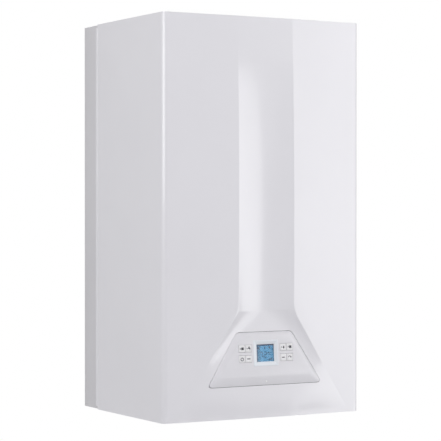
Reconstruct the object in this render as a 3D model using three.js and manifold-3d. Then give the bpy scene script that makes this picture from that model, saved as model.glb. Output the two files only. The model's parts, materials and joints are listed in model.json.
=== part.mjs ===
// Wall-hung combination boiler: casing, chassis, control panel, room-sealed burner and water side.
// Millimetres. X to the right, Y towards the wall, Z up. The wall plane is y = 0.
// The pieces are placed from the bottom edge of the casing, and the outer group lowers them so that
// the origin is the middle of the chassis on the wall plane.

import * as THREE from 'three';
import { mergeVertices } from 'three/addons/utils/BufferGeometryUtils.js';
import Module from 'manifold-3d';

const wasm = await Module();
wasm.setup();

// ---------------------------------------------------------------------------------------------
// Driving sizes
// ---------------------------------------------------------------------------------------------

// Clearances, and how far a cutter or a foot runs past the face that it meets
const CLEAR = 0.3;
const RUN_CLEAR = 0.4;
const SEAM_GAP = 0.8;
const FASCIA_GAP = 0.8;
const OVERRUN = 1;

// Casing
const CASE_WIDTH = 400;
const CASE_DEPTH = 320;
const CASE_HEIGHT = 700;
const CASE_SHEET = 1.5;
const CASE_CORNER = 10;
const CASE_FLANGE = 20;
const CROWN_MIDDLE = 10;
const CROWN_ENDS = 4;

// Channel down the front, and the flare it opens into
const CHANNEL_WIDTH = 112;
const CHANNEL_DEPTH = 12;
const CHANNEL_TOP_DROP = 74;
const CHANNEL_FADE_POWER = 0.7;
const FLARE_TOP = 187;
const FLARE_FOOT = 46;
const FLARE_SIDE_GAP = 51;
const FLARE_FADE = 30;
const FLOOR_SETBACK = 5;
const FLOOR_FLATNESS = 6;
const FLARE_BEND = 16;

// Chassis behind the side seam
const FRAME_DEPTH = 55;
const FRAME_SHEET = 1.5;
const FRAME_INSET = 1;
const FRAME_LIP = 12;
const LIP_END_GAP = 12;
const RETURN_HEIGHT = 18;
const POCKET_WIDTH = 330;
const POCKET_HEIGHT = 50;
const POCKET_DEPTH = 8;
const POCKET_DROP = 20;
const RAIL_SHEET = 3;
const RAIL_HEIGHT = 36;
const RAIL_SLOT_LENGTH = 24;
const RAIL_SLOT_WIDTH = 8;
const RAIL_SLOT_SPACING = 220;
const TOP_SHEET = 1.5;
const TOP_PLATE_GAP = 2;

// Control cradle and connection plate
const CRADLE_SHEET = 2;
const CRADLE_SIDE_GAP = 20;
const CRADLE_HEIGHT = 32;
const CRADLE_BOTTOM = 30;
const CRADLE_NOSE = 6;
const STRIP_HEIGHT = 14;
const PLATE_SHEET = 2;
const PLATE_HEIGHT = 46;
const PLATE_DEPTH = 130;
const PLATE_FLANGE = 12;

// Control panel: a trapezoid plate with a bevel, set in the flare
const PANEL_BOTTOM = 57;
const PANEL_HEIGHT = 93;
const PANEL_TOP_WIDTH = 112;
const PANEL_BOTTOM_WIDTH = 232;
const PANEL_TOP_RADIUS = 12;
const PANEL_BOTTOM_RADIUS = 6;
const PANEL_RISE = 5;
const PANEL_SKIRT = 8;
const PANEL_WALL = 2.5;
const PANEL_EDGE = 0.6;
const BEVEL_TOP = 5;
const BEVEL_SIDE = 9;
const BEVEL_BOTTOM = 16;

// Display and buttons, heights measured up the panel from its bottom edge
const DISPLAY_UP = 56;
const WINDOW_WIDTH = 43;
const WINDOW_HEIGHT = 38;
const WINDOW_BEVEL = 2.5;
const LENS_SHEET = 1.2;
const LENS_OVERLAP = 2;
const MODULE_WIDTH = 46;
const MODULE_HEIGHT = 41;
const BUTTON_WIDTH = 12.5;
const BUTTON_HEIGHT = 12.5;
const BUTTON_GAP_X = 1;
const BUTTON_GAP_Z = 5.5;
const BUTTON_BANK_OFFSET = 42;
const BUTTON_PROUD = 0.3;
const BUTTON_TRAVEL = 1;
const BUTTON_FLANGE = 1;
const BUTTON_SIDE_GAP = 0.35;
const BUTTON_STEM = 5;

// Control box behind the casing skin
const BOX_WIDTH = 344;
const BOX_BOTTOM_DROP = 19;
const BOX_HEIGHT = 134;
const BOX_DEPTH = 62;
const BOX_WALL = 2;
const BOX_APERTURE_WIDTH = 124;
const BOX_APERTURE_HEIGHT = 44;
const BOX_COVER_SHEET = 1.5;
const BOARD_WIDTH = 300;
const BOARD_HEIGHT = 108;
const BOARD_SHEET = 1.6;
const BOARD_DEPTH = 15;
const BOARD_POST_RADIUS = 4;
const HINGE_RADIUS = 4;
const HINGE_BACK = 16;
const HINGE_RISE = 8;

// Sealed chamber and what it holds, from the floor of the chamber upwards
const CHAMBER_BOTTOM = 236;
const CHAMBER_WIDTH = 304;
const CHAMBER_FRONT_GAP = 30;
const CHAMBER_BACK = 66;
const CHAMBER_SHEET = 1.5;
const COVER_SHEET = 1.5;
const COVER_OVERLAP = 8;
const SIGHT_RADIUS = 14;
const SIGHT_HEIGHT = 92;
const SIGHT_SHEET = 4;
const SIGHT_RIM = 5;
const FIREBOX_WIDTH = 236;
const FIREBOX_FRONT_GAP = 40;
const FIREBOX_SHEET = 2;
const FIREBOX_BACK_GAP = 14;
const LINING = 12;
const LINING_RISE = 12;
const BURNER_UP = 12;
const BURNER_HEIGHT = 40;
const BURNER_BLADES = 11;
const BLADE_WIDTH = 7;
const BLADE_END_GAP = 12;
const BURNER_BAR = 6;
const MANIFOLD_BAR = 14;
const MANIFOLD_UP = 24;
const NOZZLE_RADIUS = 3;
const AIR_SLOT_HEIGHT = 24;
const ELECTRODE_RADIUS = 4;
const ELECTRODE_LENGTH = 40;
const ELECTRODE_TIP = 34;
const ELECTRODE_TIP_RADIUS = 1.5;
const ELECTRODE_SPACING = 90;
const ELECTRODE_UP = 60;
const EXCHANGER_HEIGHT = 60;
const EXCHANGER_SLOTS = 15;
const EXCHANGER_SLOT_WIDTH = 8;
const EXCHANGER_CORE = 18;
const EXCHANGER_STUB_RADIUS = 10;
const EXCHANGER_STUB_LENGTH = 6;
const EXCHANGER_STUB_BACK = 14;
const HOOD_HEIGHT = 74;
const HOOD_SHEET = 1.5;
const HOOD_NECK = 78;

// Fan and flue
const FAN_OFFSET_X = 60;
const FAN_FRONT_GAP = 31;
const FAN_RADIUS = 64;
const FAN_HEIGHT = 45;
const FAN_WALL = 2;
const FAN_INLET_RADIUS = 34;
const FAN_DUCT_WIDTH = 52;
const FAN_DUCT_END = 32;
const WHEEL_RADIUS = 54;
const WHEEL_BLADES = 12;
const WHEEL_BLADE_SHEET = 2;
const WHEEL_BLADE_LENGTH = 20;
const WHEEL_DISC = 2;
const WHEEL_HUB_RADIUS = 10;
const FAN_SHAFT_RADIUS = 3;
const FAN_MOTOR_RADIUS = 36;
const FAN_MOTOR_HEIGHT = 42;
const FAN_HEADROOM = 50;
const FLUE_BACK = 150;
const FLUE_SPIGOT_RADIUS = 30;
const FLUE_SPIGOT_WALL = 1.5;
const COLLAR_RADIUS = 50;
const COLLAR_WALL = 1.5;
const COLLAR_FLANGE = 16;
const COLLAR_SKIRT = 9;
const SPIGOT_DROP = 6;
const SWITCH_RADIUS = 28;
const SWITCH_DEPTH = 24;
const SWITCH_UP = 330;
const SWITCH_BACK = 190;
const HOSE_RADIUS = 3;
const NIPPLE_RADIUS = 2.5;
const NIPPLE_LENGTH = 8;
const HOSE_DROP = 70;

// Expansion vessel in the depth of the chassis
const VESSEL_RADIUS = 150;
const VESSEL_THICKNESS = 54;
const VESSEL_HEIGHT = 420;
const VESSEL_RIM = 6;
const VESSEL_PORT_RADIUS = 7;
const VESSEL_PORT_LENGTH = 8;
const CAPILLARY_RADIUS = 5;
const CAPILLARY_DROP = 60;

// Water side and gas side
const PIPE_RADIUS = 9;
const GAS_PIPE_RADIUS = 7;
const PIPE_BEND = 12;
const PIPE_START = 1;
const TAIL_SPACING = 65;
const TAIL_BACK = 70;
const TAIL_BOTTOM = 2;
const TAIL_RADIUS = 9;
const TAIL_BORE = 7;
const NUT_RADIUS = 15;
const NUT_HEIGHT = 14;
const BLOCK_UP = 22;
const BLOCK_WIDTH = 76;
const BLOCK_DEPTH = 74;
const BLOCK_HEIGHT = 64;
const BLOCK_BACK = 50;
const SPINDLE_RADIUS = 3;
const SPINDLE_LENGTH = 60;
const SPINDLE_TRAVEL = 6;
const ACTUATOR_WIDTH = 42;
const ACTUATOR_BACK = 26;
const ACTUATOR_DEPTH = 38;
const ACTUATOR_HEIGHT = 62;
const STACK_WIDTH = 150;
const STACK_HEIGHT = 70;
const STACK_PLATES = 10;
const STACK_PITCH = 4;
const STACK_RIM = 2;
const PUMP_RADIUS = 44;
const PUMP_DEPTH = 40;
const PUMP_WALL = 4;
const PUMP_UP = 62;
const PUMP_MOTOR_RADIUS = 42;
const PUMP_MOTOR_LENGTH = 84;
const ROTOR_RADIUS = 32;
const ROTOR_VANES = 6;
const ROTOR_SHAFT_RADIUS = 4;
const BOSS_RADIUS = 12;
const BOSS_RISE = 11;
const BOSS_DROP = 3;
const VENT_RADIUS = 13;
const VENT_OFFSET = 16;
const VENT_STEM_RADIUS = 8;
const VENT_HEIGHT = 48;
const VALVE_WIDTH = 66;
const VALVE_DEPTH = 70;
const VALVE_HEIGHT = 74;
const VALVE_UP = 34;
const VALVE_BACK = 125;
const COIL_RADIUS = 14;
const COIL_SPACING = 36;
const COIL_BACK = 20;
const OUTLET_BACK = 50;
const GAS_PIPE_UP = 49;
const GAS_INLET_UP = 10;
const COIL_HEIGHT = 26;
const RELIEF_RADIUS = 12;
const RELIEF_LENGTH = 30;
const KNOB_RADIUS = 14;
const KNOB_LENGTH = 16;
const KNOB_FLUTES = 8;
const KNOB_SPINDLE_RADIUS = 3;
const KNOB_SPINDLE_LENGTH = 14;
const TAP_RADIUS = 8;
const TAP_FRONT_REACH = 14;
const GLAND_RADIUS = 9;
const GLAND_HEIGHT = 22;
const GLAND_FLANGE = 4;
const GLAND_FLANGE_HEIGHT = 6;
const GLAND_BORE = 4.5;
const GLAND_FRONT_GAP = 22;

// ---------------------------------------------------------------------------------------------
// Finishes
// ---------------------------------------------------------------------------------------------

function finish(color, roughness, metalness) {
  return new THREE.MeshStandardMaterial({ color, roughness, metalness });
}

const WHITE_PAINT = finish(0xdcdbe0, 0.3, 0);
const GREY_PAINT = finish(0xc6c5ca, 0.4, 0);
const WHITE_PLASTIC = finish(0xe0dee3, 0.35, 0);
const GREY_PLASTIC = finish(0x8d9094, 0.6, 0);
const BLACK_PLASTIC = finish(0x222326, 0.55, 0);
const RED_PLASTIC = finish(0xb3261e, 0.5, 0);
const BLUE_GLASS = finish(0x6aa3c8, 0.2, 0);
const CLEAR_GLASS = finish(0xdfe8ee, 0.05, 0);
const BOARD_GREEN = finish(0x2f6b45, 0.6, 0);
const GALVANISED = finish(0xb4b8ba, 0.45, 0.8);
const STAINLESS = finish(0xbfc1c3, 0.3, 0.9);
const COPPER = finish(0xb87850, 0.35, 0.9);
const BRASS = finish(0xc2a25a, 0.35, 0.9);
const ALUMINIUM = finish(0xb9bbbd, 0.4, 0.8);
const VESSEL_RED = finish(0x9f2c26, 0.45, 0);
const CERAMIC = finish(0xe8e4da, 0.8, 0);
const SILICONE = finish(0x6d7074, 0.7, 0);

// ---------------------------------------------------------------------------------------------
// Solids
// ---------------------------------------------------------------------------------------------

// Turns a closed three.js geometry into a solid.
function solid(geometry) {
  const bare = geometry.index ? geometry.toNonIndexed() : geometry.clone();
  bare.deleteAttribute('normal');
  bare.deleteAttribute('uv');
  const merged = mergeVertices(bare, 1e-4);
  const corners = Array.from(merged.index.array);
  const whole = corners.filter((_, i) => {
    const [a, b, c] = corners.slice(i - (i % 3), i - (i % 3) + 3);
    return a !== b && b !== c && c !== a;
  });
  const mesh = new wasm.Mesh({
    numProp: 3,
    vertProperties: new Float32Array(merged.attributes.position.array),
    triVerts: new Uint32Array(whole),
  });
  return new wasm.Manifold(mesh);
}

function geometryOf(body) {
  const mesh = body.getMesh();
  const geometry = new THREE.BufferGeometry();
  geometry.setAttribute('position', new THREE.BufferAttribute(new Float32Array(mesh.vertProperties), 3));
  geometry.setIndex(new THREE.BufferAttribute(new Uint32Array(mesh.triVerts), 1));
  const flat = geometry.toNonIndexed();
  flat.computeVertexNormals();
  return flat;
}

function piece(group, name, body, material) {
  const mesh = new THREE.Mesh(geometryOf(body), material);
  mesh.name = name;
  group.add(mesh);
  return mesh;
}

// A box between two corners.
function box(x0, x1, y0, y1, z0, z1) {
  const geometry = new THREE.BoxGeometry(1, 1, 1);
  const position = geometry.attributes.position;
  for (let i = 0; i < position.count; i += 1) {
    const x = position.getX(i) < 0 ? x0 : x1;
    const y = position.getY(i) < 0 ? y0 : y1;
    const z = position.getZ(i) < 0 ? z0 : z1;
    position.setXYZ(i, x, y, z);
  }
  return solid(geometry);
}

// A box centred on x.
function slab(width, y0, y1, z0, z1, x = 0) {
  return box(x - width / 2, x + width / 2, y0, y1, z0, z1);
}

// A profile of [radius, height] points turned about the vertical through (x, y).
function turned(points, x, y, sides = 16) {
  const outline = points.map(([radius, height]) => new THREE.Vector2(radius, height));
  const geometry = new THREE.LatheGeometry(outline, sides);
  geometry.rotateX(Math.PI / 2);
  geometry.translate(x, y, 0);
  const body = solid(geometry);
  return body.volume() > 0 ? body : solid(flipped(geometry));
}

function flipped(geometry) {
  const bare = geometry.toNonIndexed();
  const position = bare.attributes.position;
  for (let i = 0; i < position.count; i += 3) {
    const a = new THREE.Vector3().fromBufferAttribute(position, i + 1);
    const b = new THREE.Vector3().fromBufferAttribute(position, i + 2);
    position.setXYZ(i + 1, b.x, b.y, b.z);
    position.setXYZ(i + 2, a.x, a.y, a.z);
  }
  return bare;
}

// Upright, front-to-back and side-to-side cylinders.
function upright(radius, x, y, z0, z1, sides = 16) {
  const geometry = new THREE.CylinderGeometry(radius, radius, z1 - z0, sides);
  geometry.rotateX(Math.PI / 2);
  geometry.translate(x, y, (z0 + z1) / 2);
  return solid(geometry);
}

function forward(radius, x, z, y0, y1, sides = 16) {
  const geometry = new THREE.CylinderGeometry(radius, radius, y1 - y0, sides);
  geometry.translate(x, (y0 + y1) / 2, z);
  return solid(geometry);
}

function across(radius, y, z, x0, x1, sides = 16) {
  const geometry = new THREE.CylinderGeometry(radius, radius, x1 - x0, sides);
  geometry.rotateZ(Math.PI / 2);
  geometry.translate((x0 + x1) / 2, y, z);
  return solid(geometry);
}

// A round pipe along straight runs joined by bends of one radius.
function pipe(points, radius, bend, sides = 12) {
  const corners = points.map(([x, y, z]) => new THREE.Vector3(x, y, z));
  const path = new THREE.CurvePath();
  let start = corners[0];
  for (let i = 1; i < corners.length - 1; i += 1) {
    const back = corners[i - 1].clone().sub(corners[i]).normalize();
    const ahead = corners[i + 1].clone().sub(corners[i]).normalize();
    const half = Math.acos(THREE.MathUtils.clamp(back.dot(ahead), -1, 1)) / 2;
    const reach = bend / Math.tan(half);
    const inPoint = corners[i].clone().addScaledVector(back, reach);
    const outPoint = corners[i].clone().addScaledVector(ahead, reach);
    path.add(new THREE.LineCurve3(start, inPoint));
    path.add(new THREE.QuadraticBezierCurve3(inPoint, corners[i], outPoint));
    start = outPoint;
  }
  path.add(new THREE.LineCurve3(start, corners[corners.length - 1]));
  const stations = path.curves.flatMap((curve, i) => {
    const steps = curve.isQuadraticBezierCurve3 ? 5 : 1;
    const found = curve.getPoints(steps);
    return i === 0 ? found : found.slice(1);
  });
  return loft(tubeRings(stations, radius, sides));
}

// Rings of points square to the way that a row of stations runs.
function tubeRings(stations, radius, sides) {
  let side = new THREE.Vector3();
  return stations.map((point, i) => {
    const before = stations[Math.max(i - 1, 0)];
    const after = stations[Math.min(i + 1, stations.length - 1)];
    const way = after.clone().sub(before).normalize();
    if (i === 0) {
      const spare = Math.abs(way.z) > 0.9 ? new THREE.Vector3(1, 0, 0) : new THREE.Vector3(0, 0, 1);
      side = spare.cross(way).normalize();
    }
    side.addScaledVector(way, -side.dot(way)).normalize();
    const up = way.clone().cross(side);
    const ring = [];
    for (let k = 0; k < sides; k += 1) {
      const angle = (2 * Math.PI * k) / sides;
      const offset = side.clone().multiplyScalar(Math.cos(angle) * radius);
      ring.push(point.clone().add(offset).addScaledVector(up, Math.sin(angle) * radius));
    }
    return ring;
  });
}

// Joins rings of equally many points into a solid. The flat ends are filled by their own outline.
function loft(rings, capPlane = null) {
  const positions = rings.flat().flatMap((point) => [point.x, point.y, point.z]);
  const count = rings[0].length;
  const faces = [];
  for (let i = 0; i < rings.length - 1; i += 1) {
    for (let k = 0; k < count; k += 1) {
      const a = i * count + k;
      const b = i * count + ((k + 1) % count);
      faces.push(a, b, b + count, a, b + count, a + count);
    }
  }
  const cap = capPlane ?? rings[0].map((point, k) => new THREE.Vector2(
    Math.cos((2 * Math.PI * k) / count),
    Math.sin((2 * Math.PI * k) / count),
  ));
  const last = (rings.length - 1) * count;
  const turn = THREE.ShapeUtils.isClockWise(cap);
  THREE.ShapeUtils.triangulateShape(cap, []).forEach(([a, b, c]) => {
    const near = turn ? [a, b, c] : [a, c, b];
    faces.push(...near);
    faces.push(...near.map((index) => index + last).reverse());
  });
  const geometry = new THREE.BufferGeometry();
  geometry.setAttribute('position', new THREE.Float32BufferAttribute(positions, 3));
  geometry.setIndex(faces);
  const body = solid(geometry);
  return body.volume() > 0 ? body : solid(flipped(geometry));
}

// An outline of [x, y] points drawn upwards from z0 to z1.
function plate(outline, z0, z1) {
  const shape = new THREE.Shape(outline.map(([x, y]) => new THREE.Vector2(x, y)));
  const geometry = new THREE.ExtrudeGeometry(shape, { depth: z1 - z0, bevelEnabled: false });
  geometry.translate(0, 0, z0);
  return solid(geometry);
}

function joined(bodies) {
  return bodies.reduce((whole, next) => whole.add(next));
}

function cut(body, tools) {
  return tools.reduce((left, tool) => left.subtract(tool), body);
}

// ---------------------------------------------------------------------------------------------
// Front casing
// ---------------------------------------------------------------------------------------------

const HALF_WIDTH = CASE_WIDTH / 2;
const FLAT_HALF = HALF_WIDTH - CASE_CORNER;
const CHANNEL_TOP = CASE_HEIGHT - CHANNEL_TOP_DROP;
const CASE_BACK = -(FRAME_DEPTH + SEAM_GAP);

const { clamp, smoothstep } = THREE.MathUtils;

// How far the plain front, without its channel, lies behind the foremost plane.
function faceSetback(x, z) {
  const crown = CROWN_ENDS + (CROWN_MIDDLE - CROWN_ENDS) * Math.sin((Math.PI * z) / CASE_HEIGHT);
  const spread = clamp((Math.abs(x) - CHANNEL_WIDTH / 2) / (FLAT_HALF - CHANNEL_WIDTH / 2), 0, 1);
  return CROWN_MIDDLE - crown + crown * spread;
}

// Half the width of the channel, and of the flare below it.
function recessHalf(z) {
  const slope = (HALF_WIDTH - FLARE_SIDE_GAP - CHANNEL_WIDTH / 2) / (FLARE_TOP - FLARE_FOOT);
  const below = FLARE_TOP - z;
  const widened = below > 0 ? below : 0;
  const eased = Math.abs(below) < FLARE_BEND ? (below + FLARE_BEND) ** 2 / (4 * FLARE_BEND) : widened;
  return CHANNEL_WIDTH / 2 + slope * eased;
}

// How far the floor of the channel, or the flat floor of the flare, lies behind the foremost plane.
function floorSetback(z) {
  if (z >= FLARE_TOP) {
    const rise = clamp((CHANNEL_TOP - z) / (CHANNEL_TOP - FLARE_TOP), 0, 1);
    return faceSetback(0, z) + CHANNEL_DEPTH * rise ** CHANNEL_FADE_POWER;
  }
  return FLOOR_SETBACK + FLOOR_SLOPE * (z - PANEL_BOTTOM);
}

const FLARE_TOP_SETBACK = faceSetback(0, FLARE_TOP) + CHANNEL_DEPTH;
const FLOOR_SLOPE = (FLARE_TOP_SETBACK - FLOOR_SETBACK) / (FLARE_TOP - PANEL_BOTTOM);
const FLOOR_TILT = Math.atan(FLOOR_SLOPE);

// The whole front: y of the outer skin at a place on it.
function frontY(x, z) {
  const face = faceSetback(x, z);
  const flare = clamp((FLARE_TOP - z) / (CHANNEL_WIDTH / 2), 0, 1);
  const across = clamp(Math.abs(x) / recessHalf(z), 0, 1);
  const bowl = 1 - across ** (2 + FLOOR_FLATNESS * flare);
  const fade = smoothstep(z, FLARE_FOOT - FLARE_FADE, FLARE_FOOT);
  return -CASE_DEPTH + face + (floorSetback(z) - face) * bowl * fade;
}

const ARC_STEPS = 4;
const OUTER_SHARES = [1, 0.6, 0.3];
const RECESS_SHARES = [1, 0.86, 0.66, 0.42, 0.2];

// The right half of the front at one height, from the back of the side to the middle, set in by a
// distance.
function halfSection(z, inset) {
  const points = [[HALF_WIDTH - inset, CASE_BACK]];
  const arcY = -CASE_DEPTH + CROWN_MIDDLE + CASE_CORNER;
  const radius = CASE_CORNER - inset;
  for (let i = 0; i < ARC_STEPS; i += 1) {
    const angle = ((Math.PI / 2) * i) / ARC_STEPS;
    points.push([FLAT_HALF + radius * Math.cos(angle), arcY - radius * Math.sin(angle)]);
  }
  const edge = recessHalf(z);
  OUTER_SHARES.forEach((share) => {
    const x = edge + (FLAT_HALF - edge) * share;
    points.push([x, frontY(x, z) + inset]);
  });
  RECESS_SHARES.forEach((share) => points.push([edge * share, frontY(edge * share, z) + inset]));
  return points;
}

function fullSection(z, inset) {
  const right = halfSection(z, inset);
  const left = right.map(([x, y]) => [-x, y]).reverse();
  return [...right, [0, frontY(0, z) + inset], ...left];
}

// Heights at which the front is shaped: evenly spaced along each stretch of it.
function stretch(from, to, steps) {
  return Array.from({ length: steps }, (_, i) => from + ((to - from) * i) / steps);
}

const FRONT_HEIGHTS = [
  ...stretch(0, FLARE_FOOT - FLARE_FADE, 1),
  ...stretch(FLARE_FOOT - FLARE_FADE, FLARE_FOOT, 3),
  ...stretch(FLARE_FOOT, FLARE_TOP - FLARE_BEND, 5),
  ...stretch(FLARE_TOP - FLARE_BEND, FLARE_TOP + FLARE_BEND, 3),
  ...stretch(FLARE_TOP + FLARE_BEND, CHANNEL_TOP, 8),
  ...stretch(CHANNEL_TOP, CASE_HEIGHT, 2),
  CASE_HEIGHT,
];

// The rim turned in along the top and the bottom edge.
function caseFlange(z0, z1, shapeZ) {
  const rim = fullSection(shapeZ, CASE_SHEET / 2);
  const inner = HALF_WIDTH - CASE_FLANGE;
  const innerY = -CASE_DEPTH + CROWN_MIDDLE + CASE_FLANGE;
  const outline = [...rim, [-inner, CASE_BACK], [-inner, innerY], [inner, innerY], [inner, CASE_BACK]];
  return plate(outline, z0, z1);
}

// Corners of the panel, each with its fillet radius: half-widths are measured at the plate's ends.
function panelOutline(grow, insets, steps = 4) {
  const top = PANEL_HEIGHT + grow - insets.top;
  const bottom = insets.bottom - grow;
  const slope = (PANEL_BOTTOM_WIDTH - PANEL_TOP_WIDTH) / 2 / PANEL_HEIGHT;
  const sideShift = (grow - insets.side) * Math.hypot(1, slope);
  const halfAt = (up) => PANEL_BOTTOM_WIDTH / 2 - slope * up + sideShift;
  const corners = [
    [halfAt(bottom), bottom, PANEL_BOTTOM_RADIUS],
    [halfAt(top), top, PANEL_TOP_RADIUS],
    [-halfAt(top), top, PANEL_TOP_RADIUS],
    [-halfAt(bottom), bottom, PANEL_BOTTOM_RADIUS],
  ];
  return corners.flatMap(([x, y, radius], i) => {
    const here = new THREE.Vector2(x, y);
    const before = new THREE.Vector2(...corners[(i + 3) % 4].slice(0, 2)).sub(here).normalize();
    const after = new THREE.Vector2(...corners[(i + 1) % 4].slice(0, 2)).sub(here).normalize();
    const half = Math.acos(before.dot(after)) / 2;
    const reach = radius / Math.tan(half);
    const curve = new THREE.QuadraticBezierCurve(
      here.clone().addScaledVector(before, reach),
      here,
      here.clone().addScaledVector(after, reach),
    );
    return curve.getPoints(steps).map((point) => [point.x, point.y]);
  });
}

// The panel and the box behind it are drawn flat, with x across, y inwards and z up the panel, and
// then leaned back on the floor of the flare.
function onFloor(body) {
  const degrees = THREE.MathUtils.radToDeg(FLOOR_TILT);
  const floorY = -CASE_DEPTH + FLOOR_SETBACK;
  return body.rotate([-degrees, 0, 0]).translate([0, floorY, PANEL_BOTTOM]);
}

const NO_INSET = { top: 0, side: 0, bottom: 0 };

// A prism of the panel's outline. Rises are measured out of the floor, towards the front.
function panelPrism(grow, insets, riseBack, riseFront) {
  const rings = [riseBack, riseFront].map((rise) => panelRing(grow, insets, rise));
  return loft(rings, panelCap(grow, insets));
}

function panelRing(grow, insets, rise) {
  return panelOutline(grow, insets).map(([x, up]) => new THREE.Vector3(x, -rise, up));
}

function panelCap(grow, insets) {
  return panelOutline(grow, insets).map(([x, up]) => new THREE.Vector2(x, up));
}

function buildCasing(group) {
  const rings = FRONT_HEIGHTS.map((z) => [
    ...fullSection(z, 0),
    ...fullSection(z, CASE_SHEET).reverse(),
  ].map(([x, y]) => new THREE.Vector3(x, y, z)));
  const cap = rings[0].map((point) => new THREE.Vector2(point.x, point.y));
  const opening = onFloor(panelPrism(FASCIA_GAP, NO_INSET, -CASE_CORNER, CASE_CORNER));
  const shell = joined([
    loft(rings, cap),
    caseFlange(0, CASE_SHEET, 0),
    caseFlange(CASE_HEIGHT - CASE_SHEET, CASE_HEIGHT, CASE_HEIGHT),
  ]);
  piece(group, 'front_casing', shell.subtract(opening), WHITE_PAINT);
}

// ---------------------------------------------------------------------------------------------
// Chassis
// ---------------------------------------------------------------------------------------------

const FRAME_HALF = HALF_WIDTH - FRAME_INSET;
const FRAME_TOP = CASE_HEIGHT - FRAME_INSET;
const LIP_OUTER = HALF_WIDTH - CASE_SHEET - CLEAR;
const POCKET_TOP = CASE_HEIGHT - POCKET_DROP;
const PLATE_TOP = CASE_HEIGHT - CASE_SHEET - CLEAR;
const PLATE_UNDER = PLATE_TOP - TOP_SHEET;
const FRONT_LIMIT = -(CASE_DEPTH - CROWN_MIDDLE - CASE_SHEET - TOP_PLATE_GAP);
const BACK_PANEL = -FRAME_SHEET - CLEAR;

function buildFrame(group) {
  const pocketBottom = POCKET_TOP - POCKET_HEIGHT;
  const pan = cut(slab(2 * FRAME_HALF, -FRAME_DEPTH, 0, FRAME_INSET, FRAME_TOP), [
    slab(
      2 * (FRAME_HALF - FRAME_SHEET),
      -FRAME_DEPTH - OVERRUN,
      -FRAME_SHEET,
      -OVERRUN,
      FRAME_TOP - FRAME_SHEET,
    ),
  ]);
  const lips = [-1, 1].map((side) => {
    const outer = side * LIP_OUTER;
    const inner = side * (LIP_OUTER - FRAME_SHEET);
    const overlap = FRAME_SHEET;
    return box(
      Math.min(inner, outer),
      Math.max(inner, outer),
      -FRAME_DEPTH - FRAME_LIP,
      -FRAME_DEPTH + overlap,
      LIP_END_GAP,
      CASE_HEIGHT - LIP_END_GAP,
    );
  });
  const edge = slab(
    2 * FRAME_HALF - FRAME_SHEET,
    -FRAME_DEPTH,
    -FRAME_DEPTH + FRAME_SHEET,
    FRAME_TOP - RETURN_HEIGHT,
    FRAME_TOP - FRAME_SHEET / 2,
  );
  const pocketShell = slab(
    POCKET_WIDTH + 2 * FRAME_SHEET,
    -POCKET_DEPTH - FRAME_SHEET,
    -FRAME_SHEET / 2,
    pocketBottom - FRAME_SHEET,
    POCKET_TOP + FRAME_SHEET,
  );
  const pocket = slab(POCKET_WIDTH, -POCKET_DEPTH, 1, pocketBottom, POCKET_TOP);
  const frame = joined([pan, ...lips, edge, pocketShell]).subtract(pocket);
  piece(group, 'rear_frame', frame, GREY_PAINT);

  const railTop = POCKET_TOP - CLEAR;
  const railWidth = POCKET_WIDTH - 2 * RAIL_SHEET;
  const slots = [-1, 1].map((side) => slab(
    RAIL_SLOT_LENGTH,
    -POCKET_DEPTH,
    1,
    railTop - (RAIL_HEIGHT + RAIL_SLOT_WIDTH) / 2,
    railTop - (RAIL_HEIGHT - RAIL_SLOT_WIDTH) / 2,
    (side * RAIL_SLOT_SPACING) / 2,
  ));
  const rail = joined([
    slab(railWidth, -RAIL_SHEET, 0, railTop - RAIL_HEIGHT, railTop),
    slab(railWidth, -POCKET_DEPTH + CLEAR, -RAIL_SHEET / 2, railTop - RAIL_SHEET, railTop),
  ]);
  piece(group, 'wall_rail', cut(rail, slots), GALVANISED);

  const plateBack = -FRAME_DEPTH - CLEAR;
  const corner = CASE_CORNER;
  const outline = [
    [-LIP_OUTER, plateBack],
    [-LIP_OUTER, FRONT_LIMIT + corner],
    [-LIP_OUTER + corner, FRONT_LIMIT],
    [LIP_OUTER - corner, FRONT_LIMIT],
    [LIP_OUTER, FRONT_LIMIT + corner],
    [LIP_OUTER, plateBack],
  ];
  const top = joined([
    plate(outline, PLATE_UNDER, PLATE_TOP),
    slab(
      2 * (LIP_OUTER - FRAME_LIP),
      plateBack - TOP_SHEET,
      plateBack,
      PLATE_UNDER - RETURN_HEIGHT + FRAME_INSET,
      PLATE_TOP - TOP_SHEET / 2,
    ),
  ]);
  const flueHole = upright(
    COLLAR_RADIUS + CLEAR,
    0,
    -FLUE_BACK,
    PLATE_UNDER - OVERRUN,
    PLATE_TOP + OVERRUN,
    24,
  );
  piece(group, 'top_plate', top.subtract(flueHole), GALVANISED);
}

// ---------------------------------------------------------------------------------------------
// Cradle that the control box swings on, and connection plate
// ---------------------------------------------------------------------------------------------

const HINGE_UP = -BOX_BOTTOM_DROP + HINGE_RISE;
const HINGE_IN = HINGE_BACK * Math.cos(FLOOR_TILT) + HINGE_UP * Math.sin(FLOOR_TILT);
const HINGE_Y = -CASE_DEPTH + FLOOR_SETBACK + HINGE_IN;
const HINGE_Z = PANEL_BOTTOM + HINGE_UP * Math.cos(FLOOR_TILT) - HINGE_BACK * Math.sin(FLOOR_TILT);
const CRADLE_HALF = CASE_WIDTH / 2 - CRADLE_SIDE_GAP;

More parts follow.
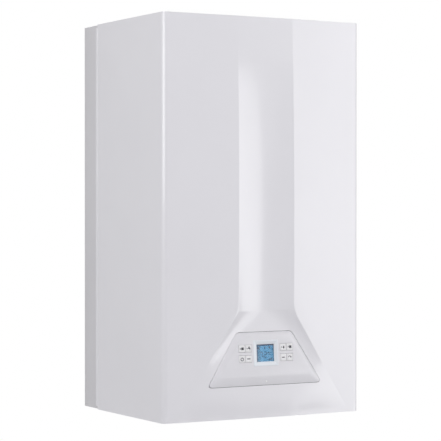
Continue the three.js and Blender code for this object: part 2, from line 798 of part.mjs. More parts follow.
function buildCradle(group) {
  const arms = [-1, 1].map((side) => {
    const outer = side * CRADLE_HALF;
    const inner = side * (CRADLE_HALF - CRADLE_SHEET);
    const low = Math.min(inner, outer);
    const high = Math.max(inner, outer);
    return box(low, high, HINGE_Y - CRADLE_NOSE, BACK_PANEL, CRADLE_BOTTOM, CRADLE_BOTTOM + CRADLE_HEIGHT);
  });
  const strip = slab(
    2 * CRADLE_HALF,
    BACK_PANEL - CRADLE_SHEET,
    BACK_PANEL,
    CRADLE_BOTTOM,
    CRADLE_BOTTOM + STRIP_HEIGHT,
  );
  const pinHoles = across(
    HINGE_RADIUS + CLEAR,
    HINGE_Y,
    HINGE_Z,
    -CRADLE_HALF - OVERRUN,
    CRADLE_HALF + OVERRUN,
  );
  piece(group, 'control_cradle', joined([...arms, strip]).subtract(pinHoles), GALVANISED);

  const plateHalf = CRADLE_HALF - CRADLE_SHEET - CLEAR;
  const shelf = joined([
    slab(2 * plateHalf, -PLATE_DEPTH, BACK_PANEL, PLATE_HEIGHT, PLATE_HEIGHT + PLATE_SHEET),
    slab(
      2 * plateHalf,
      -PLATE_DEPTH,
      -PLATE_DEPTH + PLATE_SHEET,
      PLATE_HEIGHT - PLATE_FLANGE,
      PLATE_HEIGHT + PLATE_SHEET / 2,
    ),
  ]);
  const holes = tailPlaces().map((x) => hole(TAIL_RADIUS + CLEAR, x, -TAIL_BACK));
  const glandHole = hole(GLAND_RADIUS + CLEAR, glandX(), glandY());
  piece(group, 'connection_plate', cut(shelf, [...holes, glandHole]), GALVANISED);
}

function hole(radius, x, y) {
  return upright(radius, x, y, PLATE_HEIGHT - OVERRUN, PLATE_HEIGHT + PLATE_SHEET + OVERRUN);
}

function tailPlaces() {
  return [-2, -1, 0, 1, 2].map((place) => place * TAIL_SPACING);
}

function glandX() {
  return 1.5 * TAIL_SPACING;
}

function glandY() {
  return -PLATE_DEPTH + GLAND_FRONT_GAP;
}

// ---------------------------------------------------------------------------------------------
// Control panel and the box behind it, drawn in the panel's own leaning frame
// ---------------------------------------------------------------------------------------------

const FACE_Y = -PANEL_RISE;
const FACE_BACK_Y = FACE_Y + PANEL_WALL;
const LENS_WIDTH = WINDOW_WIDTH - 2 * WINDOW_BEVEL + 2 * LENS_OVERLAP;
const LENS_HEIGHT = WINDOW_HEIGHT - 2 * WINDOW_BEVEL + 2 * LENS_OVERLAP;
const BOX_FRONT_Y = PANEL_SKIRT + CLEAR;
const BOX_BACK_Y = BOX_FRONT_Y + BOX_DEPTH;
const BOARD_Y = BOARD_DEPTH;

// The middles of the four buttons on each side of the display.
function buttonPlaces() {
  const stepX = BUTTON_WIDTH + BUTTON_GAP_X;
  const stepUp = BUTTON_HEIGHT + BUTTON_GAP_Z;
  const places = [];
  ['left', 'right'].forEach((bank, bankIndex) => {
    ['upper', 'lower'].forEach((row, rowIndex) => {
      ['outer', 'inner'].forEach((column, columnIndex) => {
        const side = bankIndex === 0 ? -1 : 1;
        const x = side * (BUTTON_BANK_OFFSET + (0.5 - columnIndex) * stepX);
        const up = DISPLAY_UP + (0.5 - rowIndex) * stepUp;
        places.push({ name: `button_${bank}_${row}_${column}`, x, up });
      });
    });
  });
  return places;
}

function buildFascia(group) {
  const insets = { top: BEVEL_TOP, side: BEVEL_SIDE, bottom: BEVEL_BOTTOM };
  const rings = [
    panelRing(0, NO_INSET, -PANEL_SKIRT),
    panelRing(0, NO_INSET, PANEL_EDGE),
    panelRing(0, insets, PANEL_RISE),
  ];
  const hollowRings = [
    panelRing(-PANEL_WALL, NO_INSET, -PANEL_SKIRT - OVERRUN),
    panelRing(-PANEL_WALL, NO_INSET, PANEL_EDGE - PANEL_WALL),
    panelRing(-PANEL_WALL, insets, PANEL_RISE - PANEL_WALL),
  ];
  const cap = panelCap(0, NO_INSET);
  const windowRings = [WINDOW_BEVEL, 0].map((inset, i) => {
    const x = WINDOW_WIDTH / 2 - inset;
    const up = WINDOW_HEIGHT / 2 - inset;
    const y = i === 0 ? FACE_BACK_Y : FACE_Y;
    return [[-x, -up], [x, -up], [x, up], [-x, up]].map(([px, pz]) => (
      new THREE.Vector3(px, y, DISPLAY_UP + pz)
    ));
  });
  const rearWindow = slab(
    WINDOW_WIDTH - 2 * WINDOW_BEVEL,
    FACE_BACK_Y - OVERRUN,
    FACE_BACK_Y + OVERRUN,
    DISPLAY_UP - WINDOW_HEIGHT / 2 + WINDOW_BEVEL,
    DISPLAY_UP + WINDOW_HEIGHT / 2 - WINDOW_BEVEL,
  );
  const buttonHoles = buttonPlaces().map(({ x, up }) => slab(
    BUTTON_WIDTH + 2 * CLEAR,
    FACE_Y - OVERRUN,
    FACE_BACK_Y + OVERRUN,
    up - BUTTON_HEIGHT / 2 - CLEAR,
    up + BUTTON_HEIGHT / 2 + CLEAR,
    x,
  ));
  const windowCap = windowRings[0].map((point) => new THREE.Vector2(point.x, point.z));
  const fascia = cut(loft(rings, cap), [
    loft(hollowRings, cap),
    loft(windowRings, windowCap),
    rearWindow,
    ...buttonHoles,
  ]);
  piece(group, 'control_fascia', fascia, WHITE_PLASTIC);
}

function buildDisplay(group) {
  const lensFront = FACE_BACK_Y + CLEAR;
  const lensBack = lensFront + LENS_SHEET;
  const lens = slab(
    LENS_WIDTH,
    lensFront,
    lensBack,
    DISPLAY_UP - LENS_HEIGHT / 2,
    DISPLAY_UP + LENS_HEIGHT / 2,
  );
  piece(group, 'display_window', lens, CLEAR_GLASS);
  const module = slab(
    MODULE_WIDTH,
    lensBack + CLEAR,
    BOARD_Y - CLEAR,
    DISPLAY_UP - MODULE_HEIGHT / 2,
    DISPLAY_UP + MODULE_HEIGHT / 2,
  );
  piece(group, 'display_module', module, BLUE_GLASS);
}

function buildButtons(group) {
  const front = FACE_Y - BUTTON_PROUD;
  const flangeFront = FACE_BACK_Y + CLEAR;
  const stemEnd = BOARD_Y - CLEAR - BUTTON_TRAVEL;
  const halfHeight = BUTTON_HEIGHT / 2;
  const cap = slab(BUTTON_WIDTH, front, flangeFront + BUTTON_FLANGE, -halfHeight, halfHeight);
  const flange = slab(
    BUTTON_WIDTH + BUTTON_GAP_X - 2 * BUTTON_SIDE_GAP,
    flangeFront,
    flangeFront + BUTTON_FLANGE,
    -halfHeight - BUTTON_FLANGE,
    halfHeight + BUTTON_FLANGE,
  );
  const stem = slab(BUTTON_STEM, flangeFront, stemEnd, -BUTTON_STEM / 2, BUTTON_STEM / 2);
  const body = joined([cap, flange, stem]);
  buttonPlaces().forEach(({ name, x, up }) => {
    piece(group, name, body, WHITE_PLASTIC).position.set(x, 0, up);
  });
}

function buildControlBox(group) {
  const bottom = -BOX_BOTTOM_DROP;
  const top = bottom + BOX_HEIGHT;
  const shell = slab(BOX_WIDTH, BOX_FRONT_Y, BOX_BACK_Y, bottom, top).subtract(slab(
    BOX_WIDTH - 2 * BOX_WALL,
    BOX_FRONT_Y + BOX_WALL,
    BOX_BACK_Y + OVERRUN,
    bottom + BOX_WALL,
    top - BOX_WALL,
  ));
  const aperture = slab(
    BOX_APERTURE_WIDTH,
    BOX_FRONT_Y - OVERRUN,
    BOX_FRONT_Y + BOX_WALL + OVERRUN,
    DISPLAY_UP - BOX_APERTURE_HEIGHT / 2,
    DISPLAY_UP + BOX_APERTURE_HEIGHT / 2,
  );
  const postReach = BOARD_WIDTH / 2 - 2 * BOARD_POST_RADIUS;
  const posts = [-1, 1].flatMap((side) => [-1, 1].map((level) => forward(
    BOARD_POST_RADIUS,
    side * postReach,
    bottom + BOX_HEIGHT / 2 + level * (BOARD_HEIGHT / 2 - 2 * BOARD_POST_RADIUS),
    BOX_FRONT_Y + BOX_WALL / 2,
    BOARD_Y - CLEAR,
    12,
  )));
  const pinEnd = CRADLE_HALF;
  const pins = [-1, 1].map((side) => across(
    HINGE_RADIUS,
    HINGE_BACK,
    HINGE_UP,
    Math.min(side * pinEnd, side * (BOX_WIDTH / 2 - OVERRUN)),
    Math.max(side * pinEnd, side * (BOX_WIDTH / 2 - OVERRUN)),
  ));
  piece(group, 'control_box', joined([shell.subtract(aperture), ...posts, ...pins]), BLACK_PLASTIC);

  const board = slab(
    BOARD_WIDTH,
    BOARD_Y,
    BOARD_Y + BOARD_SHEET,
    bottom + (BOX_HEIGHT - BOARD_HEIGHT) / 2,
    bottom + (BOX_HEIGHT + BOARD_HEIGHT) / 2,
  );
  piece(group, 'control_board', board, BOARD_GREEN);

  const coverFront = BOX_BACK_Y + CLEAR;
  const inset = BOX_WALL + CLEAR;
  const cover = joined([
    slab(BOX_WIDTH, coverFront, coverFront + BOX_COVER_SHEET, bottom, top),
    slab(
      BOX_WIDTH - 2 * inset,
      coverFront - BOX_WALL,
      coverFront + BOX_COVER_SHEET / 2,
      bottom + inset,
      top - inset,
    ),
  ]);
  piece(group, 'control_box_cover', cover, BLACK_PLASTIC);
}

function buildControl(group) {
  const panel = new THREE.Group();
  panel.position.set(0, -CASE_DEPTH + FLOOR_SETBACK, PANEL_BOTTOM);
  panel.rotation.x = -FLOOR_TILT;
  buildFascia(panel);
  buildDisplay(panel);
  buildButtons(panel);
  buildControlBox(panel);
  group.add(panel);
}

// ---------------------------------------------------------------------------------------------
// Sealed chamber, burner, heat exchanger, fan and flue
// ---------------------------------------------------------------------------------------------

const CHAMBER_TOP = PLATE_UNDER - CLEAR;
const CHAMBER_BACK_Y = -CHAMBER_BACK;
const CHAMBER_FRONT_Y = -CASE_DEPTH + CHAMBER_FRONT_GAP;
const CHAMBER_HALF = CHAMBER_WIDTH / 2;
const CHAMBER_FLOOR = CHAMBER_BOTTOM + CHAMBER_SHEET + CLEAR;
const FIREBOX_HALF = FIREBOX_WIDTH / 2;
const FIREBOX_BACK_Y = CHAMBER_BACK_Y - FIREBOX_BACK_GAP;
const FIREBOX_FRONT_Y = CHAMBER_FRONT_Y + FIREBOX_FRONT_GAP;
const FAN_STACK = HOOD_HEIGHT + FAN_HEIGHT + FAN_MOTOR_HEIGHT + FAN_HEADROOM;
const FIREBOX_TOP = CHAMBER_TOP - FAN_STACK - EXCHANGER_HEIGHT - 3 * CLEAR;
const BURNER_BOTTOM = CHAMBER_FLOOR + BURNER_UP;
const LINING_BOTTOM = BURNER_BOTTOM + BURNER_HEIGHT + LINING_RISE;
const EXCHANGER_BOTTOM = FIREBOX_TOP + CLEAR;
const EXCHANGER_TOP = EXCHANGER_BOTTOM + EXCHANGER_HEIGHT;
const EXCHANGER_MID = EXCHANGER_BOTTOM + EXCHANGER_HEIGHT / 2;
const HOOD_BOTTOM = EXCHANGER_TOP + CLEAR;
const HOOD_TOP = HOOD_BOTTOM + HOOD_HEIGHT;
const FAN_X = -FAN_OFFSET_X;
const FAN_Y = CHAMBER_FRONT_Y + FAN_FRONT_GAP + FAN_RADIUS;
const FAN_BOTTOM = HOOD_TOP + CLEAR;
const FAN_TOP = FAN_BOTTOM + FAN_HEIGHT;
const PIPE_X = FIREBOX_HALF + EXCHANGER_STUB_LENGTH + CLEAR + PIPE_BEND + PIPE_START;
const PIPE_Y = FIREBOX_BACK_Y - EXCHANGER_STUB_BACK;
const MANIFOLD_BACK_Y = FIREBOX_FRONT_Y - CLEAR;
const MANIFOLD_Y = MANIFOLD_BACK_Y - MANIFOLD_BAR / 2;
const MANIFOLD_Z = BURNER_BOTTOM + MANIFOLD_UP;
const ELECTRODE_Z = CHAMBER_FLOOR + ELECTRODE_UP;

function chamberHole(radius, x, y) {
  return upright(radius, x, y, CHAMBER_BOTTOM - OVERRUN, CHAMBER_BOTTOM + CHAMBER_SHEET + OVERRUN);
}

function buildChamber(group) {
  const shell = slab(CHAMBER_WIDTH, CHAMBER_FRONT_Y, CHAMBER_BACK_Y, CHAMBER_BOTTOM, CHAMBER_TOP);
  const hollow = slab(
    CHAMBER_WIDTH - 2 * CHAMBER_SHEET,
    CHAMBER_FRONT_Y - OVERRUN,
    CHAMBER_BACK_Y - CHAMBER_SHEET,
    CHAMBER_BOTTOM + CHAMBER_SHEET,
    CHAMBER_TOP - CHAMBER_SHEET,
  );
  const openings = [
    upright(
      COLLAR_RADIUS + CLEAR,
      0,
      -FLUE_BACK,
      CHAMBER_TOP - CHAMBER_SHEET - OVERRUN,
      CHAMBER_TOP + OVERRUN,
      24,
    ),
    chamberHole(PIPE_RADIUS + CLEAR, -PIPE_X, PIPE_Y),
    chamberHole(PIPE_RADIUS + CLEAR, PIPE_X, PIPE_Y),
    chamberHole(GAS_PIPE_RADIUS + CLEAR, 0, MANIFOLD_Y),
    across(
      NIPPLE_RADIUS,
      -SWITCH_BACK,
      SWITCH_Z - HOSE_DROP,
      CHAMBER_HALF - 2 * CHAMBER_SHEET,
      CHAMBER_HALF + CHAMBER_SHEET,
    ),
  ];
  piece(group, 'sealed_chamber', cut(shell, [hollow, ...openings]), GALVANISED);

  const coverBack = CHAMBER_FRONT_Y - CLEAR;
  const sightZ = CHAMBER_BOTTOM + SIGHT_HEIGHT;
  const cover = joined([
    slab(
      CHAMBER_WIDTH + 2 * COVER_OVERLAP,
      coverBack - COVER_SHEET,
      coverBack,
      CHAMBER_BOTTOM - COVER_OVERLAP,
      CHAMBER_TOP - COVER_OVERLAP,
    ),
    ...[-1, 1].map((side) => box(
      Math.min(side * (CHAMBER_HALF + COVER_OVERLAP), side * (CHAMBER_HALF + COVER_OVERLAP - COVER_SHEET)),
      Math.max(side * (CHAMBER_HALF + COVER_OVERLAP), side * (CHAMBER_HALF + COVER_OVERLAP - COVER_SHEET)),
      coverBack - COVER_SHEET / 2,
      coverBack + COVER_OVERLAP,
      CHAMBER_BOTTOM - COVER_OVERLAP,
      CHAMBER_TOP - COVER_OVERLAP,
    )),
  ]);
  const sightHole = forward(
    SIGHT_RADIUS + CLEAR,
    0,
    sightZ,
    coverBack - COVER_SHEET - OVERRUN,
    coverBack + OVERRUN,
  );
  piece(group, 'chamber_cover', cover.subtract(sightHole), GALVANISED);

  const rimBack = coverBack - COVER_SHEET - CLEAR;
  const sight = joined([
    forward(SIGHT_RADIUS, 0, sightZ, rimBack - SIGHT_SHEET / 2, coverBack),
    forward(SIGHT_RADIUS + SIGHT_RIM, 0, sightZ, rimBack - SIGHT_SHEET, rimBack),
  ]);
  piece(group, 'sight_glass', sight, CLEAR_GLASS);
}

function buildFirebox(group) {
  const shell = slab(FIREBOX_WIDTH, FIREBOX_FRONT_Y, FIREBOX_BACK_Y, CHAMBER_FLOOR, FIREBOX_TOP);
  const inside = slab(
    FIREBOX_WIDTH - 2 * FIREBOX_SHEET,
    FIREBOX_FRONT_Y + FIREBOX_SHEET,
    FIREBOX_BACK_Y - FIREBOX_SHEET,
    CHAMBER_FLOOR - OVERRUN,
    FIREBOX_TOP + OVERRUN,
  );
  const airSlot = slab(
    FIREBOX_WIDTH - 2 * BLADE_END_GAP,
    FIREBOX_FRONT_Y - OVERRUN,
    FIREBOX_FRONT_Y + FIREBOX_SHEET + OVERRUN,
    MANIFOLD_Z - AIR_SLOT_HEIGHT / 2,
    MANIFOLD_Z + AIR_SLOT_HEIGHT / 2,
  );
  const electrodeHoles = electrodePlaces().map((x) => forward(
    ELECTRODE_RADIUS + CLEAR,
    x,
    ELECTRODE_Z,
    FIREBOX_FRONT_Y - OVERRUN,
    FIREBOX_FRONT_Y + FIREBOX_SHEET + LINING + OVERRUN,
    16,
  ));
  piece(group, 'firebox', cut(shell, [inside, airSlot, ...electrodeHoles]), STAINLESS);

  const liningGap = FIREBOX_SHEET + CLEAR;
  const lining = slab(
    FIREBOX_WIDTH - 2 * liningGap,
    FIREBOX_FRONT_Y + liningGap,
    FIREBOX_BACK_Y - liningGap,
    LINING_BOTTOM,
    FIREBOX_TOP,
  ).subtract(slab(
    FIREBOX_WIDTH - 2 * (liningGap + LINING),
    FIREBOX_FRONT_Y + liningGap + LINING,
    FIREBOX_BACK_Y - liningGap - LINING,
    CHAMBER_FLOOR,
    FIREBOX_TOP + OVERRUN,
  ));
  piece(group, 'insulation_lining', cut(lining, electrodeHoles), CERAMIC);

  const rackHalf = FIREBOX_HALF - FIREBOX_SHEET - CLEAR;
  const pitch = (2 * (rackHalf - BLADE_END_GAP) - BLADE_WIDTH) / (BURNER_BLADES - 1);
  const bladeX = Array.from({ length: BURNER_BLADES }, (_, i) => (i - (BURNER_BLADES - 1) / 2) * pitch);
  const bladeFront = FIREBOX_FRONT_Y + 2 * BLADE_END_GAP;
  const bladeBack = FIREBOX_BACK_Y - BLADE_END_GAP;
  const blades = bladeX.map((x) => slab(
    BLADE_WIDTH,
    bladeFront,
    bladeBack,
    BURNER_BOTTOM,
    BURNER_BOTTOM + BURNER_HEIGHT,
    x,
  ));
  const bars = [bladeFront + BLADE_END_GAP, bladeBack - BLADE_END_GAP].map((y) => slab(
    2 * rackHalf,
    y - BURNER_BAR / 2,
    y + BURNER_BAR / 2,
    BURNER_BOTTOM,
    BURNER_BOTTOM + BURNER_BAR,
  ));
  piece(group, 'burner', joined([...bars, ...blades]), STAINLESS);

  const manifoldHalf = FIREBOX_HALF - BLADE_END_GAP / 2;
  const bar = slab(
    2 * manifoldHalf,
    MANIFOLD_BACK_Y - MANIFOLD_BAR,
    MANIFOLD_BACK_Y,
    MANIFOLD_Z - MANIFOLD_BAR / 2,
    MANIFOLD_Z + MANIFOLD_BAR / 2,
  );
  const nozzles = bladeX.map((x) => forward(
    NOZZLE_RADIUS,
    x,
    MANIFOLD_Z,
    MANIFOLD_BACK_Y - OVERRUN,
    bladeFront - BLADE_END_GAP / 2,
    8,
  ));
  piece(group, 'gas_manifold', joined([bar, ...nozzles]), BRASS);

  const shoulder = FIREBOX_FRONT_Y - ELECTRODE_LENGTH / 2;
  const electrode = joined([
    forward(ELECTRODE_RADIUS, 0, 0, shoulder, shoulder + ELECTRODE_LENGTH, 12),
    forward(ELECTRODE_TIP_RADIUS, 0, 0, shoulder + OVERRUN, shoulder + ELECTRODE_LENGTH + ELECTRODE_TIP, 8),
  ]);
  const names = ['ignition_electrode', 'flame_sensing_electrode'];
  electrodePlaces().forEach((x, i) => {
    piece(group, names[i], electrode, CERAMIC).position.set(x, 0, ELECTRODE_Z);
  });

  const exchangerFront = FIREBOX_FRONT_Y;
  const slotPitch = FIREBOX_WIDTH / (EXCHANGER_SLOTS + 1);
  const slots = Array.from({ length: EXCHANGER_SLOTS }, (_, i) => (i + 1) * slotPitch - FIREBOX_HALF)
    .flatMap((x) => [
      [EXCHANGER_BOTTOM - OVERRUN, EXCHANGER_MID - EXCHANGER_CORE / 2],
      [EXCHANGER_MID + EXCHANGER_CORE / 2, EXCHANGER_TOP + 1],
    ].map(([z0, z1]) => slab(
      EXCHANGER_SLOT_WIDTH,
      exchangerFront + FIREBOX_SHEET,
      FIREBOX_BACK_Y - FIREBOX_SHEET,
      z0,
      z1,
      x,
    )));
  const stubs = [-1, 1].map((side) => across(
    EXCHANGER_STUB_RADIUS,
    PIPE_Y,
    EXCHANGER_MID,
    Math.min(side * (FIREBOX_HALF - OVERRUN), side * (FIREBOX_HALF + EXCHANGER_STUB_LENGTH)),
    Math.max(side * (FIREBOX_HALF - OVERRUN), side * (FIREBOX_HALF + EXCHANGER_STUB_LENGTH)),
  ));
  const block = slab(FIREBOX_WIDTH, exchangerFront, FIREBOX_BACK_Y, EXCHANGER_BOTTOM, EXCHANGER_TOP);
  piece(group, 'heat_exchanger', joined([cut(block, slots), ...stubs]), COPPER);

  const hood = hoodLoft(0).subtract(hoodLoft(HOOD_SHEET));
  piece(group, 'flue_hood', hood, STAINLESS);
}

function electrodePlaces() {
  return [-ELECTRODE_SPACING / 2, ELECTRODE_SPACING / 2];
}

// The hood narrows from the heat exchanger to the square neck under the fan.
function hoodLoft(inset) {
  const margin = inset > 0 ? 1 : 0;
  const half = FIREBOX_HALF - inset;
  const neck = HOOD_NECK / 2 - inset;
  const levels = [
    [-half, half, FIREBOX_FRONT_Y + inset, FIREBOX_BACK_Y - inset, HOOD_BOTTOM],
    [FAN_X - neck, FAN_X + neck, FAN_Y - neck, FAN_Y + neck, HOOD_TOP],
  ];
  const rings = levels.map(([x0, x1, y0, y1, z]) => [
    new THREE.Vector3(x0, y0, z),
    new THREE.Vector3(x1, y0, z),
    new THREE.Vector3(x1, y1, z),
    new THREE.Vector3(x0, y1, z),
  ]);
  if (margin > 0) {
    rings.unshift(rings[0].map((point) => new THREE.Vector3(point.x, point.y, HOOD_BOTTOM - margin)));
    rings.push(rings[2].map((point) => new THREE.Vector3(point.x, point.y, HOOD_TOP + margin)));
  }
  const cap = rings[0].map((point) => new THREE.Vector2(point.x, point.y));
  return loft(rings, cap);
}

function buildFan(group) {
  const spigotTop = PLATE_TOP - SPIGOT_DROP;
  const ductY = -FLUE_BACK;
  const ductHalf = FAN_DUCT_WIDTH / 2;
  const outside = joined([
    upright(FAN_RADIUS, FAN_X, FAN_Y, FAN_BOTTOM, FAN_TOP, 24),
    box(FAN_X, FAN_DUCT_END, ductY - ductHalf, ductY + ductHalf, FAN_BOTTOM, FAN_TOP),
    upright(FLUE_SPIGOT_RADIUS, 0, ductY, FAN_TOP - FAN_WALL / 2, spigotTop, 24),
  ]);
  const inner = ductHalf - FAN_WALL;
  const low = FAN_BOTTOM + FAN_WALL;
  const high = FAN_TOP - FAN_WALL;
  const inside = joined([
    upright(FAN_RADIUS - FAN_WALL, FAN_X, FAN_Y, low, high, 24),
    box(FAN_X, FAN_DUCT_END - FAN_WALL, ductY - inner, ductY + inner, low, high),
    upright(FLUE_SPIGOT_RADIUS - FLUE_SPIGOT_WALL, 0, ductY, high - OVERRUN, spigotTop + OVERRUN, 24),
    upright(FAN_INLET_RADIUS, FAN_X, FAN_Y, FAN_BOTTOM - OVERRUN, low + OVERRUN, 16),
    upright(FAN_SHAFT_RADIUS + RUN_CLEAR, FAN_X, FAN_Y, high - OVERRUN, FAN_TOP + OVERRUN, 16),
  ]);
  piece(group, 'fan_housing', outside.subtract(inside), ALUMINIUM);

  const discBottom = high - 2 * FAN_WALL - WHEEL_DISC;
  const bladeBottom = low + FAN_WALL;
  const motorBottom = FAN_TOP + CLEAR;
  const shaftTop = motorBottom + FAN_MOTOR_HEIGHT / 2;
  const blades = Array.from({ length: WHEEL_BLADES }, (_, i) => {
    const blade = box(
      WHEEL_RADIUS - WHEEL_BLADE_LENGTH,
      WHEEL_RADIUS - WHEEL_BLADE_SHEET,
      -WHEEL_BLADE_SHEET / 2,
      WHEEL_BLADE_SHEET / 2,
      bladeBottom,
      discBottom + WHEEL_DISC / 2,
    );
    return blade.rotate([0, 0, (360 * i) / WHEEL_BLADES]);
  });
  const wheel = joined([
    upright(WHEEL_RADIUS, 0, 0, discBottom, discBottom + WHEEL_DISC, 24),
    upright(WHEEL_HUB_RADIUS, 0, 0, discBottom - WHEEL_HUB_RADIUS, discBottom + WHEEL_DISC, 16),
    upright(FAN_SHAFT_RADIUS, 0, 0, discBottom, shaftTop, 16),
    ...blades,
  ]);
  piece(group, 'fan_wheel', wheel, ALUMINIUM).position.set(FAN_X, FAN_Y, 0);

  const motor = upright(FAN_MOTOR_RADIUS, FAN_X, FAN_Y, motorBottom, motorBottom + FAN_MOTOR_HEIGHT, 20);
  const bore = upright(
    FAN_SHAFT_RADIUS + RUN_CLEAR,
    FAN_X,
    FAN_Y,
    motorBottom - OVERRUN,
    shaftTop + CLEAR,
    16,
  );
  piece(group, 'fan_motor', motor.subtract(bore), BLACK_PLASTIC);

  const flangeBottom = PLATE_TOP + CLEAR;
  const collar = turned([
    [COLLAR_RADIUS - COLLAR_WALL, flangeBottom - COLLAR_SKIRT],
    [COLLAR_RADIUS, flangeBottom - COLLAR_SKIRT],
    [COLLAR_RADIUS, flangeBottom],
    [COLLAR_RADIUS + COLLAR_FLANGE, flangeBottom],
    [COLLAR_RADIUS + COLLAR_FLANGE, CASE_HEIGHT - CLEAR],
    [COLLAR_RADIUS - COLLAR_WALL, CASE_HEIGHT - CLEAR],
    [COLLAR_RADIUS - COLLAR_WALL, flangeBottom - COLLAR_SKIRT],
  ], 0, ductY, 24);
  piece(group, 'flue_collar', collar, ALUMINIUM);
}

const SWITCH_Z = CHAMBER_BOTTOM + SWITCH_UP;

function buildPressureSwitch(group) {
  const face = CHAMBER_HALF + CLEAR;
  const outer = face + SWITCH_DEPTH;
  const body = joined([
    across(SWITCH_RADIUS, -SWITCH_BACK, SWITCH_Z, face, outer),
    upright(
      NIPPLE_RADIUS,
      face + SWITCH_DEPTH / 2,
      -SWITCH_BACK,
      SWITCH_Z - SWITCH_RADIUS - NIPPLE_LENGTH,
      SWITCH_Z - SWITCH_RADIUS / 2,
      12,
    ),
  ]);
  piece(group, 'air_pressure_switch', body, GREY_PLASTIC);

  const hoseX = face + SWITCH_DEPTH / 2;
  const hoseTop = SWITCH_Z - SWITCH_RADIUS - NIPPLE_LENGTH - CLEAR;
  const hose = pipe([
    [hoseX, -SWITCH_BACK, hoseTop],
    [hoseX, -SWITCH_BACK, SWITCH_Z - HOSE_DROP],
    [CHAMBER_HALF + CLEAR, -SWITCH_BACK, SWITCH_Z - HOSE_DROP],
  ], HOSE_RADIUS, 2 * HOSE_RADIUS, 10);
  piece(group, 'pressure_hose', hose, SILICONE);
}

// ---------------------------------------------------------------------------------------------
// Water side, gas side and expansion vessel
// ---------------------------------------------------------------------------------------------

const SHELF_TOP = PLATE_HEIGHT + PLATE_SHEET;
const BLOCK_BOTTOM = SHELF_TOP + BLOCK_UP;
const BLOCK_TOP = BLOCK_BOTTOM + BLOCK_HEIGHT;
const BLOCK_MID = (BLOCK_BOTTOM + BLOCK_TOP) / 2;
const BLOCK_FRONT_Y = -BLOCK_BACK - BLOCK_DEPTH;
const BLOCK_Y = -BLOCK_BACK - BLOCK_DEPTH / 2;
const BLOCK_INNER_X = -(STACK_WIDTH / 2 + CLEAR);
const BLOCK_X = BLOCK_INNER_X - BLOCK_WIDTH / 2;
const STACK_BOTTOM = BLOCK_MID - STACK_HEIGHT / 2;
const PUMP_X = STACK_WIDTH / 2 + CLEAR + PUMP_RADIUS;
const PUMP_Z = SHELF_TOP + PUMP_UP;
const PUMP_BACK_Y = BLOCK_Y + PUMP_DEPTH / 2;
const PUMP_FRONT_Y = BLOCK_Y - PUMP_DEPTH / 2;
const PUMP_FOOT = PUMP_Z - PUMP_RADIUS - BOSS_DROP;
const BOSS_TOP = PUMP_Z + PUMP_RADIUS + BOSS_RISE;
const VALVE_BOTTOM = SHELF_TOP + VALVE_UP;
const VALVE_TOP = VALVE_BOTTOM + VALVE_HEIGHT;
const VALVE_Y = -VALVE_BACK - VALVE_DEPTH / 2;

// A hexagonal nut drawn up against the underside of the connection plate.
function nut(x) {
  const top = PLATE_HEIGHT - CLEAR;
  return upright(NUT_RADIUS, x, -TAIL_BACK, top - NUT_HEIGHT, top, 6);
}

function tail(x, top) {
  const tube = upright(TAIL_RADIUS, x, -TAIL_BACK, TAIL_BOTTOM, top);
  const bore = upright(TAIL_BORE, x, -TAIL_BACK, TAIL_BOTTOM - OVERRUN, top + OVERRUN);
  return joined([tube, nut(x)]).subtract(bore);
}

function buildTails(group) {
  const [flowX, hotX, gasX, coldX, returnX] = tailPlaces();
  piece(group, 'heating_flow_tail', tail(flowX, BLOCK_BOTTOM - CLEAR), COPPER);
  piece(group, 'hot_water_tail', tail(hotX, STACK_BOTTOM - CLEAR), COPPER);
  piece(group, 'heating_return_tail', tail(returnX, PUMP_FOOT - CLEAR), COPPER);

  const tapZ = SHELF_TOP + CLEAR + TAP_RADIUS;
  const tapFront = -PLATE_DEPTH - TAP_FRONT_REACH;
  const tapBore = forward(
    KNOB_SPINDLE_RADIUS + RUN_CLEAR,
    coldX,
    tapZ,
    tapFront - OVERRUN,
    tapFront + KNOB_SPINDLE_LENGTH + CLEAR,
    16,
  );
  const tap = joined([
    tail(coldX, STACK_BOTTOM - CLEAR),
    forward(TAP_RADIUS, coldX, tapZ, tapFront, -TAIL_BACK - TAIL_BORE),
  ]);
  piece(group, 'filling_tap', tap.subtract(tapBore), BRASS);
  piece(group, 'filling_knob', knob(), BLACK_PLASTIC).position.set(coldX, tapFront, tapZ);

  const inletZ = SHELF_TOP + GAS_INLET_UP;
  const gasInlet = joined([
    pipe([
      [gasX, -TAIL_BACK, TAIL_BOTTOM],
      [gasX, -TAIL_BACK, inletZ],
      [gasX, VALVE_Y, inletZ],
      [gasX, VALVE_Y, VALVE_BOTTOM - CLEAR],
    ], GAS_PIPE_RADIUS, GAS_PIPE_RADIUS + OVERRUN, 12),
    nut(gasX),
  ]);
  piece(group, 'gas_inlet_pipe', gasInlet, BRASS);

  const flangeTop = SHELF_TOP + CLEAR + GLAND_FLANGE_HEIGHT;
  const glandBottom = flangeTop - GLAND_HEIGHT;
  const gland = turned([
    [GLAND_BORE, glandBottom],
    [GLAND_RADIUS, glandBottom],
    [GLAND_RADIUS, SHELF_TOP + CLEAR],
    [GLAND_RADIUS + GLAND_FLANGE, SHELF_TOP + CLEAR],
    [GLAND_RADIUS + GLAND_FLANGE, flangeTop],
    [GLAND_BORE, flangeTop],
    [GLAND_BORE, glandBottom],
  ], glandX(), glandY(), 20);
  piece(group, 'cable_gland', gland, BLACK_PLASTIC);
}

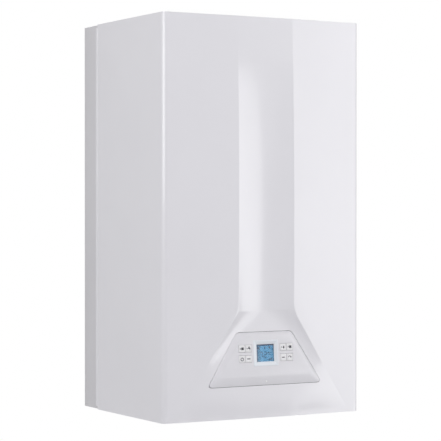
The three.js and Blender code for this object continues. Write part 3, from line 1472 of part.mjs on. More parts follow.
// A fluted hand knob on a short spindle, drawn with the end of its seat at the origin.
function knob() {
  const flutes = Array.from({ length: KNOB_FLUTES }, (_, i) => {
    const angle = (2 * Math.PI * i) / KNOB_FLUTES;
    const x = KNOB_RADIUS * Math.cos(angle);
    const z = KNOB_RADIUS * Math.sin(angle);
    return forward(KNOB_SPINDLE_RADIUS, x, z, -KNOB_LENGTH - OVERRUN, -CLEAR + OVERRUN, 6);
  });
  const head = cut(forward(KNOB_RADIUS, 0, 0, -KNOB_LENGTH, -CLEAR, 16), flutes);
  return joined([head, forward(KNOB_SPINDLE_RADIUS, 0, 0, -KNOB_LENGTH / 2, KNOB_SPINDLE_LENGTH, 16)]);
}

function buildFlowSide(group) {
  const actuatorX = BLOCK_INNER_X - ACTUATOR_WIDTH / 2;
  const actuatorY = -BLOCK_BACK - ACTUATOR_BACK - ACTUATOR_DEPTH / 2;
  const bore = SPINDLE_RADIUS + RUN_CLEAR;
  const spindleBottom = BLOCK_TOP - SPINDLE_LENGTH / 2;
  const spindleTop = BLOCK_TOP + SPINDLE_LENGTH / 2;
  const reliefBack = BLOCK_FRONT_Y - CLEAR;
  const reliefFront = reliefBack - RELIEF_LENGTH;
  const block = slab(BLOCK_WIDTH, BLOCK_FRONT_Y, -BLOCK_BACK, BLOCK_BOTTOM, BLOCK_TOP, BLOCK_X);
  const boreBottom = spindleBottom - SPINDLE_TRAVEL - CLEAR;
  const blockBore = upright(bore, actuatorX, actuatorY, boreBottom, BLOCK_TOP + OVERRUN, 16);
  piece(group, 'flow_block', block.subtract(blockBore), BRASS);

  const actuatorBottom = BLOCK_TOP + CLEAR;
  const actuator = slab(
    ACTUATOR_WIDTH,
    actuatorY - ACTUATOR_DEPTH / 2,
    actuatorY + ACTUATOR_DEPTH / 2,
    actuatorBottom,
    actuatorBottom + ACTUATOR_HEIGHT,
    actuatorX,
  );
  const actuatorBore = upright(bore, actuatorX, actuatorY, actuatorBottom - OVERRUN, spindleTop + CLEAR, 16);
  piece(group, 'diverter_motor', actuator.subtract(actuatorBore), BLACK_PLASTIC);

  const spindle = upright(SPINDLE_RADIUS, 0, 0, spindleBottom, spindleTop, 16);
  piece(group, 'diverter_spindle', spindle, STAINLESS).position.set(actuatorX, actuatorY, 0);

  const relief = forward(RELIEF_RADIUS, BLOCK_X, BLOCK_MID, reliefFront, reliefBack).subtract(forward(
    KNOB_SPINDLE_RADIUS + RUN_CLEAR,
    BLOCK_X,
    BLOCK_MID,
    reliefFront - OVERRUN,
    reliefFront + KNOB_SPINDLE_LENGTH + CLEAR,
    16,
  ));
  piece(group, 'safety_valve', relief, BRASS);
  piece(group, 'safety_valve_knob', knob(), RED_PLASTIC).position.set(BLOCK_X, reliefFront, BLOCK_MID);

  const stackBack = BLOCK_Y + (STACK_PLATES * STACK_PITCH) / 2;
  const plates = Array.from({ length: STACK_PLATES }, (_, i) => {
    const inset = i % 2 === 0 ? 0 : STACK_RIM;
    return slab(
      STACK_WIDTH - 2 * inset,
      stackBack - (i + 1) * STACK_PITCH,
      stackBack - i * STACK_PITCH,
      STACK_BOTTOM + inset,
      STACK_BOTTOM + STACK_HEIGHT - inset,
    );
  });
  piece(group, 'plate_heat_exchanger', joined(plates), STAINLESS);

  const stubEnd = FIREBOX_HALF + EXCHANGER_STUB_LENGTH + CLEAR;
  const flow = pipe([
    [-stubEnd, PIPE_Y, EXCHANGER_MID],
    [-PIPE_X, PIPE_Y, EXCHANGER_MID],
    [-PIPE_X, PIPE_Y, BLOCK_TOP + CLEAR],
  ], PIPE_RADIUS, PIPE_BEND, 12);
  piece(group, 'flow_pipe', flow, COPPER);
  const back = pipe([
    [stubEnd, PIPE_Y, EXCHANGER_MID],
    [PIPE_X, PIPE_Y, EXCHANGER_MID],
    [PIPE_X, PIPE_Y, BOSS_TOP + CLEAR],
  ], PIPE_RADIUS, PIPE_BEND, 12);
  piece(group, 'return_pipe', back, COPPER);
}

function buildPump(group) {
  const returnX = tailPlaces()[4];
  const ventX = PUMP_X - VENT_OFFSET;
  const stemTop = PUMP_Z + PUMP_RADIUS + BOSS_DROP;
  const outside = joined([
    forward(PUMP_RADIUS, PUMP_X, PUMP_Z, PUMP_FRONT_Y, PUMP_BACK_Y, 24),
    upright(BOSS_RADIUS, PIPE_X, PIPE_Y, PUMP_Z, BOSS_TOP),
    upright(BOSS_RADIUS, returnX, BLOCK_Y, PUMP_FOOT, PUMP_Z),
    upright(VENT_STEM_RADIUS, ventX, BLOCK_Y, PUMP_Z, stemTop, 16),
    box(STACK_WIDTH / 2 + CLEAR, PUMP_X, PUMP_FRONT_Y, PUMP_BACK_Y, BLOCK_BOTTOM, BLOCK_TOP),
  ]);
  const cavityRadius = PUMP_RADIUS - PUMP_WALL;
  const cavityBack = PUMP_BACK_Y - PUMP_WALL;
  const cavity = forward(cavityRadius, PUMP_X, PUMP_Z, PUMP_FRONT_Y - OVERRUN, cavityBack, 24);
  piece(group, 'pump_housing', outside.subtract(cavity), BRASS);

  const motorBack = PUMP_FRONT_Y - CLEAR;
  const shaftFront = motorBack - PUMP_MOTOR_LENGTH / 2;
  const motor = joined([
    forward(PUMP_MOTOR_RADIUS, PUMP_X, PUMP_Z, motorBack - PUMP_MOTOR_LENGTH, motorBack),
    slab(
      PUMP_MOTOR_RADIUS,
      motorBack - PUMP_MOTOR_LENGTH + BOX_WALL,
      motorBack - PUMP_MOTOR_LENGTH / 2,
      PUMP_Z,
      PUMP_Z + PUMP_MOTOR_RADIUS + BOSS_DROP,
      PUMP_X,
    ),
  ]);
  const bore = forward(
    ROTOR_SHAFT_RADIUS + RUN_CLEAR,
    PUMP_X,
    PUMP_Z,
    shaftFront - CLEAR,
    motorBack + OVERRUN,
    16,
  );
  piece(group, 'pump_motor', motor.subtract(bore), GREY_PLASTIC);

  const discFront = PUMP_FRONT_Y + PUMP_WALL;
  const vanes = Array.from({ length: ROTOR_VANES }, (_, i) => box(
    ROTOR_SHAFT_RADIUS - OVERRUN,
    ROTOR_RADIUS - OVERRUN,
    discFront + OVERRUN,
    discFront + PUMP_DEPTH / 2,
    -1,
    1,
  ).rotate([0, (360 * i) / ROTOR_VANES, 0]));
  const rotor = joined([
    forward(ROTOR_RADIUS, 0, 0, discFront, discFront + PUMP_WALL / 2),
    forward(ROTOR_SHAFT_RADIUS, 0, 0, shaftFront, discFront + PUMP_DEPTH / 2, 16),
    ...vanes,
  ]);
  piece(group, 'pump_rotor', rotor, BLACK_PLASTIC).position.set(PUMP_X, 0, PUMP_Z);

  const ventBottom = stemTop + CLEAR;
  const vent = turned([
    [0, ventBottom],
    [VENT_RADIUS, ventBottom],
    [VENT_RADIUS, ventBottom + VENT_HEIGHT - VENT_RADIUS],
    [VENT_RADIUS / 2, ventBottom + VENT_HEIGHT - VENT_RADIUS / 2],
    [VENT_RADIUS / 2, ventBottom + VENT_HEIGHT],
    [0, ventBottom + VENT_HEIGHT],
  ], ventX, BLOCK_Y, 20);
  piece(group, 'air_vent', vent, BRASS);
}

function buildGas(group) {
  const valveFront = -VALVE_BACK - VALVE_DEPTH;
  const coils = [-1, 1].map((side) => upright(
    COIL_RADIUS,
    (side * COIL_SPACING) / 2,
    -VALVE_BACK - COIL_BACK,
    VALVE_TOP - OVERRUN,
    VALVE_TOP + COIL_HEIGHT,
  ));
  const regulator = forward(
    COIL_RADIUS,
    0,
    (VALVE_BOTTOM + VALVE_TOP) / 2,
    valveFront - COIL_RADIUS / 2,
    valveFront + OVERRUN,
  );
  const body = slab(VALVE_WIDTH, valveFront, -VALVE_BACK, VALVE_BOTTOM, VALVE_TOP);
  piece(group, 'gas_valve', joined([body, ...coils, regulator]), ALUMINIUM);

  const outletY = -VALVE_BACK - OUTLET_BACK;
  const gasPipe = pipe([
    [0, outletY, VALVE_TOP + CLEAR],
    [0, outletY, VALVE_TOP + GAS_PIPE_UP],
    [0, MANIFOLD_Y, VALVE_TOP + GAS_PIPE_UP],
    [0, MANIFOLD_Y, MANIFOLD_Z - MANIFOLD_BAR / 2 - CLEAR],
  ], GAS_PIPE_RADIUS, PIPE_BEND, 12);
  piece(group, 'gas_pipe', gasPipe, BRASS);
}

function buildVessel(group) {
  const bulge = VESSEL_THICKNESS / 2 - VESSEL_RIM;
  const shell = turned([
    [0, 0],
    [VESSEL_RADIUS - bulge - VESSEL_RIM, 0],
    [VESSEL_RADIUS - VESSEL_RIM, bulge],
    [VESSEL_RADIUS, bulge + VESSEL_RIM / 2],
    [VESSEL_RADIUS, VESSEL_THICKNESS - bulge - VESSEL_RIM / 2],
    [VESSEL_RADIUS - VESSEL_RIM, VESSEL_THICKNESS - bulge],
    [VESSEL_RADIUS - bulge - VESSEL_RIM, VESSEL_THICKNESS],
    [0, VESSEL_THICKNESS],
  ], 0, 0, 32).rotate([90, 0, 0]).translate([0, BACK_PANEL, VESSEL_HEIGHT]);
  const portY = BACK_PANEL - VESSEL_THICKNESS / 2;
  const portBottom = VESSEL_HEIGHT - VESSEL_RADIUS - VESSEL_PORT_LENGTH;
  const portTop = VESSEL_HEIGHT - VESSEL_RADIUS + VESSEL_RIM;
  const port = upright(VESSEL_PORT_RADIUS, 0, portY, portBottom, portTop, 16);
  piece(group, 'expansion_vessel', shell.add(port), VESSEL_RED);

  const turnZ = portBottom - CAPILLARY_DROP;
  const line = pipe([
    [0, portY, portBottom - CLEAR],
    [0, portY, turnZ],
    [PUMP_X, portY, turnZ],
    [PUMP_X, portY, PUMP_Z],
    [PUMP_X, PUMP_BACK_Y + CLEAR, PUMP_Z],
  ], CAPILLARY_RADIUS, PIPE_BEND, 8);
  piece(group, 'expansion_pipe', line, COPPER);
}

// ---------------------------------------------------------------------------------------------
// The whole boiler
// ---------------------------------------------------------------------------------------------

const pieces = new THREE.Group();
pieces.position.z = -CASE_HEIGHT / 2;
buildCasing(pieces);
buildFrame(pieces);
buildCradle(pieces);
buildControl(pieces);
buildChamber(pieces);
buildFirebox(pieces);
buildFan(pieces);
buildPressureSwitch(pieces);
buildVessel(pieces);
buildTails(pieces);
buildFlowSide(pieces);
buildPump(pieces);
buildGas(pieces);

const boiler = new THREE.Group();
boiler.add(pieces);

export default boiler;
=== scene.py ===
"""Looks of a wall-hung combi boiler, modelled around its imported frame.

Sizes are in millimetres, measured from the middle of the bottom edge of the casing: X to the right,
Y towards the wall, Z up, with the wall at y = 0. A finished piece is brought into metres, with the
origin at the middle of the chassis, by `Shape.settle`.
"""

from __future__ import annotations

import json
import logging
import math
from dataclasses import dataclass, field
from enum import Enum
from typing import Callable, Iterable, Sequence

import bpy
from mathutils import Matrix, Vector

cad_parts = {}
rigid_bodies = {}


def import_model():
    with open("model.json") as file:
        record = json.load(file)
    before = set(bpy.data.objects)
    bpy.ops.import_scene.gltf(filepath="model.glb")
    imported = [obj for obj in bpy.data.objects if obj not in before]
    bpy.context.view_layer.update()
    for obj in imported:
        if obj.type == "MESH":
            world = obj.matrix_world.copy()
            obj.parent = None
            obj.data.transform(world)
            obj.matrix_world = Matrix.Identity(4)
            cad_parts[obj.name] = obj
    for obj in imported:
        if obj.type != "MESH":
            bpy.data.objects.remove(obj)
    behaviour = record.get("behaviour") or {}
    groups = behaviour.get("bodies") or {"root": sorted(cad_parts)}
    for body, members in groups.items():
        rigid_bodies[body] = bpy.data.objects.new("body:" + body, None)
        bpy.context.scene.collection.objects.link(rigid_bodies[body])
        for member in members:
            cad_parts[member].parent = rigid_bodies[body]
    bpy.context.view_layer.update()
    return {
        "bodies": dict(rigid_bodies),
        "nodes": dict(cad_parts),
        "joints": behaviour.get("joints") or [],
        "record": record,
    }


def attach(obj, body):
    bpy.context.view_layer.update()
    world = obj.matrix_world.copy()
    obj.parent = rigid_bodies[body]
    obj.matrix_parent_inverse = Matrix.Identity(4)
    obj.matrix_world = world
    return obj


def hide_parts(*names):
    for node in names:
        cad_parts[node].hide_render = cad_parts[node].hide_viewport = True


LOG = logging.getLogger("boiler")

MILLIMETRE = 0.001
CASE_WIDTH = 400.0
CASE_DEPTH = 320.0
CASE_HEIGHT = 700.0
HALF_WIDTH = CASE_WIDTH / 2
CLEAR = 0.3
SAME_LEVEL = 1e-4
SIDES = ((-1, "left"), (1, "right"))
SAFETY_VALVE = (-113.3, 102.0)

Point = tuple[float, float, float]
Span = tuple[float, float]
Colour = tuple[float, float, float]
Place = tuple[float, float]
Outline = list[Place]
Test = Callable[[bpy.types.MeshPolygon], bool]


# ----------------------------------------------------------------------------------------------
# Workshop: shaping a mesh
# ----------------------------------------------------------------------------------------------


class Axis(Enum):
    """A direction that a turned or drawn form runs along."""

    X = Vector((1, 0, 0))
    Y = Vector((0, 1, 0))
    Z = Vector((0, 0, 1))


def pick(*objects: bpy.types.Object) -> None:
    """Selects only these objects, the first of them active.

    Args:
        objects: what the next operators act on.
    """
    if bpy.context.object and bpy.context.object.mode != "OBJECT":
        bpy.ops.object.mode_set(mode="OBJECT")
    bpy.ops.object.select_all(action="DESELECT")
    for item in objects:
        item.select_set(True)
    bpy.context.view_layer.objects.active = objects[0]


def facing(axis: Axis, sign: float, limit: float = 0.9) -> Test:
    """Makes a test for faces that look along an axis.

    Args:
        axis: the axis.
        sign: +1 or -1.
        limit: the least cosine that counts.

    Returns:
        A test that takes a face.
    """
    return lambda face: face.normal.dot(axis.value) * sign > limit


def spots(x: float, y: float, radius: float, count: int, start: float = 0.0) -> list[Place]:
    """Spreads places evenly round a circle.

    Args:
        x: the circle's middle across.
        y: the circle's middle on the other axis.
        radius: the circle's radius.
        count: how many places.
        start: the first place's angle in degrees.

    Returns:
        The two coordinates of each place.
    """
    turns = [math.radians(start + 360 * i / count) for i in range(count)]
    return [(x + radius * math.cos(t), y + radius * math.sin(t)) for t in turns]


def round_outline(x: Span, y: Span, radius: float, steps: int = 8) -> Outline:
    """Gives a rectangle's outline with rounded corners.

    Args:
        x: its two sides.
        y: its two ends on the other axis.
        radius: the corners' radius.
        steps: how many facets each corner has.

    Returns:
        The outline's points.
    """
    points = []
    for i, (cx, cy) in enumerate(((x[1], y[1]), (x[0], y[1]), (x[0], y[0]), (x[1], y[0]))):
        mx = cx - radius if cx == x[1] else cx + radius
        my = cy - radius if cy == y[1] else cy + radius
        for k in range(steps + 1):
            turn = math.pi / 2 * (i + k / steps)
            points.append((mx + radius * math.cos(turn), my + radius * math.sin(turn)))
    return points


class Shape:
    """A mesh in the making."""

    def __init__(self, obj: bpy.types.Object) -> None:
        """Wraps an object whose place is already in its mesh."""
        self.obj = obj

    # -- starts ------------------------------------------------------------------------------

    @staticmethod
    def added(name: str) -> Shape:
        """Takes over the object that an add operator has just made.

        Args:
            name: the name that the object gets.

        Returns:
            The shape, its place already in its mesh.
        """
        obj = bpy.context.object
        obj.name = name
        bpy.ops.object.transform_apply(location=True, rotation=True, scale=True)
        return Shape(obj)

    @staticmethod
    def box(name: str, x: Span, y: Span, z: Span) -> Shape:
        """Adds a block between two corners.

        Args:
            name: the object's name.
            x: its two sides across.
            y: its front and back.
            z: its bottom and top.

        Returns:
            The block.
        """
        middle = [(low + high) / 2 for low, high in (x, y, z)]
        size = [high - low for low, high in (x, y, z)]
        bpy.ops.object.select_all(action="DESELECT")
        bpy.ops.mesh.primitive_cube_add(size=1, location=middle, scale=size)
        return Shape.added(name)

    @staticmethod
    def rod(name: str, radius: float, start: Point, end: Point, sides: int = 48) -> Shape:
        """Adds a round bar from one point to another.

        Args:
            name: the object's name.
            radius: the bar's radius.
            start: the middle of one end.
            end: the middle of the other end.
            sides: how many facets it has round it.

        Returns:
            The bar.
        """
        a, b = Vector(start), Vector(end)
        bpy.ops.object.select_all(action="DESELECT")
        bpy.ops.mesh.primitive_cylinder_add(
            vertices=sides,
            radius=radius,
            depth=(b - a).length,
            location=(a + b) / 2,
            rotation=(b - a).to_track_quat("Z", "Y").to_euler(),
        )
        return Shape.added(name)

    @staticmethod
    def drawn(name: str, points: Sequence[Point], faces: Sequence[Sequence[int]] = (),
              edges: Sequence[Sequence[int]] = ()) -> Shape:
        """Makes a mesh from points that are joined by faces or edges.

        Args:
            name: the object's name.
            points: the corners.
            faces: the corners of each face, by number.
            edges: the corners of each loose edge, by number.

        Returns:
            The mesh.
        """
        mesh = bpy.data.meshes.new(name)
        mesh.from_pydata([tuple(p) for p in points], [tuple(e) for e in edges],
                         [tuple(f) for f in faces])
        obj = bpy.data.objects.new(name, mesh)
        bpy.context.scene.collection.objects.link(obj)
        return Shape(obj)

    @staticmethod
    def lathe(name: str, profile: Sequence[Place], centre: Point,
              axis: Axis = Axis.Z, steps: int = 64) -> Shape:
        """Spins a profile of (radius, distance along the axis) about an axis through a point.

        Args:
            name: the object's name.
            profile: the (radius, distance) pairs, in order.
            centre: a point on the axis, from which the distances count.
            axis: the axis of the spin.
            steps: how many facets it has round it.

        Returns:
            The turned form.
        """
        side = Axis.Z.value if axis is Axis.X else Axis.X.value
        points = [Vector(centre) + side * radius + axis.value * along for radius, along in profile]
        edges = [(i, i + 1) for i in range(len(points) - 1)]
        shape = Shape.drawn(name, points, edges=edges)
        shape.edit()
        bpy.ops.mesh.select_all(action="SELECT")
        bpy.ops.mesh.spin(steps=steps, angle=2 * math.pi, center=centre, axis=axis.value)
        return shape.cleaned()

    @staticmethod
    def tube(name: str, points: Sequence[Point], radius: float, bend: float, sides: int = 8) -> Shape:
        """Lays a round pipe along straight runs joined by bends of one radius.

        Args:
            name: the object's name.
            points: the corners of the run, with its two ends.
            radius: the pipe's outer radius.
            bend: how far from each corner its bend starts.
            sides: the roundness, as the curve's bevel resolution.

        Returns:
            The pipe as a closed mesh.
        """
        corners = [Vector(p) for p in points]
        path = [corners[0]]
        for before, here, after in zip(corners, corners[1:], corners[2:]):
            first = here + (before - here).normalized() * bend
            last = here + (after - here).normalized() * bend
            path += [first.lerp(here, t).lerp(here.lerp(last, t), t)
                     for t in (i / 10 for i in range(11))]
        path.append(corners[-1])
        curve = bpy.data.curves.new(name, "CURVE")
        curve.dimensions = "3D"
        curve.bevel_depth = radius
        curve.bevel_resolution = sides
        curve.use_fill_caps = True
        spline = curve.splines.new("POLY")
        spline.points.add(len(path) - 1)
        for spot, place in zip(spline.points, path):
            spot.co = (*place, 1)
        obj = bpy.data.objects.new(name, curve)
        bpy.context.scene.collection.objects.link(obj)
        pick(obj)
        bpy.ops.object.convert(target="MESH")
        return Shape(bpy.context.object).cleaned()

    @staticmethod
    def slab(name: str, outline: Sequence[Place], span: Span, axis: Axis = Axis.Z) -> Shape:
        """Draws an outline along an axis.

        Args:
            name: the object's name.
            outline: (x, y) points for Z, (x, z) for Y and (y, z) for X.
            span: where the drawn form starts and ends on the axis.
            axis: the axis that it is drawn along.

        Returns:
            The closed solid.
        """
        place = {
            Axis.X: lambda a, b: (span[0], a, b),
            Axis.Y: lambda a, b: (a, span[0], b),
            Axis.Z: lambda a, b: (a, b, span[0]),
        }[axis]
        points = [place(a, b) for a, b in outline]
        shape = Shape.drawn(name, points, faces=[range(len(points))])
        shape.edit()
        bpy.ops.mesh.select_all(action="SELECT")
        move = axis.value * (span[1] - span[0])
        bpy.ops.mesh.extrude_region_move(TRANSFORM_OT_translate={"value": move})
        return shape.cleaned()

    @staticmethod
    def tile(name: str, x: Span, up: Span, radius: float, span: Span, axis: Axis = Axis.Y) -> Shape:
        """Draws a rectangle with rounded corners along an axis.

        Args:
            name: the object's name.
            x: its two sides.
            up: its two ends on the other axis.
            radius: the corners' radius.
            span: where the drawn form starts and ends on the axis.
            axis: the axis that it is drawn along.

        Returns:
            The closed solid.
        """
        return Shape.slab(name, round_outline(x, up, radius), span, axis)

    # -- edit mode ---------------------------------------------------------------------------

    def edit(self) -> None:
        """Enters edit mode on this mesh alone."""
        pick(self.obj)
        bpy.ops.object.mode_set(mode="EDIT")
        bpy.ops.mesh.select_mode(type="FACE")

    def leave(self) -> Shape:
        """Leaves edit mode."""
        bpy.ops.object.mode_set(mode="OBJECT")
        return self

    def cleaned(self, distance: float = 0.001) -> Shape:
        """Merges doubled points and turns the faces outwards.

        Args:
            distance: how close two points are to count as one.

        Returns:
            This shape.
        """
        self.edit()
        bpy.ops.mesh.select_all(action="SELECT")
        bpy.ops.mesh.remove_doubles(threshold=distance)
        bpy.ops.mesh.normals_make_consistent(inside=False)
        return self.leave()

    def pick_faces(self, test: Test) -> Shape:
        """Enters edit mode with only the faces that pass a test selected.

        Args:
            test: the test that a face has to pass.

        Returns:
            This shape, in edit mode.
        """
        self.edit()
        bpy.ops.mesh.select_all(action="DESELECT")
        bpy.ops.object.mode_set(mode="OBJECT")
        for face in self.obj.data.polygons:
            face.select = bool(test(face))
        bpy.ops.object.mode_set(mode="EDIT")
        return self

    def pick_edges(self, test: Callable[[Vector, Vector], bool]) -> Shape:
        """Enters edit mode with only the edges whose two ends pass a test selected.

        Args:
            test: the test that takes an edge's two ends.

        Returns:
            This shape, in edit mode.
        """
        self.edit()
        bpy.ops.mesh.select_mode(type="EDGE")
        bpy.ops.mesh.select_all(action="DESELECT")
        bpy.ops.object.mode_set(mode="OBJECT")
        points = self.obj.data.vertices
        for edge in self.obj.data.edges:
            a, b = (points[i].co for i in edge.vertices)
            edge.select = bool(test(a, b))
        bpy.ops.object.mode_set(mode="EDIT")
        return self

    def inset(self, test: Test, width: float, depth: float = 0.0) -> Shape:
        """Insets the faces that pass a test, and sinks (-) or raises (+) what lies inside.

        Args:
            test: the test that a face has to pass.
            width: the width of the rim that is left.
            depth: how far the middle rises, or sinks if negative.

        Returns:
            This shape.
        """
        self.pick_faces(test)
        bpy.ops.mesh.inset(thickness=width, depth=depth)
        return self.leave()

    def bevel_edges(self, test: Callable[[Vector, Vector], bool], width: float,
                    segments: int = 4) -> Shape:
        """Rounds the edges whose ends pass a test.

        Args:
            test: the test that takes an edge's two ends.
            width: the width of the rounding.
            segments: how many facets the rounding has.

        Returns:
            This shape.
        """
        self.pick_edges(test)
        bpy.ops.mesh.bevel(offset=width, segments=segments, profile=0.5, affect="EDGES")
        return self.leave()

    # -- modifiers ---------------------------------------------------------------------------

    def modified(self, kind: str, **settings: object) -> Shape:
        """Adds a modifier with these settings and applies it.

        Args:
            kind: the modifier's type.
            **settings: its attributes.

        Returns:
            This shape.
        """
        pick(self.obj)
        modifier = self.obj.modifiers.new(kind.title(), kind)
        for key, value in settings.items():
            setattr(modifier, key, value)
        bpy.ops.object.modifier_apply(modifier=modifier.name)
        return self

    def rounded(self, width: float, segments: int = 3, angle: float = 32.0) -> Shape:
        """Rounds every edge sharper than an angle in degrees.

        Args:
            width: the width of the rounding.
            segments: how many facets the rounding has.
            angle: the least angle that is rounded, in degrees.

        Returns:
            This shape.
        """
        return self.modified(
            "BEVEL",
            width=width,
            segments=segments,
            limit_method="ANGLE",
            angle_limit=math.radians(angle),
            harden_normals=False,
        )

    def combined(self, operation: str, *others: Shape) -> Shape:
        """Combines this shape with others by an exact boolean.

        Args:
            operation: DIFFERENCE, UNION or INTERSECT.
            *others: the other shapes, which are used up.

        Returns:
            This shape.
        """
        for other in others:
            self.modified("BOOLEAN", operation=operation, solver="EXACT", object=other.obj)
            other.discard()
        return self

    def cut(self, *tools: Shape) -> Shape:
        """Takes other shapes away from this one."""
        return self.combined("DIFFERENCE", *tools)

    def fused(self, *others: Shape) -> Shape:
        """Unites other shapes with this one."""
        return self.combined("UNION", *others)

    def joined(self, *others: Shape) -> Shape:
        """Takes other shapes into this mesh as they are.

        Args:
            *others: the shapes to take in, which are used up.

        Returns:
            This shape.
        """
        pick(self.obj, *(other.obj for other in others))
        bpy.ops.object.join()
        return self

    def discard(self) -> None:
        """Deletes this shape."""
        bpy.data.objects.remove(self.obj)

    # -- moves -------------------------------------------------------------------------------

    def copy(self, name: str) -> Shape:
        """Copies this shape with a mesh of its own.

        Args:
            name: the copy's name.

        Returns:
            The copy.
        """
        twin = self.obj.copy()
        twin.data = self.obj.data.copy()
        twin.name = name
        bpy.context.scene.collection.objects.link(twin)
        return Shape(twin)

    def moved(self, x: float = 0.0, y: float = 0.0, z: float = 0.0) -> Shape:
        """Moves this shape."""
        self.obj.data.transform(Matrix.Translation((x, y, z)))
        return self

    def turned(self, degrees: float, axis: Axis, centre: Point = (0, 0, 0)) -> Shape:
        """Turns this shape about an axis through a point.

        Args:
            degrees: the angle.
            axis: the axis's direction.
            centre: a point on the axis.

        Returns:
            This shape.
        """
        spin = Matrix.Rotation(math.radians(degrees), 4, axis.value)
        self.obj.data.transform(Matrix.Translation(centre) @ spin @ Matrix.Translation(-Vector(centre)))
        return self

    def row_of(self, places: Iterable[Point]) -> Shape:
        """Repeats this shape at each move in turn, as one mesh without the first one.

        Args:
            places: the move of each copy.

        Returns:
            All the copies as one shape.
        """
        copies = [self.copy(self.obj.name).moved(*place) for place in places]
        self.discard()
        return together(copies)

    # -- end ---------------------------------------------------------------------------------

    def settle(self, name: str, body: str, material: bpy.types.Material,
               replaces: Sequence[str] = (), smooth: float = 38.0) -> bpy.types.Object:
        """Finishes a piece: brings it into metres and gives it its finish and its body.

        Args:
            name: the piece's name.
            body: the body that it moves with.
            material: its material.
            replaces: the frame nodes that it stands for.
            smooth: the sharpest angle that is shaded smooth, in degrees.

        Returns:
            The finished object.
        """
        pick(self.obj)
        self.obj.name = name
        self.obj.data.name = name
        bpy.ops.object.shade_smooth_by_angle(angle=math.radians(smooth))
        place = Matrix.Translation((0, 0, -CASE_HEIGHT / 2))
        self.obj.data.transform(Matrix.Scale(MILLIMETRE, 4) @ place)
        self.obj.data.materials.clear()
        self.obj.data.materials.append(material)
        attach(self.obj, body)
        if replaces:
            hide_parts(*replaces)
        faces = len(self.obj.data.polygons)
        LOG.log(logging.INFO if faces > 5 else logging.ERROR, "%s rides on %s, %d faces", name, body,
                faces)
        return self.obj


def together(shapes: Iterable[Shape]) -> Shape:
    """Joins several shapes into the first of them."""
    first, *rest = shapes
    return first.joined(*rest) if rest else first


# ----------------------------------------------------------------------------------------------
# Finishes
# ----------------------------------------------------------------------------------------------

Rgba = tuple[float, float, float, float]
WHITE = (1.0, 1.0, 1.0, 1.0)
DUST_TONE = (0.45, 0.42, 0.38, 1.0)
BUMP_HEIGHT = 0.0002


def linear(colour: Colour) -> Rgba:
    """Turns a colour written in screen values (0 to 1) into the shader's linear values."""
    return tuple(c / 12.92 if c <= 0.04045 else ((c + 0.055) / 1.055) ** 2.4 for c in colour) + (1.0,)


class Weave:
    """Lays and links the nodes of a material or of a node group."""

    def __init__(self, tree: bpy.types.NodeTree) -> None:
        """Starts on an empty tree."""
        self.tree = tree
        self.column = 0

    def lay(self, kind: str, settings: dict[str, object] | None = None,
            **inputs: object) -> bpy.types.Node:
        """Adds a node.

        Args:
            kind: the node's type.
            settings: its own attributes.
            **inputs: values or output sockets for its inputs, with _ for a space in their names.

        Returns:
            The new node.
        """
        node = self.tree.nodes.new(kind)
        self.column += 1
        node.location = (self.column * 180, 0)
        for key, value in (settings or {}).items():
            setattr(node, key, value)
        for key, value in inputs.items():
            self.feed(node, key.replace("_", " "), value)
        return node

    def feed(self, node: bpy.types.Node, name: str, value: object) -> None:
        """Sets an input to a value, or links an output socket to it.

        Args:
            node: the node.
            name: the input's name, or # and its number.
            value: a value or an output socket.
        """
        socket = node.inputs[int(name[1:])] if name[0] == "#" else node.inputs[name]
        if isinstance(value, bpy.types.NodeSocket):
            self.tree.links.new(value, socket)
        else:
            socket.default_value = value

    def math(self, operation: str, a: object, b: object = 0.0,
             clamp: bool = False) -> bpy.types.NodeSocket:
        """Adds a Math node and returns its value.

        Args:
            operation: the node's operation.
            a: its first value or socket.
            b: its second value or socket.
            clamp: True to keep the value between 0 and 1.

        Returns:
            The node's value.
        """
        node = self.lay("ShaderNodeMath", {"operation": operation, "use_clamp": clamp})
        self.feed(node, "#0", a)
        self.feed(node, "#1", b)
        return node.outputs[0]

    def band(self, value: bpy.types.NodeSocket, low: float, high: float, to_low: float = 0.0,
             to_high: float = 1.0) -> bpy.types.NodeSocket:
        """Maps a range of values smoothly to another.

        Args:
            value: the value that comes in.
            low: where the range starts.
            high: where it ends.
            to_low: what low becomes.
            to_high: what high becomes.

        Returns:
            The mapped value.
        """
        node = self.lay(
            "ShaderNodeMapRange",
            {"interpolation_type": "SMOOTHSTEP"},
            Value=value, From_Min=low, From_Max=high, To_Min=to_low, To_Max=to_high,
        )
        return node.outputs["Result"]

    def blend(self, factor: object, first: object, second: object) -> bpy.types.NodeSocket:
        """Mixes two colours.

        Args:
            factor: the second colour's share.
            first: the first colour.
            second: the second colour.

        Returns:
            The mixed colour.
        """
        node = self.lay("ShaderNodeMix", {"data_type": "RGBA"})
        for index, value in ((0, factor), (6, first), (7, second)):
            self.feed(node, f"#{index}", value)
        return node.outputs[2]

    def layered(self, factor: object, first: object, second: object) -> bpy.types.NodeSocket:
        """Mixes two shaders.

        Args:
            factor: the second shader's share.
            first: the first shader.
            second: the second shader.

        Returns:
            The mixed shader.
        """
        node = self.lay("ShaderNodeMixShader")
        for index, value in enumerate((factor, first, second)):
            self.feed(node, f"#{index}", value)
        return node.outputs[0]

    def place(self, stretch: Point = (1, 1, 1)) -> bpy.types.NodeSocket:
        """Gives the object coordinates, stretched."""
        source = self.lay("ShaderNodeTexCoord").outputs["Object"]
        return self.lay("ShaderNodeMapping", Vector=source, Scale=stretch).outputs["Vector"]


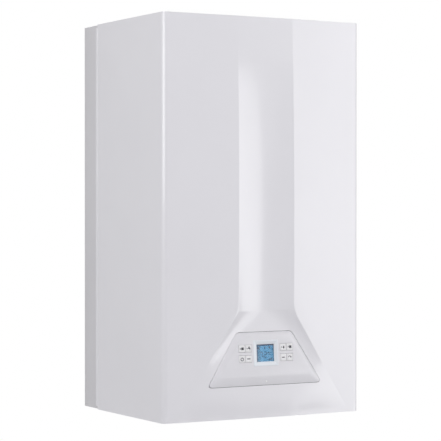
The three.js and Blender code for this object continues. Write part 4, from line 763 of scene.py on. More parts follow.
def new_group(name: str, inputs: dict[str, object], outputs: dict[str, str]) -> tuple[
        bpy.types.NodeTree, bpy.types.Node, bpy.types.Node, Weave]:
    """Starts a shader node group with named sockets.

    Args:
        name: the group's name.
        inputs: each input's default; a number, a colour or a vector.
        outputs: each output's socket type.

    Returns:
        The group, its input node, its output node and a weave on it.
    """
    tree = bpy.data.node_groups.new(name, "ShaderNodeTree")
    kinds = {float: "NodeSocketFloat", 4: "NodeSocketColor", 3: "NodeSocketVector"}
    for key, value in inputs.items():
        kind = kinds[float] if isinstance(value, float) else kinds[len(value)]
        socket = tree.interface.new_socket(name=key, in_out="INPUT", socket_type=kind)
        socket.default_value = value
    for key, kind in outputs.items():
        tree.interface.new_socket(name=key, in_out="OUTPUT", socket_type=kind)
    return tree, tree.nodes.new("NodeGroupInput"), tree.nodes.new("NodeGroupOutput"), Weave(tree)


class Effects:
    """The shared effects, each a node group that is built once."""

    def __init__(self) -> None:
        """Builds every group."""
        self.grain = self.build_noise("fine grain", 900.0, 4.0, (0.35, 0.65), softness=True)
        self.streaks = self.build_noise("brushed streaks", 120.0, 6.0, (0.3, 0.7))
        self.drift = self.build_drift()
        self.settled_dust = self.build_dust()

    @staticmethod
    def build_noise(name: str, scale: float, detail: float, edge: Span,
                    softness: bool = False) -> bpy.types.NodeTree:
        """Makes a noise with a height and a mask, for moulded grain or, stretched, for rolled sheet.

        Args:
            name: the group's name.
            scale: its grains a metre, where a material gives none.
            detail: the noise's detail.
            edge: where the mask starts and ends.
            softness: True for an input that sets the noise's roughness.

        Returns:
            The node group.
        """
        inputs = {"Vector": (0.0, 0.0, 0.0), "Scale": scale} | ({"Softness": 0.5} if softness else {})
        tree, source, target, weave = new_group(
            name, inputs, {"Height": "NodeSocketFloat", "Mask": "NodeSocketFloat"})
        rough = source.outputs["Softness"] if softness else 0.7
        noise = weave.lay("ShaderNodeTexNoise", Vector=source.outputs["Vector"],
                          Scale=source.outputs["Scale"], Detail=detail, Roughness=rough)
        tree.links.new(noise.outputs["Fac"], target.inputs["Height"])
        tree.links.new(weave.band(noise.outputs["Fac"], *edge), target.inputs["Mask"])
        return tree

    @staticmethod
    def build_drift() -> bpy.types.NodeTree:
        """Makes a slow drift between two tones.

        Returns:
            The node group.
        """
        tree, source, target, weave = new_group(
            "tone drift",
            {"Vector": (0.0, 0.0, 0.0), "Scale": 9.0, "First": WHITE, "Second": (0.9, 0.9, 0.9, 1.0)},
            {"Color": "NodeSocketColor", "Mask": "NodeSocketFloat"},
        )
        noise = weave.lay("ShaderNodeTexNoise", Vector=source.outputs["Vector"],
                          Scale=source.outputs["Scale"], Detail=3.0, Roughness=0.55)
        mask = weave.band(noise.outputs["Fac"], 0.3, 0.7)
        mixed = weave.blend(mask, source.outputs["First"], source.outputs["Second"])
        tree.links.new(mixed, target.inputs["Color"])
        tree.links.new(mask, target.inputs["Mask"])
        return tree

    @staticmethod
    def build_dust() -> bpy.types.NodeTree:
        """Makes a light film of dust on faces that look up, more of it where the noise is high.

        Returns:
            The node group.
        """
        tree, source, target, weave = new_group(
            "settled dust",
            {"Vector": (0.0, 0.0, 0.0), "Color": (0.8, 0.8, 0.8, 1.0), "Amount": 0.3},
            {"Color": "NodeSocketColor", "Mask": "NodeSocketFloat"},
        )
        normal = weave.lay("ShaderNodeNewGeometry").outputs["Normal"]
        up = weave.lay("ShaderNodeSeparateXYZ", Vector=normal).outputs["Z"]
        noise = weave.lay("ShaderNodeTexNoise", Vector=source.outputs["Vector"], Scale=40.0, Detail=5.0)
        patchy = weave.math("MULTIPLY", weave.band(up, 0.5, 1.0), noise.outputs["Fac"])
        mask = weave.math("MULTIPLY", patchy, source.outputs["Amount"], clamp=True)
        tree.links.new(weave.blend(mask, source.outputs["Color"], DUST_TONE), target.inputs["Color"])
        tree.links.new(mask, target.inputs["Mask"])
        return tree


@dataclass(frozen=True)
class Finish:
    """What every finish has: a name, a colour in screen values and a gloss."""

    name: str
    colour: Colour
    roughness: float = 0.4

    def started(self) -> tuple[bpy.types.Material, Weave, bpy.types.Node]:
        """Makes the material and returns it with a weave and its Principled node.

        Returns:
            The material, a weave on it and its Principled node.
        """
        material = bpy.data.materials.new(self.name)
        material.use_nodes = True
        material.diffuse_color = linear(self.colour)
        return material, Weave(material.node_tree), material.node_tree.nodes["Principled BSDF"]

    def group(self, weave: Weave, tree: bpy.types.NodeTree, **inputs: object) -> bpy.types.Node:
        """Places a shared effect with its own values."""
        return weave.lay("ShaderNodeGroup", {"node_tree": tree}, **inputs)

    def bumped(self, weave: Weave, shader: bpy.types.Node, height: bpy.types.NodeSocket,
               strength: float, distance: float = BUMP_HEIGHT) -> None:
        """Feeds a height to the shader's normal through a Bump node."""
        bump = weave.lay("ShaderNodeBump", Height=height, Strength=strength, Distance=distance)
        weave.feed(shader, "Normal", bump.outputs["Normal"])

    def shades(self, spread: float) -> tuple[Rgba, Rgba]:
        """The colour and a slightly darker one, for a drift between them."""
        return linear(self.colour), linear(tuple(c * (1 - spread) for c in self.colour))

    def toned(self, effects: Effects, scale: float, spread: float, dust: float) -> tuple[
            bpy.types.Material, Weave, bpy.types.Node, bpy.types.NodeSocket, bpy.types.NodeSocket]:
        """Starts a material whose colour drifts a little and takes dust.

        Args:
            effects: the shared effects.
            scale: how close together the tones lie.
            spread: how much darker the second tone is.
            dust: how much dust settles on it.

        Returns:
            The material, its weave, its Principled node, the coordinates and the drift's mask.
        """
        material, weave, shader = self.started()
        place = weave.place()
        first, second = self.shades(spread)
        tone = self.group(weave, effects.drift, Vector=place, Scale=scale, First=first, Second=second)
        dusty = self.group(weave, effects.settled_dust, Vector=place, Color=tone.outputs["Color"],
                           Amount=dust)
        weave.feed(shader, "Base Color", dusty.outputs["Color"])
        return material, weave, shader, place, tone.outputs["Mask"]


@dataclass(frozen=True)
class Paint(Finish):
    """Stoved paint on sheet steel: even and glossy, with a trace of orange peel."""

    coat: float = 0.45
    spread: float = 0.008
    peel: float = 0.02
    dust: float = 0.0

    def build(self, effects: Effects) -> bpy.types.Material:
        """Makes the material.

        Args:
            effects: the shared effects.

        Returns:
            The material.
        """
        material, weave, shader, place, mask = self.toned(effects, 5.0, self.spread, self.dust)
        low, high = self.roughness - 0.01, self.roughness + 0.02
        weave.feed(shader, "Roughness", weave.band(mask, 0.0, 1.0, low, high))
        shader.inputs["Coat Weight"].default_value = self.coat
        shader.inputs["Coat Roughness"].default_value = 0.1
        grain = self.group(weave, effects.grain, Vector=place, Scale=260.0, Softness=0.4)
        self.bumped(weave, shader, grain.outputs["Height"], self.peel)
        return material


@dataclass(frozen=True)
class Plastic(Finish):
    """Moulded plastic with a fine spark-eroded grain."""

    grain: float = 0.12
    grain_scale: float = 1500.0
    spread: float = 0.02
    dust: float = 0.0
    sheen: float = 0.0

    def build(self, effects: Effects) -> bpy.types.Material:
        """Makes the material.

        Args:
            effects: the shared effects.

        Returns:
            The material.
        """
        material, weave, shader, place, _ = self.toned(effects, 14.0, self.spread, self.dust)
        grain = self.group(weave, effects.grain, Vector=place, Scale=self.grain_scale, Softness=0.6)
        low, high = self.roughness - 0.05, self.roughness + 0.06
        weave.feed(shader, "Roughness", weave.band(grain.outputs["Mask"], 0.0, 1.0, low, high))
        shader.inputs["Sheen Weight"].default_value = self.sheen
        self.bumped(weave, shader, grain.outputs["Height"], self.grain)
        return material


class Lay(Enum):
    """The way that the marks on a metal run."""

    SPANGLE = "spangle"
    ALONG_X = (1.0, 40.0, 40.0)
    ALONG_Z = (40.0, 40.0, 1.0)
    CAST = "cast"


@dataclass(frozen=True)
class Metal(Finish):
    """Bare metal: zinc spangle, brushed or drawn lines, or a cast skin, slightly dulled."""

    lay: Lay = Lay.CAST
    spread: float = 0.12
    dulled: Colour = (0.4, 0.4, 0.4)
    dulling: float = 0.25
    bump: float = 0.15

    def build(self, effects: Effects) -> bpy.types.Material:
        """Makes the material.

        Args:
            effects: the shared effects.

        Returns:
            The material.
        """
        material, weave, shader = self.started()
        shader.inputs["Metallic"].default_value = 1.0
        place = weave.place()
        first, second = self.shades(self.spread)
        if self.lay is Lay.SPANGLE:
            cells = weave.lay("ShaderNodeTexVoronoi", {"feature": "F1"}, Vector=place, Scale=140.0)
            marks = weave.lay("ShaderNodeSeparateColor", Color=cells.outputs["Color"]).outputs[0]
            mask, height = marks, marks
        elif self.lay is Lay.CAST:
            grain = self.group(weave, effects.grain, Vector=place, Scale=700.0, Softness=0.65)
            mask, height = grain.outputs["Mask"], grain.outputs["Height"]
        else:
            lines = self.group(weave, effects.streaks, Vector=weave.place(self.lay.value), Scale=60.0)
            mask, height = lines.outputs["Mask"], lines.outputs["Height"]
        base = weave.blend(mask, first, second)
        patches = self.group(weave, effects.drift, Vector=place, Scale=22.0, First=base,
                             Second=linear(self.dulled))
        stain = weave.math("MULTIPLY", patches.outputs["Mask"], self.dulling)
        weave.feed(shader, "Base Color", weave.blend(stain, base, linear(self.dulled)))
        low, high = self.roughness - 0.06, self.roughness + 0.14
        rough = weave.math("ADD", weave.band(mask, 0.0, 1.0, low, high),
                           weave.math("MULTIPLY", stain, 0.4))
        weave.feed(shader, "Roughness", rough)
        self.bumped(weave, shader, height, self.bump)
        return material


@dataclass(frozen=True)
class Glass(Finish):
    """A clear window: thin, with faint smears that break its gloss."""

    def build(self, effects: Effects) -> bpy.types.Material:
        """Makes the material.

        Args:
            effects: the shared effects.

        Returns:
            The material.
        """
        material, weave, shader = self.started()
        shader.inputs["Transmission Weight"].default_value = 1.0
        shader.inputs["IOR"].default_value = 1.2
        shader.inputs["Base Color"].default_value = linear(self.colour)
        smears = self.group(weave, effects.drift, Vector=weave.place((1.0, 1.0, 3.0)), Scale=60.0)
        rough = weave.band(smears.outputs["Mask"], 0.0, 1.0, self.roughness, self.roughness + 0.06)
        weave.feed(shader, "Roughness", rough)
        return material


@dataclass(frozen=True)
class Fibre(Finish):
    """Soft ceramic fibre board or fired ceramic: matt, with pits and a scorched tint."""

    scorch: Colour = (0.62, 0.5, 0.38)
    scorching: float = 0.25
    pits: float = 0.4

    def build(self, effects: Effects) -> bpy.types.Material:
        """Makes the material.

        Args:
            effects: the shared effects.

        Returns:
            The material.
        """
        material, weave, shader = self.started()
        place = weave.place()
        tone = self.group(weave, effects.drift, Vector=place, Scale=30.0, First=linear(self.colour),
                          Second=linear(self.scorch))
        amount = weave.math("MULTIPLY", tone.outputs["Mask"], self.scorching)
        colour = weave.blend(amount, linear(self.colour), linear(self.scorch))
        weave.feed(shader, "Base Color", colour)
        grain = self.group(weave, effects.grain, Vector=place, Scale=420.0, Softness=0.8)
        weave.feed(shader, "Roughness", weave.band(grain.outputs["Mask"], 0.0, 1.0, 0.75, 0.95))
        self.bumped(weave, shader, grain.outputs["Height"], self.pits, 0.0008)
        return material


@dataclass(frozen=True)
class CircuitBoard(Finish):
    """Solder mask over copper tracks, with bare pads."""

    track: Colour = (0.24, 0.5, 0.3)
    pad: Colour = (0.8, 0.78, 0.7)

    def build(self, effects: Effects) -> bpy.types.Material:
        """Makes the material.

        Args:
            effects: the shared effects.

        Returns:
            The material.
        """
        material, weave, shader = self.started()
        place = weave.place()
        bricks = weave.lay("ShaderNodeTexBrick", Vector=weave.place((1.0, 0.0, 1.0)), Scale=42.0,
                           Mortar_Size=0.012, Color1=linear(self.colour), Color2=linear(self.colour),
                           Mortar=linear(self.track))
        cells = weave.lay("ShaderNodeTexVoronoi", {"feature": "F1"}, Vector=place, Scale=210.0,
                          Randomness=0.35)
        pads = weave.band(cells.outputs["Distance"], 0.16, 0.2, 1.0, 0.0)
        colour = weave.blend(pads, bricks.outputs["Color"], linear(self.pad))
        weave.feed(shader, "Base Color", colour)
        weave.feed(shader, "Roughness", weave.band(pads, 0.0, 1.0, self.roughness, 0.28))
        self.bumped(weave, shader, pads, 0.2)
        return material


@dataclass(frozen=True)
class Backlight(Finish):
    """A lit liquid crystal panel: blue, darkened towards its left edge by painted shade, with a painted
    shadow of the window's rim along its left and top edge.
    """

    # edge: painted shade, the darker tone that the panel fades into towards its left edge.
    edge: Colour = (0.25, 0.43, 0.53)
    # mask: a painted shadow, the dark colour of the thin band along the left and top edges.
    mask: Colour = (0.1, 0.15, 0.27)
    glow: float = 0.1
    left: float = -0.0148
    top: float = -0.2232

    def build(self, effects: Effects) -> bpy.types.Material:
        """Makes the material.

        Args:
            effects: the shared effects.

        Returns:
            The material.
        """
        material, weave, shader = self.started()
        source = weave.lay("ShaderNodeTexCoord").outputs["Object"]
        axes = weave.lay("ShaderNodeSeparateXYZ", Vector=source)
        # Painted shade: the colour fades into the darker edge tone towards the left.
        fade = weave.band(axes.outputs["X"], self.left + 0.003, self.left + 0.009)
        tone = weave.blend(fade, linear(self.edge), linear(self.colour))
        # Painted shadow: a thin dark band in the mask colour along the left edge and along the top
        # edge.
        beside = weave.band(axes.outputs["X"], self.left, self.left + 0.002)
        below = weave.band(axes.outputs["Z"], self.top - 0.003, self.top)
        clear = weave.math("MULTIPLY", beside, weave.math("SUBTRACT", 1.0, below))
        colour = weave.blend(clear, linear(self.mask), tone)
        weave.feed(shader, "Base Color", colour)
        weave.feed(shader, "Emission Color", colour)
        shader.inputs["Emission Strength"].default_value = self.glow
        grain = self.group(weave, effects.grain, Vector=source, Scale=3000.0, Softness=0.5)
        rough = weave.band(grain.outputs["Mask"], 0.0, 1.0, self.roughness, self.roughness + 0.08)
        weave.feed(shader, "Roughness", rough)
        return material


class Cabinet:
    """All the boiler's finishes, built once."""

    def __init__(self) -> None:
        """Builds every material."""
        effects = Effects()
        recipes = (
            Paint("casing paint", (0.905, 0.9, 0.92), 0.3),
            Paint("frame paint", (0.84, 0.835, 0.85), 0.4, coat=0.1, dust=0.15),
            Plastic("panel plastic", (0.9, 0.895, 0.915), 0.33, grain=0.05),
            Plastic("button plastic", (0.96, 0.955, 0.965), 0.3, grain=0.04),
            # A lighter, bluer copy of the panel plastic: painted glow of the display on the frame
            # around it.
            Plastic("frame plastic with painted glow", (0.92, 0.935, 0.96), 0.35, grain=0.02),
            Plastic("symbol ink", (0.2, 0.21, 0.25), 0.5, grain=0.02, spread=0.03),
            Plastic("display ink", (0.1, 0.2, 0.3), 0.3, grain=0.02, spread=0.03),
            Plastic("dark plastic", (0.16, 0.165, 0.175), 0.5, dust=0.25),
            Plastic("grey plastic", (0.5, 0.51, 0.53), 0.5, dust=0.25),
            Plastic("red plastic", (0.7, 0.12, 0.09), 0.42),
            Plastic("white nylon", (0.86, 0.85, 0.82), 0.45),
            Plastic("seal rubber", (0.13, 0.13, 0.135), 0.75, grain=0.3, grain_scale=600.0, dust=0.2),
            Plastic("hose rubber", (0.56, 0.57, 0.58), 0.65, grain=0.3, grain_scale=600.0, sheen=0.1),
            Metal("galvanised", (0.74, 0.75, 0.76), 0.36, lay=Lay.SPANGLE, dulled=(0.6, 0.61, 0.62)),
            Metal("stainless", (0.78, 0.78, 0.79), 0.26, lay=Lay.ALONG_X, dulled=(0.6, 0.55, 0.5),
                  dulling=0.15),
            Metal("copper", (0.82, 0.5, 0.37), 0.28, lay=Lay.ALONG_Z, dulled=(0.5, 0.28, 0.2),
                  dulling=0.35, bump=0.06),
            Metal("brass", (0.82, 0.68, 0.4), 0.34, dulled=(0.5, 0.4, 0.24)),
            Metal("cast aluminium", (0.76, 0.77, 0.78), 0.42, dulled=(0.55, 0.56, 0.57), bump=0.3),
            Metal("zinc screw", (0.8, 0.8, 0.78), 0.3, dulled=(0.6, 0.6, 0.55), bump=0.05),
            Paint("vessel red", (0.62, 0.13, 0.1), 0.42, coat=0.1, spread=0.05, dust=0.3),
            Glass("lens", (0.93, 0.97, 1.0), 0.03),
            Glass("sight glass", (0.9, 0.95, 0.95), 0.05),
            Fibre("ceramic", (0.9, 0.88, 0.83)),
            CircuitBoard("circuit board", (0.12, 0.36, 0.22), 0.4),
            # The display keeps Backlight's painted shade towards the left and its painted shadow along
            # the left and top edges.
            Backlight("display", (0.37, 0.58, 0.7), 0.25),
        )
        self.made = {recipe.name: recipe.build(effects) for recipe in recipes}

    def __getitem__(self, name: str) -> bpy.types.Material:
        """Gives a material by its name."""
        return self.made[name]


@dataclass
class SubAssembly:
    """What every sub-assembly has: the finishes, and a body that its pieces ride on."""

    cabinet: Cabinet

    @property
    def body(self) -> str:
        """The body that most of its pieces ride on."""
        return "chassis"

    def keep(self, shape: Shape, name: str, finish: str, replaces: str = "", smooth: float = 38.0,
             slot: str = "", body: str = "") -> None:
        """Settles a piece of this sub-assembly.

        Args:
            shape: the finished shape.
            name: the piece's name.
            finish: the name of its finish.
            replaces: the frame node that it stands for, if any.
            smooth: the sharpest angle that is shaded smooth, in degrees.
            slot: the record's material slot, where it isn't named like the finish; not used.
            body: the body that it moves with, where it isn't the sub-assembly's own.
        """
        shape.settle(name, body or self.body, self.cabinet[finish],
                     [replaces] if replaces else [], smooth)

    def keep_screws(self, heads: Shape, name: str, slot: str = "galvanised") -> None:
        """Settles a set of screw heads."""
        self.keep(heads, name, "zinc screw", slot=slot)


# ----------------------------------------------------------------------------------------------
# Casing
# ----------------------------------------------------------------------------------------------


def clamp(value: float, low: float = 0.0, high: float = 1.0) -> float:
    """Keeps a value between two others."""
    return max(low, min(high, value))


def ease(value: float) -> float:
    """Smooth rise from 0 to 1."""
    value = clamp(value)
    return value * value * (3 - 2 * value)


@dataclass
class Front:
    """The shaped front: a crown, a hollow channel down the middle and the flare below it."""

    corner: float = 10.0
    crown_middle: float = 10.0
    crown_ends: float = 4.0
    channel_width: float = 112.0
    channel_depth: float = 12.0
    channel_top: float = 626.0
    fade_power: float = 0.7
    flare_top: float = 187.0
    flare_foot: float = 46.0
    foot_width: float = 298.0
    foot_fade: float = 45.0
    bend: float = 16.0
    floor_setback: float = 5.0
    flatness: float = 6.0
    panel_bottom: float = 57.0
    edge_softness: float = 0.5
    highest_drop: float = -6.0

    @property
    def flat_half(self) -> float:
        """Half the width between the rounded corners."""
        return HALF_WIDTH - self.corner

    @property
    def channel_half(self) -> float:
        """Half the width of the channel."""
        return self.channel_width / 2

    @property
    def floor_slope(self) -> float:
        """How steeply the floor of the flare comes forward downwards."""
        top = self.face(0, self.flare_top) + self.channel_depth
        return (top - self.floor_setback) / (self.flare_top - self.panel_bottom)

    @property
    def tilt(self) -> float:
        """The lean of the flare's floor, in degrees."""
        return math.degrees(math.atan(self.floor_slope))

    def face(self, x: float, z: float) -> float:
        """How far the plain front lies behind its foremost plane.

        Args:
            x: the place across.
            z: the height.

        Returns:
            The distance in millimetres.
        """
        rise = math.sin(math.pi * z / CASE_HEIGHT)
        crown = self.crown_ends + (self.crown_middle - self.crown_ends) * rise
        spread = clamp((abs(x) - self.channel_half) / (self.flat_half - self.channel_half))
        return self.crown_middle - crown + crown * spread

    def half_width(self, z: float) -> float:
        """Half the width of the channel or the flare at a height.

        Args:
            z: the height.

        Returns:
            Half the width in millimetres.
        """
        slope = (self.foot_width - self.channel_width) / 2 / (self.flare_top - self.flare_foot)
        below = self.flare_top - z
        if abs(below) < self.bend:
            below = (below + self.bend) ** 2 / (4 * self.bend)
        return self.channel_half + slope * max(below, 0.0)

    def floor(self, z: float) -> float:
        """How far the floor of the channel or flare lies back at a height.

        Args:
            z: the height.

        Returns:
            The distance in millimetres.
        """
        if z >= self.flare_top:
            rise = clamp((self.channel_top - z) / (self.channel_top - self.flare_top))
            return self.face(0, z) + self.channel_depth * rise**self.fade_power
        return self.floor_setback + self.floor_slope * (z - self.panel_bottom)

    def depth(self, x: float, z: float) -> float:
        """The y of the outer skin, its creases softened to the radius of pressed sheet.

        Args:
            x: the place across.
            z: the height.

        Returns:
            The y of the skin.
        """
        face = self.face(x, z)
        flare = clamp((self.flare_top - z) / self.channel_half)
        across = abs(x) / self.half_width(z)
        bowl = 1 - across ** (2 + self.flatness * flare)
        fade = ease((z - self.flare_foot + self.foot_fade) / self.foot_fade)
        sunk = (self.floor(z) - face) * fade
        drop = max(sunk * bowl, self.highest_drop)
        if sunk <= 0:
            return -CASE_DEPTH + face + sunk * max(1 - across**4, 0.0)
        soft = self.edge_softness * clamp(sunk / self.channel_depth)
        return -CASE_DEPTH + face + (drop + math.hypot(drop, soft)) / 2


@dataclass
class Casing(SubAssembly):
    """The painted sheet shell: front, two sides and the rims along its top and bottom."""

    panel: ControlPanel
    front: Front = field(default_factory=Front)
    sheet: float = 1.5
    rim: float = 20.0
    back: float = 55.8
    rows: int = 150
    side_steps: int = 14
    corner_steps: int = 8
    flat_steps: int = 16
    hollow_steps: int = 26
    opening_gap: float = 0.6
    opening_reach: float = 14.0
    beside_edge: tuple[float, ...] = (2.4, 1.2, 0.6, 0.2)

    @property
    def body(self) -> str:
        """The body that its pieces ride on."""
        return "front_casing"

    def half_section(self, z: float) -> Outline:
        """The right half of the skin at a height, from the back of the side to the middle.

        Args:
            z: the height.

        Returns:
            The (x, y) points.
        """
        front, points = self.front, []
        corner_y = -CASE_DEPTH + front.crown_middle + front.corner
        for i in range(self.side_steps):
            share = i / self.side_steps
            points.append((HALF_WIDTH, -self.back + (corner_y + self.back) * share))
        for i in range(self.corner_steps):
            turn = math.pi / 2 * i / self.corner_steps
            points.append((front.flat_half + front.corner * math.cos(turn),
                           corner_y - front.corner * math.sin(turn)))
        edge = front.half_width(z)
        reach = self.beside_edge[0]
        near = edge + reach
        for i in range(self.flat_steps):
            x = front.flat_half + (near - front.flat_half) * i / self.flat_steps
            points.append((x, front.depth(x, z)))
        for offset in (*self.beside_edge, *(-step for step in reversed(self.beside_edge))):
            points.append((edge + offset, front.depth(edge + offset, z)))
        for i in range(1, self.hollow_steps):
            x = (edge - reach) * (1 - i / self.hollow_steps)
            points.append((x, front.depth(x, z)))
        return points

    def heights(self) -> list[float]:
        """The heights of the rows, closer together where the flare begins and ends.

        Returns:
            The heights, lowest first.
        """
        front = self.front
        reach = round(front.bend) + 2
        dense = [front.flare_top + i for i in range(-reach, reach + 1)]
        even = [CASE_HEIGHT * i / self.rows for i in range(self.rows + 1)]
        kept = [z for z in even if abs(z - front.flare_top) > reach + 2]
        return sorted(kept + dense)

    def build_shell(self) -> Shape:
        """Shapes the front and sides as one sheet, then turns the rims in and thickens it.

        Returns:
            The finished sheet, without the opening for the panel.
        """
        heights = self.heights()
        rows = []
        for z in heights:
            right = self.half_section(z)
            left = [(-x, y) for x, y in reversed(right)]
            rows.append([*right, (0.0, self.front.depth(0.0, z)), *left])
        wide = len(rows[0])
        bpy.ops.object.select_all(action="DESELECT")
        bpy.ops.mesh.primitive_grid_add(x_subdivisions=wide - 1, y_subdivisions=len(rows) - 1, size=2)
        shell = Shape.added("casing_shell")
        for vertex in shell.obj.data.vertices:
            column = round((vertex.co.x + 1) / 2 * (wide - 1))
            row = round((vertex.co.y + 1) / 2 * (len(rows) - 1))
            x, y = rows[row][column]
            vertex.co = (x, y, heights[row])
        for z in (0.0, CASE_HEIGHT):
            shell.pick_edges(lambda a, b, z=z: max(abs(a.z - z), abs(b.z - z)) < SAME_LEVEL)
            bpy.ops.mesh.extrude_region_move(TRANSFORM_OT_translate={"value": (0, 0, 0)})
            shell.leave()
            self.turn_in(shell, z)
        shell.edit()
        bpy.ops.mesh.select_all(action="SELECT")
        bpy.ops.mesh.normals_make_consistent(inside=False)
        shell.leave()
        on_front = Vector((150, -318, 400))
        if min(shell.obj.data.polygons, key=lambda f: (f.center - on_front).length).normal.y > 0:
            shell.edit()
            bpy.ops.mesh.select_all(action="SELECT")
            bpy.ops.mesh.flip_normals()
            shell.leave()
        return shell.modified("SOLIDIFY", thickness=self.sheet, offset=-1, use_even_offset=True)

    def turn_in(self, shell: Shape, z: float) -> None:
        """Moves the newest points at a rim in by its width, square to the skin.

        Args:
            shell: the casing.
            z: the height of the rim.
        """
        inner_x = HALF_WIDTH - self.rim
        inner_y = -CASE_DEPTH + self.front.crown_middle + self.rim
        for vertex in shell.obj.data.vertices:
            if vertex.select and abs(vertex.co.z - z) < SAME_LEVEL:
                x, y = vertex.co.x, vertex.co.y
                vertex.co.x = max(-inner_x, min(inner_x, x))
                vertex.co.y = max(inner_y, y)

    def build(self) -> None:
        """Makes the finished casing."""
        shell = self.build_shell()
        shell.cut(self.panel.prism("opening", self.opening_gap, self.opening_reach))
        self.keep(shell, "front_casing_shell", "casing paint", "front_casing", smooth=30)


# ----------------------------------------------------------------------------------------------
# Control panel
# ----------------------------------------------------------------------------------------------


@dataclass
class ControlPanel(SubAssembly):
    """The fascia on the floor of the flare, with its display and eight buttons.

    Its own frame has x across, y inwards and z up the panel, from the middle of its bottom edge.
    """

    front: Front = field(default_factory=Front)
    height: float = 93.0
    top_width: float = 112.0
    bottom_width: float = 232.0
    top_radius: float = 12.0
    bottom_radius: float = 6.0
    rise: float = 5.0
    skirt: float = 8.0
    wall: float = 2.5
    edge: float = 0.6
    bevel_top: float = 5.0
    bevel_side: float = 9.0
    bevel_bottom: float = 16.0
    bevel_steps: tuple[float, ...] = (0.12, 0.3, 0.5, 0.7, 0.85, 0.94, 1.0)
    bevel_power: float = 1.25
    display_up: float = 56.0
    window_width: float = 43.0
    window_height: float = 38.0
    window_bevel: float = 2.5
    frame_lap: float = 3.6
    opening: Place = (17.6, 15.2)
    lens_sheet: float = 1.2
    lens_overlap: float = 2.0
    button_width: float = 12.5
    button_height: float = 12.5
    button_gap_x: float = 1.0
    cap_inset: float = 0.25
    cap_stand: float = 0.3
    button_gap_up: float = 5.5
    bank_offset: float = 42.0
    board_depth: float = 15.0

    @property
    def body(self) -> str:
        """The body that its pieces ride on."""
        return "control_box"

    @property
    def face_y(self) -> float:
        """The front of the panel's face."""
        return -self.rise

    def lean(self, shape: Shape) -> Shape:
        """Brings a shape from the panel's own frame to its place on the casing."""
        shape.turned(-self.front.tilt, Axis.X)
        return shape.moved(y=-CASE_DEPTH + self.front.floor_setback, z=self.front.panel_bottom)

    def outline(self, grow: float = 0.0, top: float = 0.0, side: float = 0.0,
                bottom: float = 0.0, steps: int = 8) -> Outline:
        """The trapezoid with its rounded corners, grown outwards or set in on each side.

        Args:
            grow: how far it is grown on every side.
            top: how far the top edge is set in.
            side: how far the two sides are set in.
            bottom: how far the bottom edge is set in.
            steps: how many facets each corner has.

        Returns:
            The (x, up) points in the panel's own frame.
        """
        high = self.height + grow - top
        low = bottom - grow
        slope = (self.bottom_width - self.top_width) / 2 / self.height
        shift = (grow - side) * math.hypot(1, slope)

        def half(up: float) -> float:
            return self.bottom_width / 2 - slope * up + shift

        corners = [
            (half(low), low, self.bottom_radius),
            (half(high), high, self.top_radius),
            (-half(high), high, self.top_radius),
            (-half(low), low, self.bottom_radius),
        ]
        points = []
        for i, (x, up, radius) in enumerate(corners):
            here = Vector((x, up))
            before = (Vector(corners[i - 1][:2]) - here).normalized()
            after = (Vector(corners[(i + 1) % 4][:2]) - here).normalized()
            reach = radius / math.tan(math.acos(before.dot(after)) / 2)
            first, last = here + before * reach, here + after * reach
            for k in range(steps + 1):
                t = k / steps
                points.append(tuple(first.lerp(here, t).lerp(here.lerp(last, t), t)))
        return points

    def prism(self, name: str, grow: float, reach: float) -> Shape:
        """A leaned prism of the outline, for cutting the casing."""
        return self.lean(Shape.slab(name, self.outline(grow), (-reach, reach), Axis.Y))

    def button_places(self) -> dict[str, Place]:
        """The middle of each button, by its name.

        Returns:
            The (x, up) of each button's middle.
        """
        step_x = self.button_width + self.button_gap_x
        step_up = self.button_height + self.button_gap_up
        places = {}
        for bank, side in (("left", -1), ("right", 1)):
            for row, up in (("upper", 0.5), ("lower", -0.5)):
                for column, out in (("outer", 0.5), ("inner", -0.5)):
                    x = side * (self.bank_offset + out * step_x)
                    places[f"button_{bank}_{row}_{column}"] = (x, self.display_up + up * step_up)
        return places

    def build_fascia(self) -> None:
        """Draws the plate, pillows its rim with wide soft bevels and cuts the window and buttons."""
        rings = [
            (self.outline(), self.skirt),
            (self.outline(), -self.edge * 0.2),
            (self.outline(0, 0.25, 0.25, 0.25), -self.edge),
        ]
        insets = (self.bevel_top, self.bevel_side, self.bevel_bottom)
        for share in self.bevel_steps:
            lift = self.edge + (self.rise - self.edge) * (1 - (1 - share) ** self.bevel_power)
            rings.append((self.outline(0, *(width * share for width in insets)), -lift))
        points = [(x, y, up) for outline, y in rings for x, up in outline]
        count = len(rings[0][0])
        faces = [
            (i * count + k, i * count + (k + 1) % count, (i + 1) * count + (k + 1) % count,
             (i + 1) * count + k)
            for i in range(len(rings) - 1) for k in range(count)
        ]
        faces.append(range((len(rings) - 1) * count, len(rings) * count))
        faces.append(range(count))
        plate = Shape.drawn("fascia", points, faces).cleaned()
        hollow = Shape.slab("hollow", self.outline(-self.wall),
                            (-self.edge + self.wall, self.skirt + 1), Axis.Y)
        inner = self.outline(-self.wall, *insets)
        pocket = Shape.slab("pocket", inner, (self.face_y + self.wall, self.skirt + 1), Axis.Y)
        plate.cut(hollow, pocket)
        plate.cut(self.window_cutter())
        half_x = self.button_width / 2 + CLEAR
        half_up = self.button_height / 2 + CLEAR
        for x, up in self.button_places().values():
            slot = Shape.box("slot", (x - half_x, x + half_x), (self.face_y - 1, 0),
                             (up - half_up, up + half_up))
            plate.cut(slot)
        self.keep(self.lean(plate.cleaned()), "fascia_plate", "panel plastic", "control_fascia",
                  smooth=24)

    def window_cutter(self) -> Shape:
        """A block as wide as the display's frame.

        Returns:
            The block, right through the plate.
        """
        half_x = self.window_width / 2 + self.frame_lap
        half_up = self.window_height / 2 + self.frame_lap
        return Shape.box("window", (-half_x, half_x), (self.face_y - 1, self.face_y + self.wall + 1),
                         (self.display_up - half_up, self.display_up + half_up))

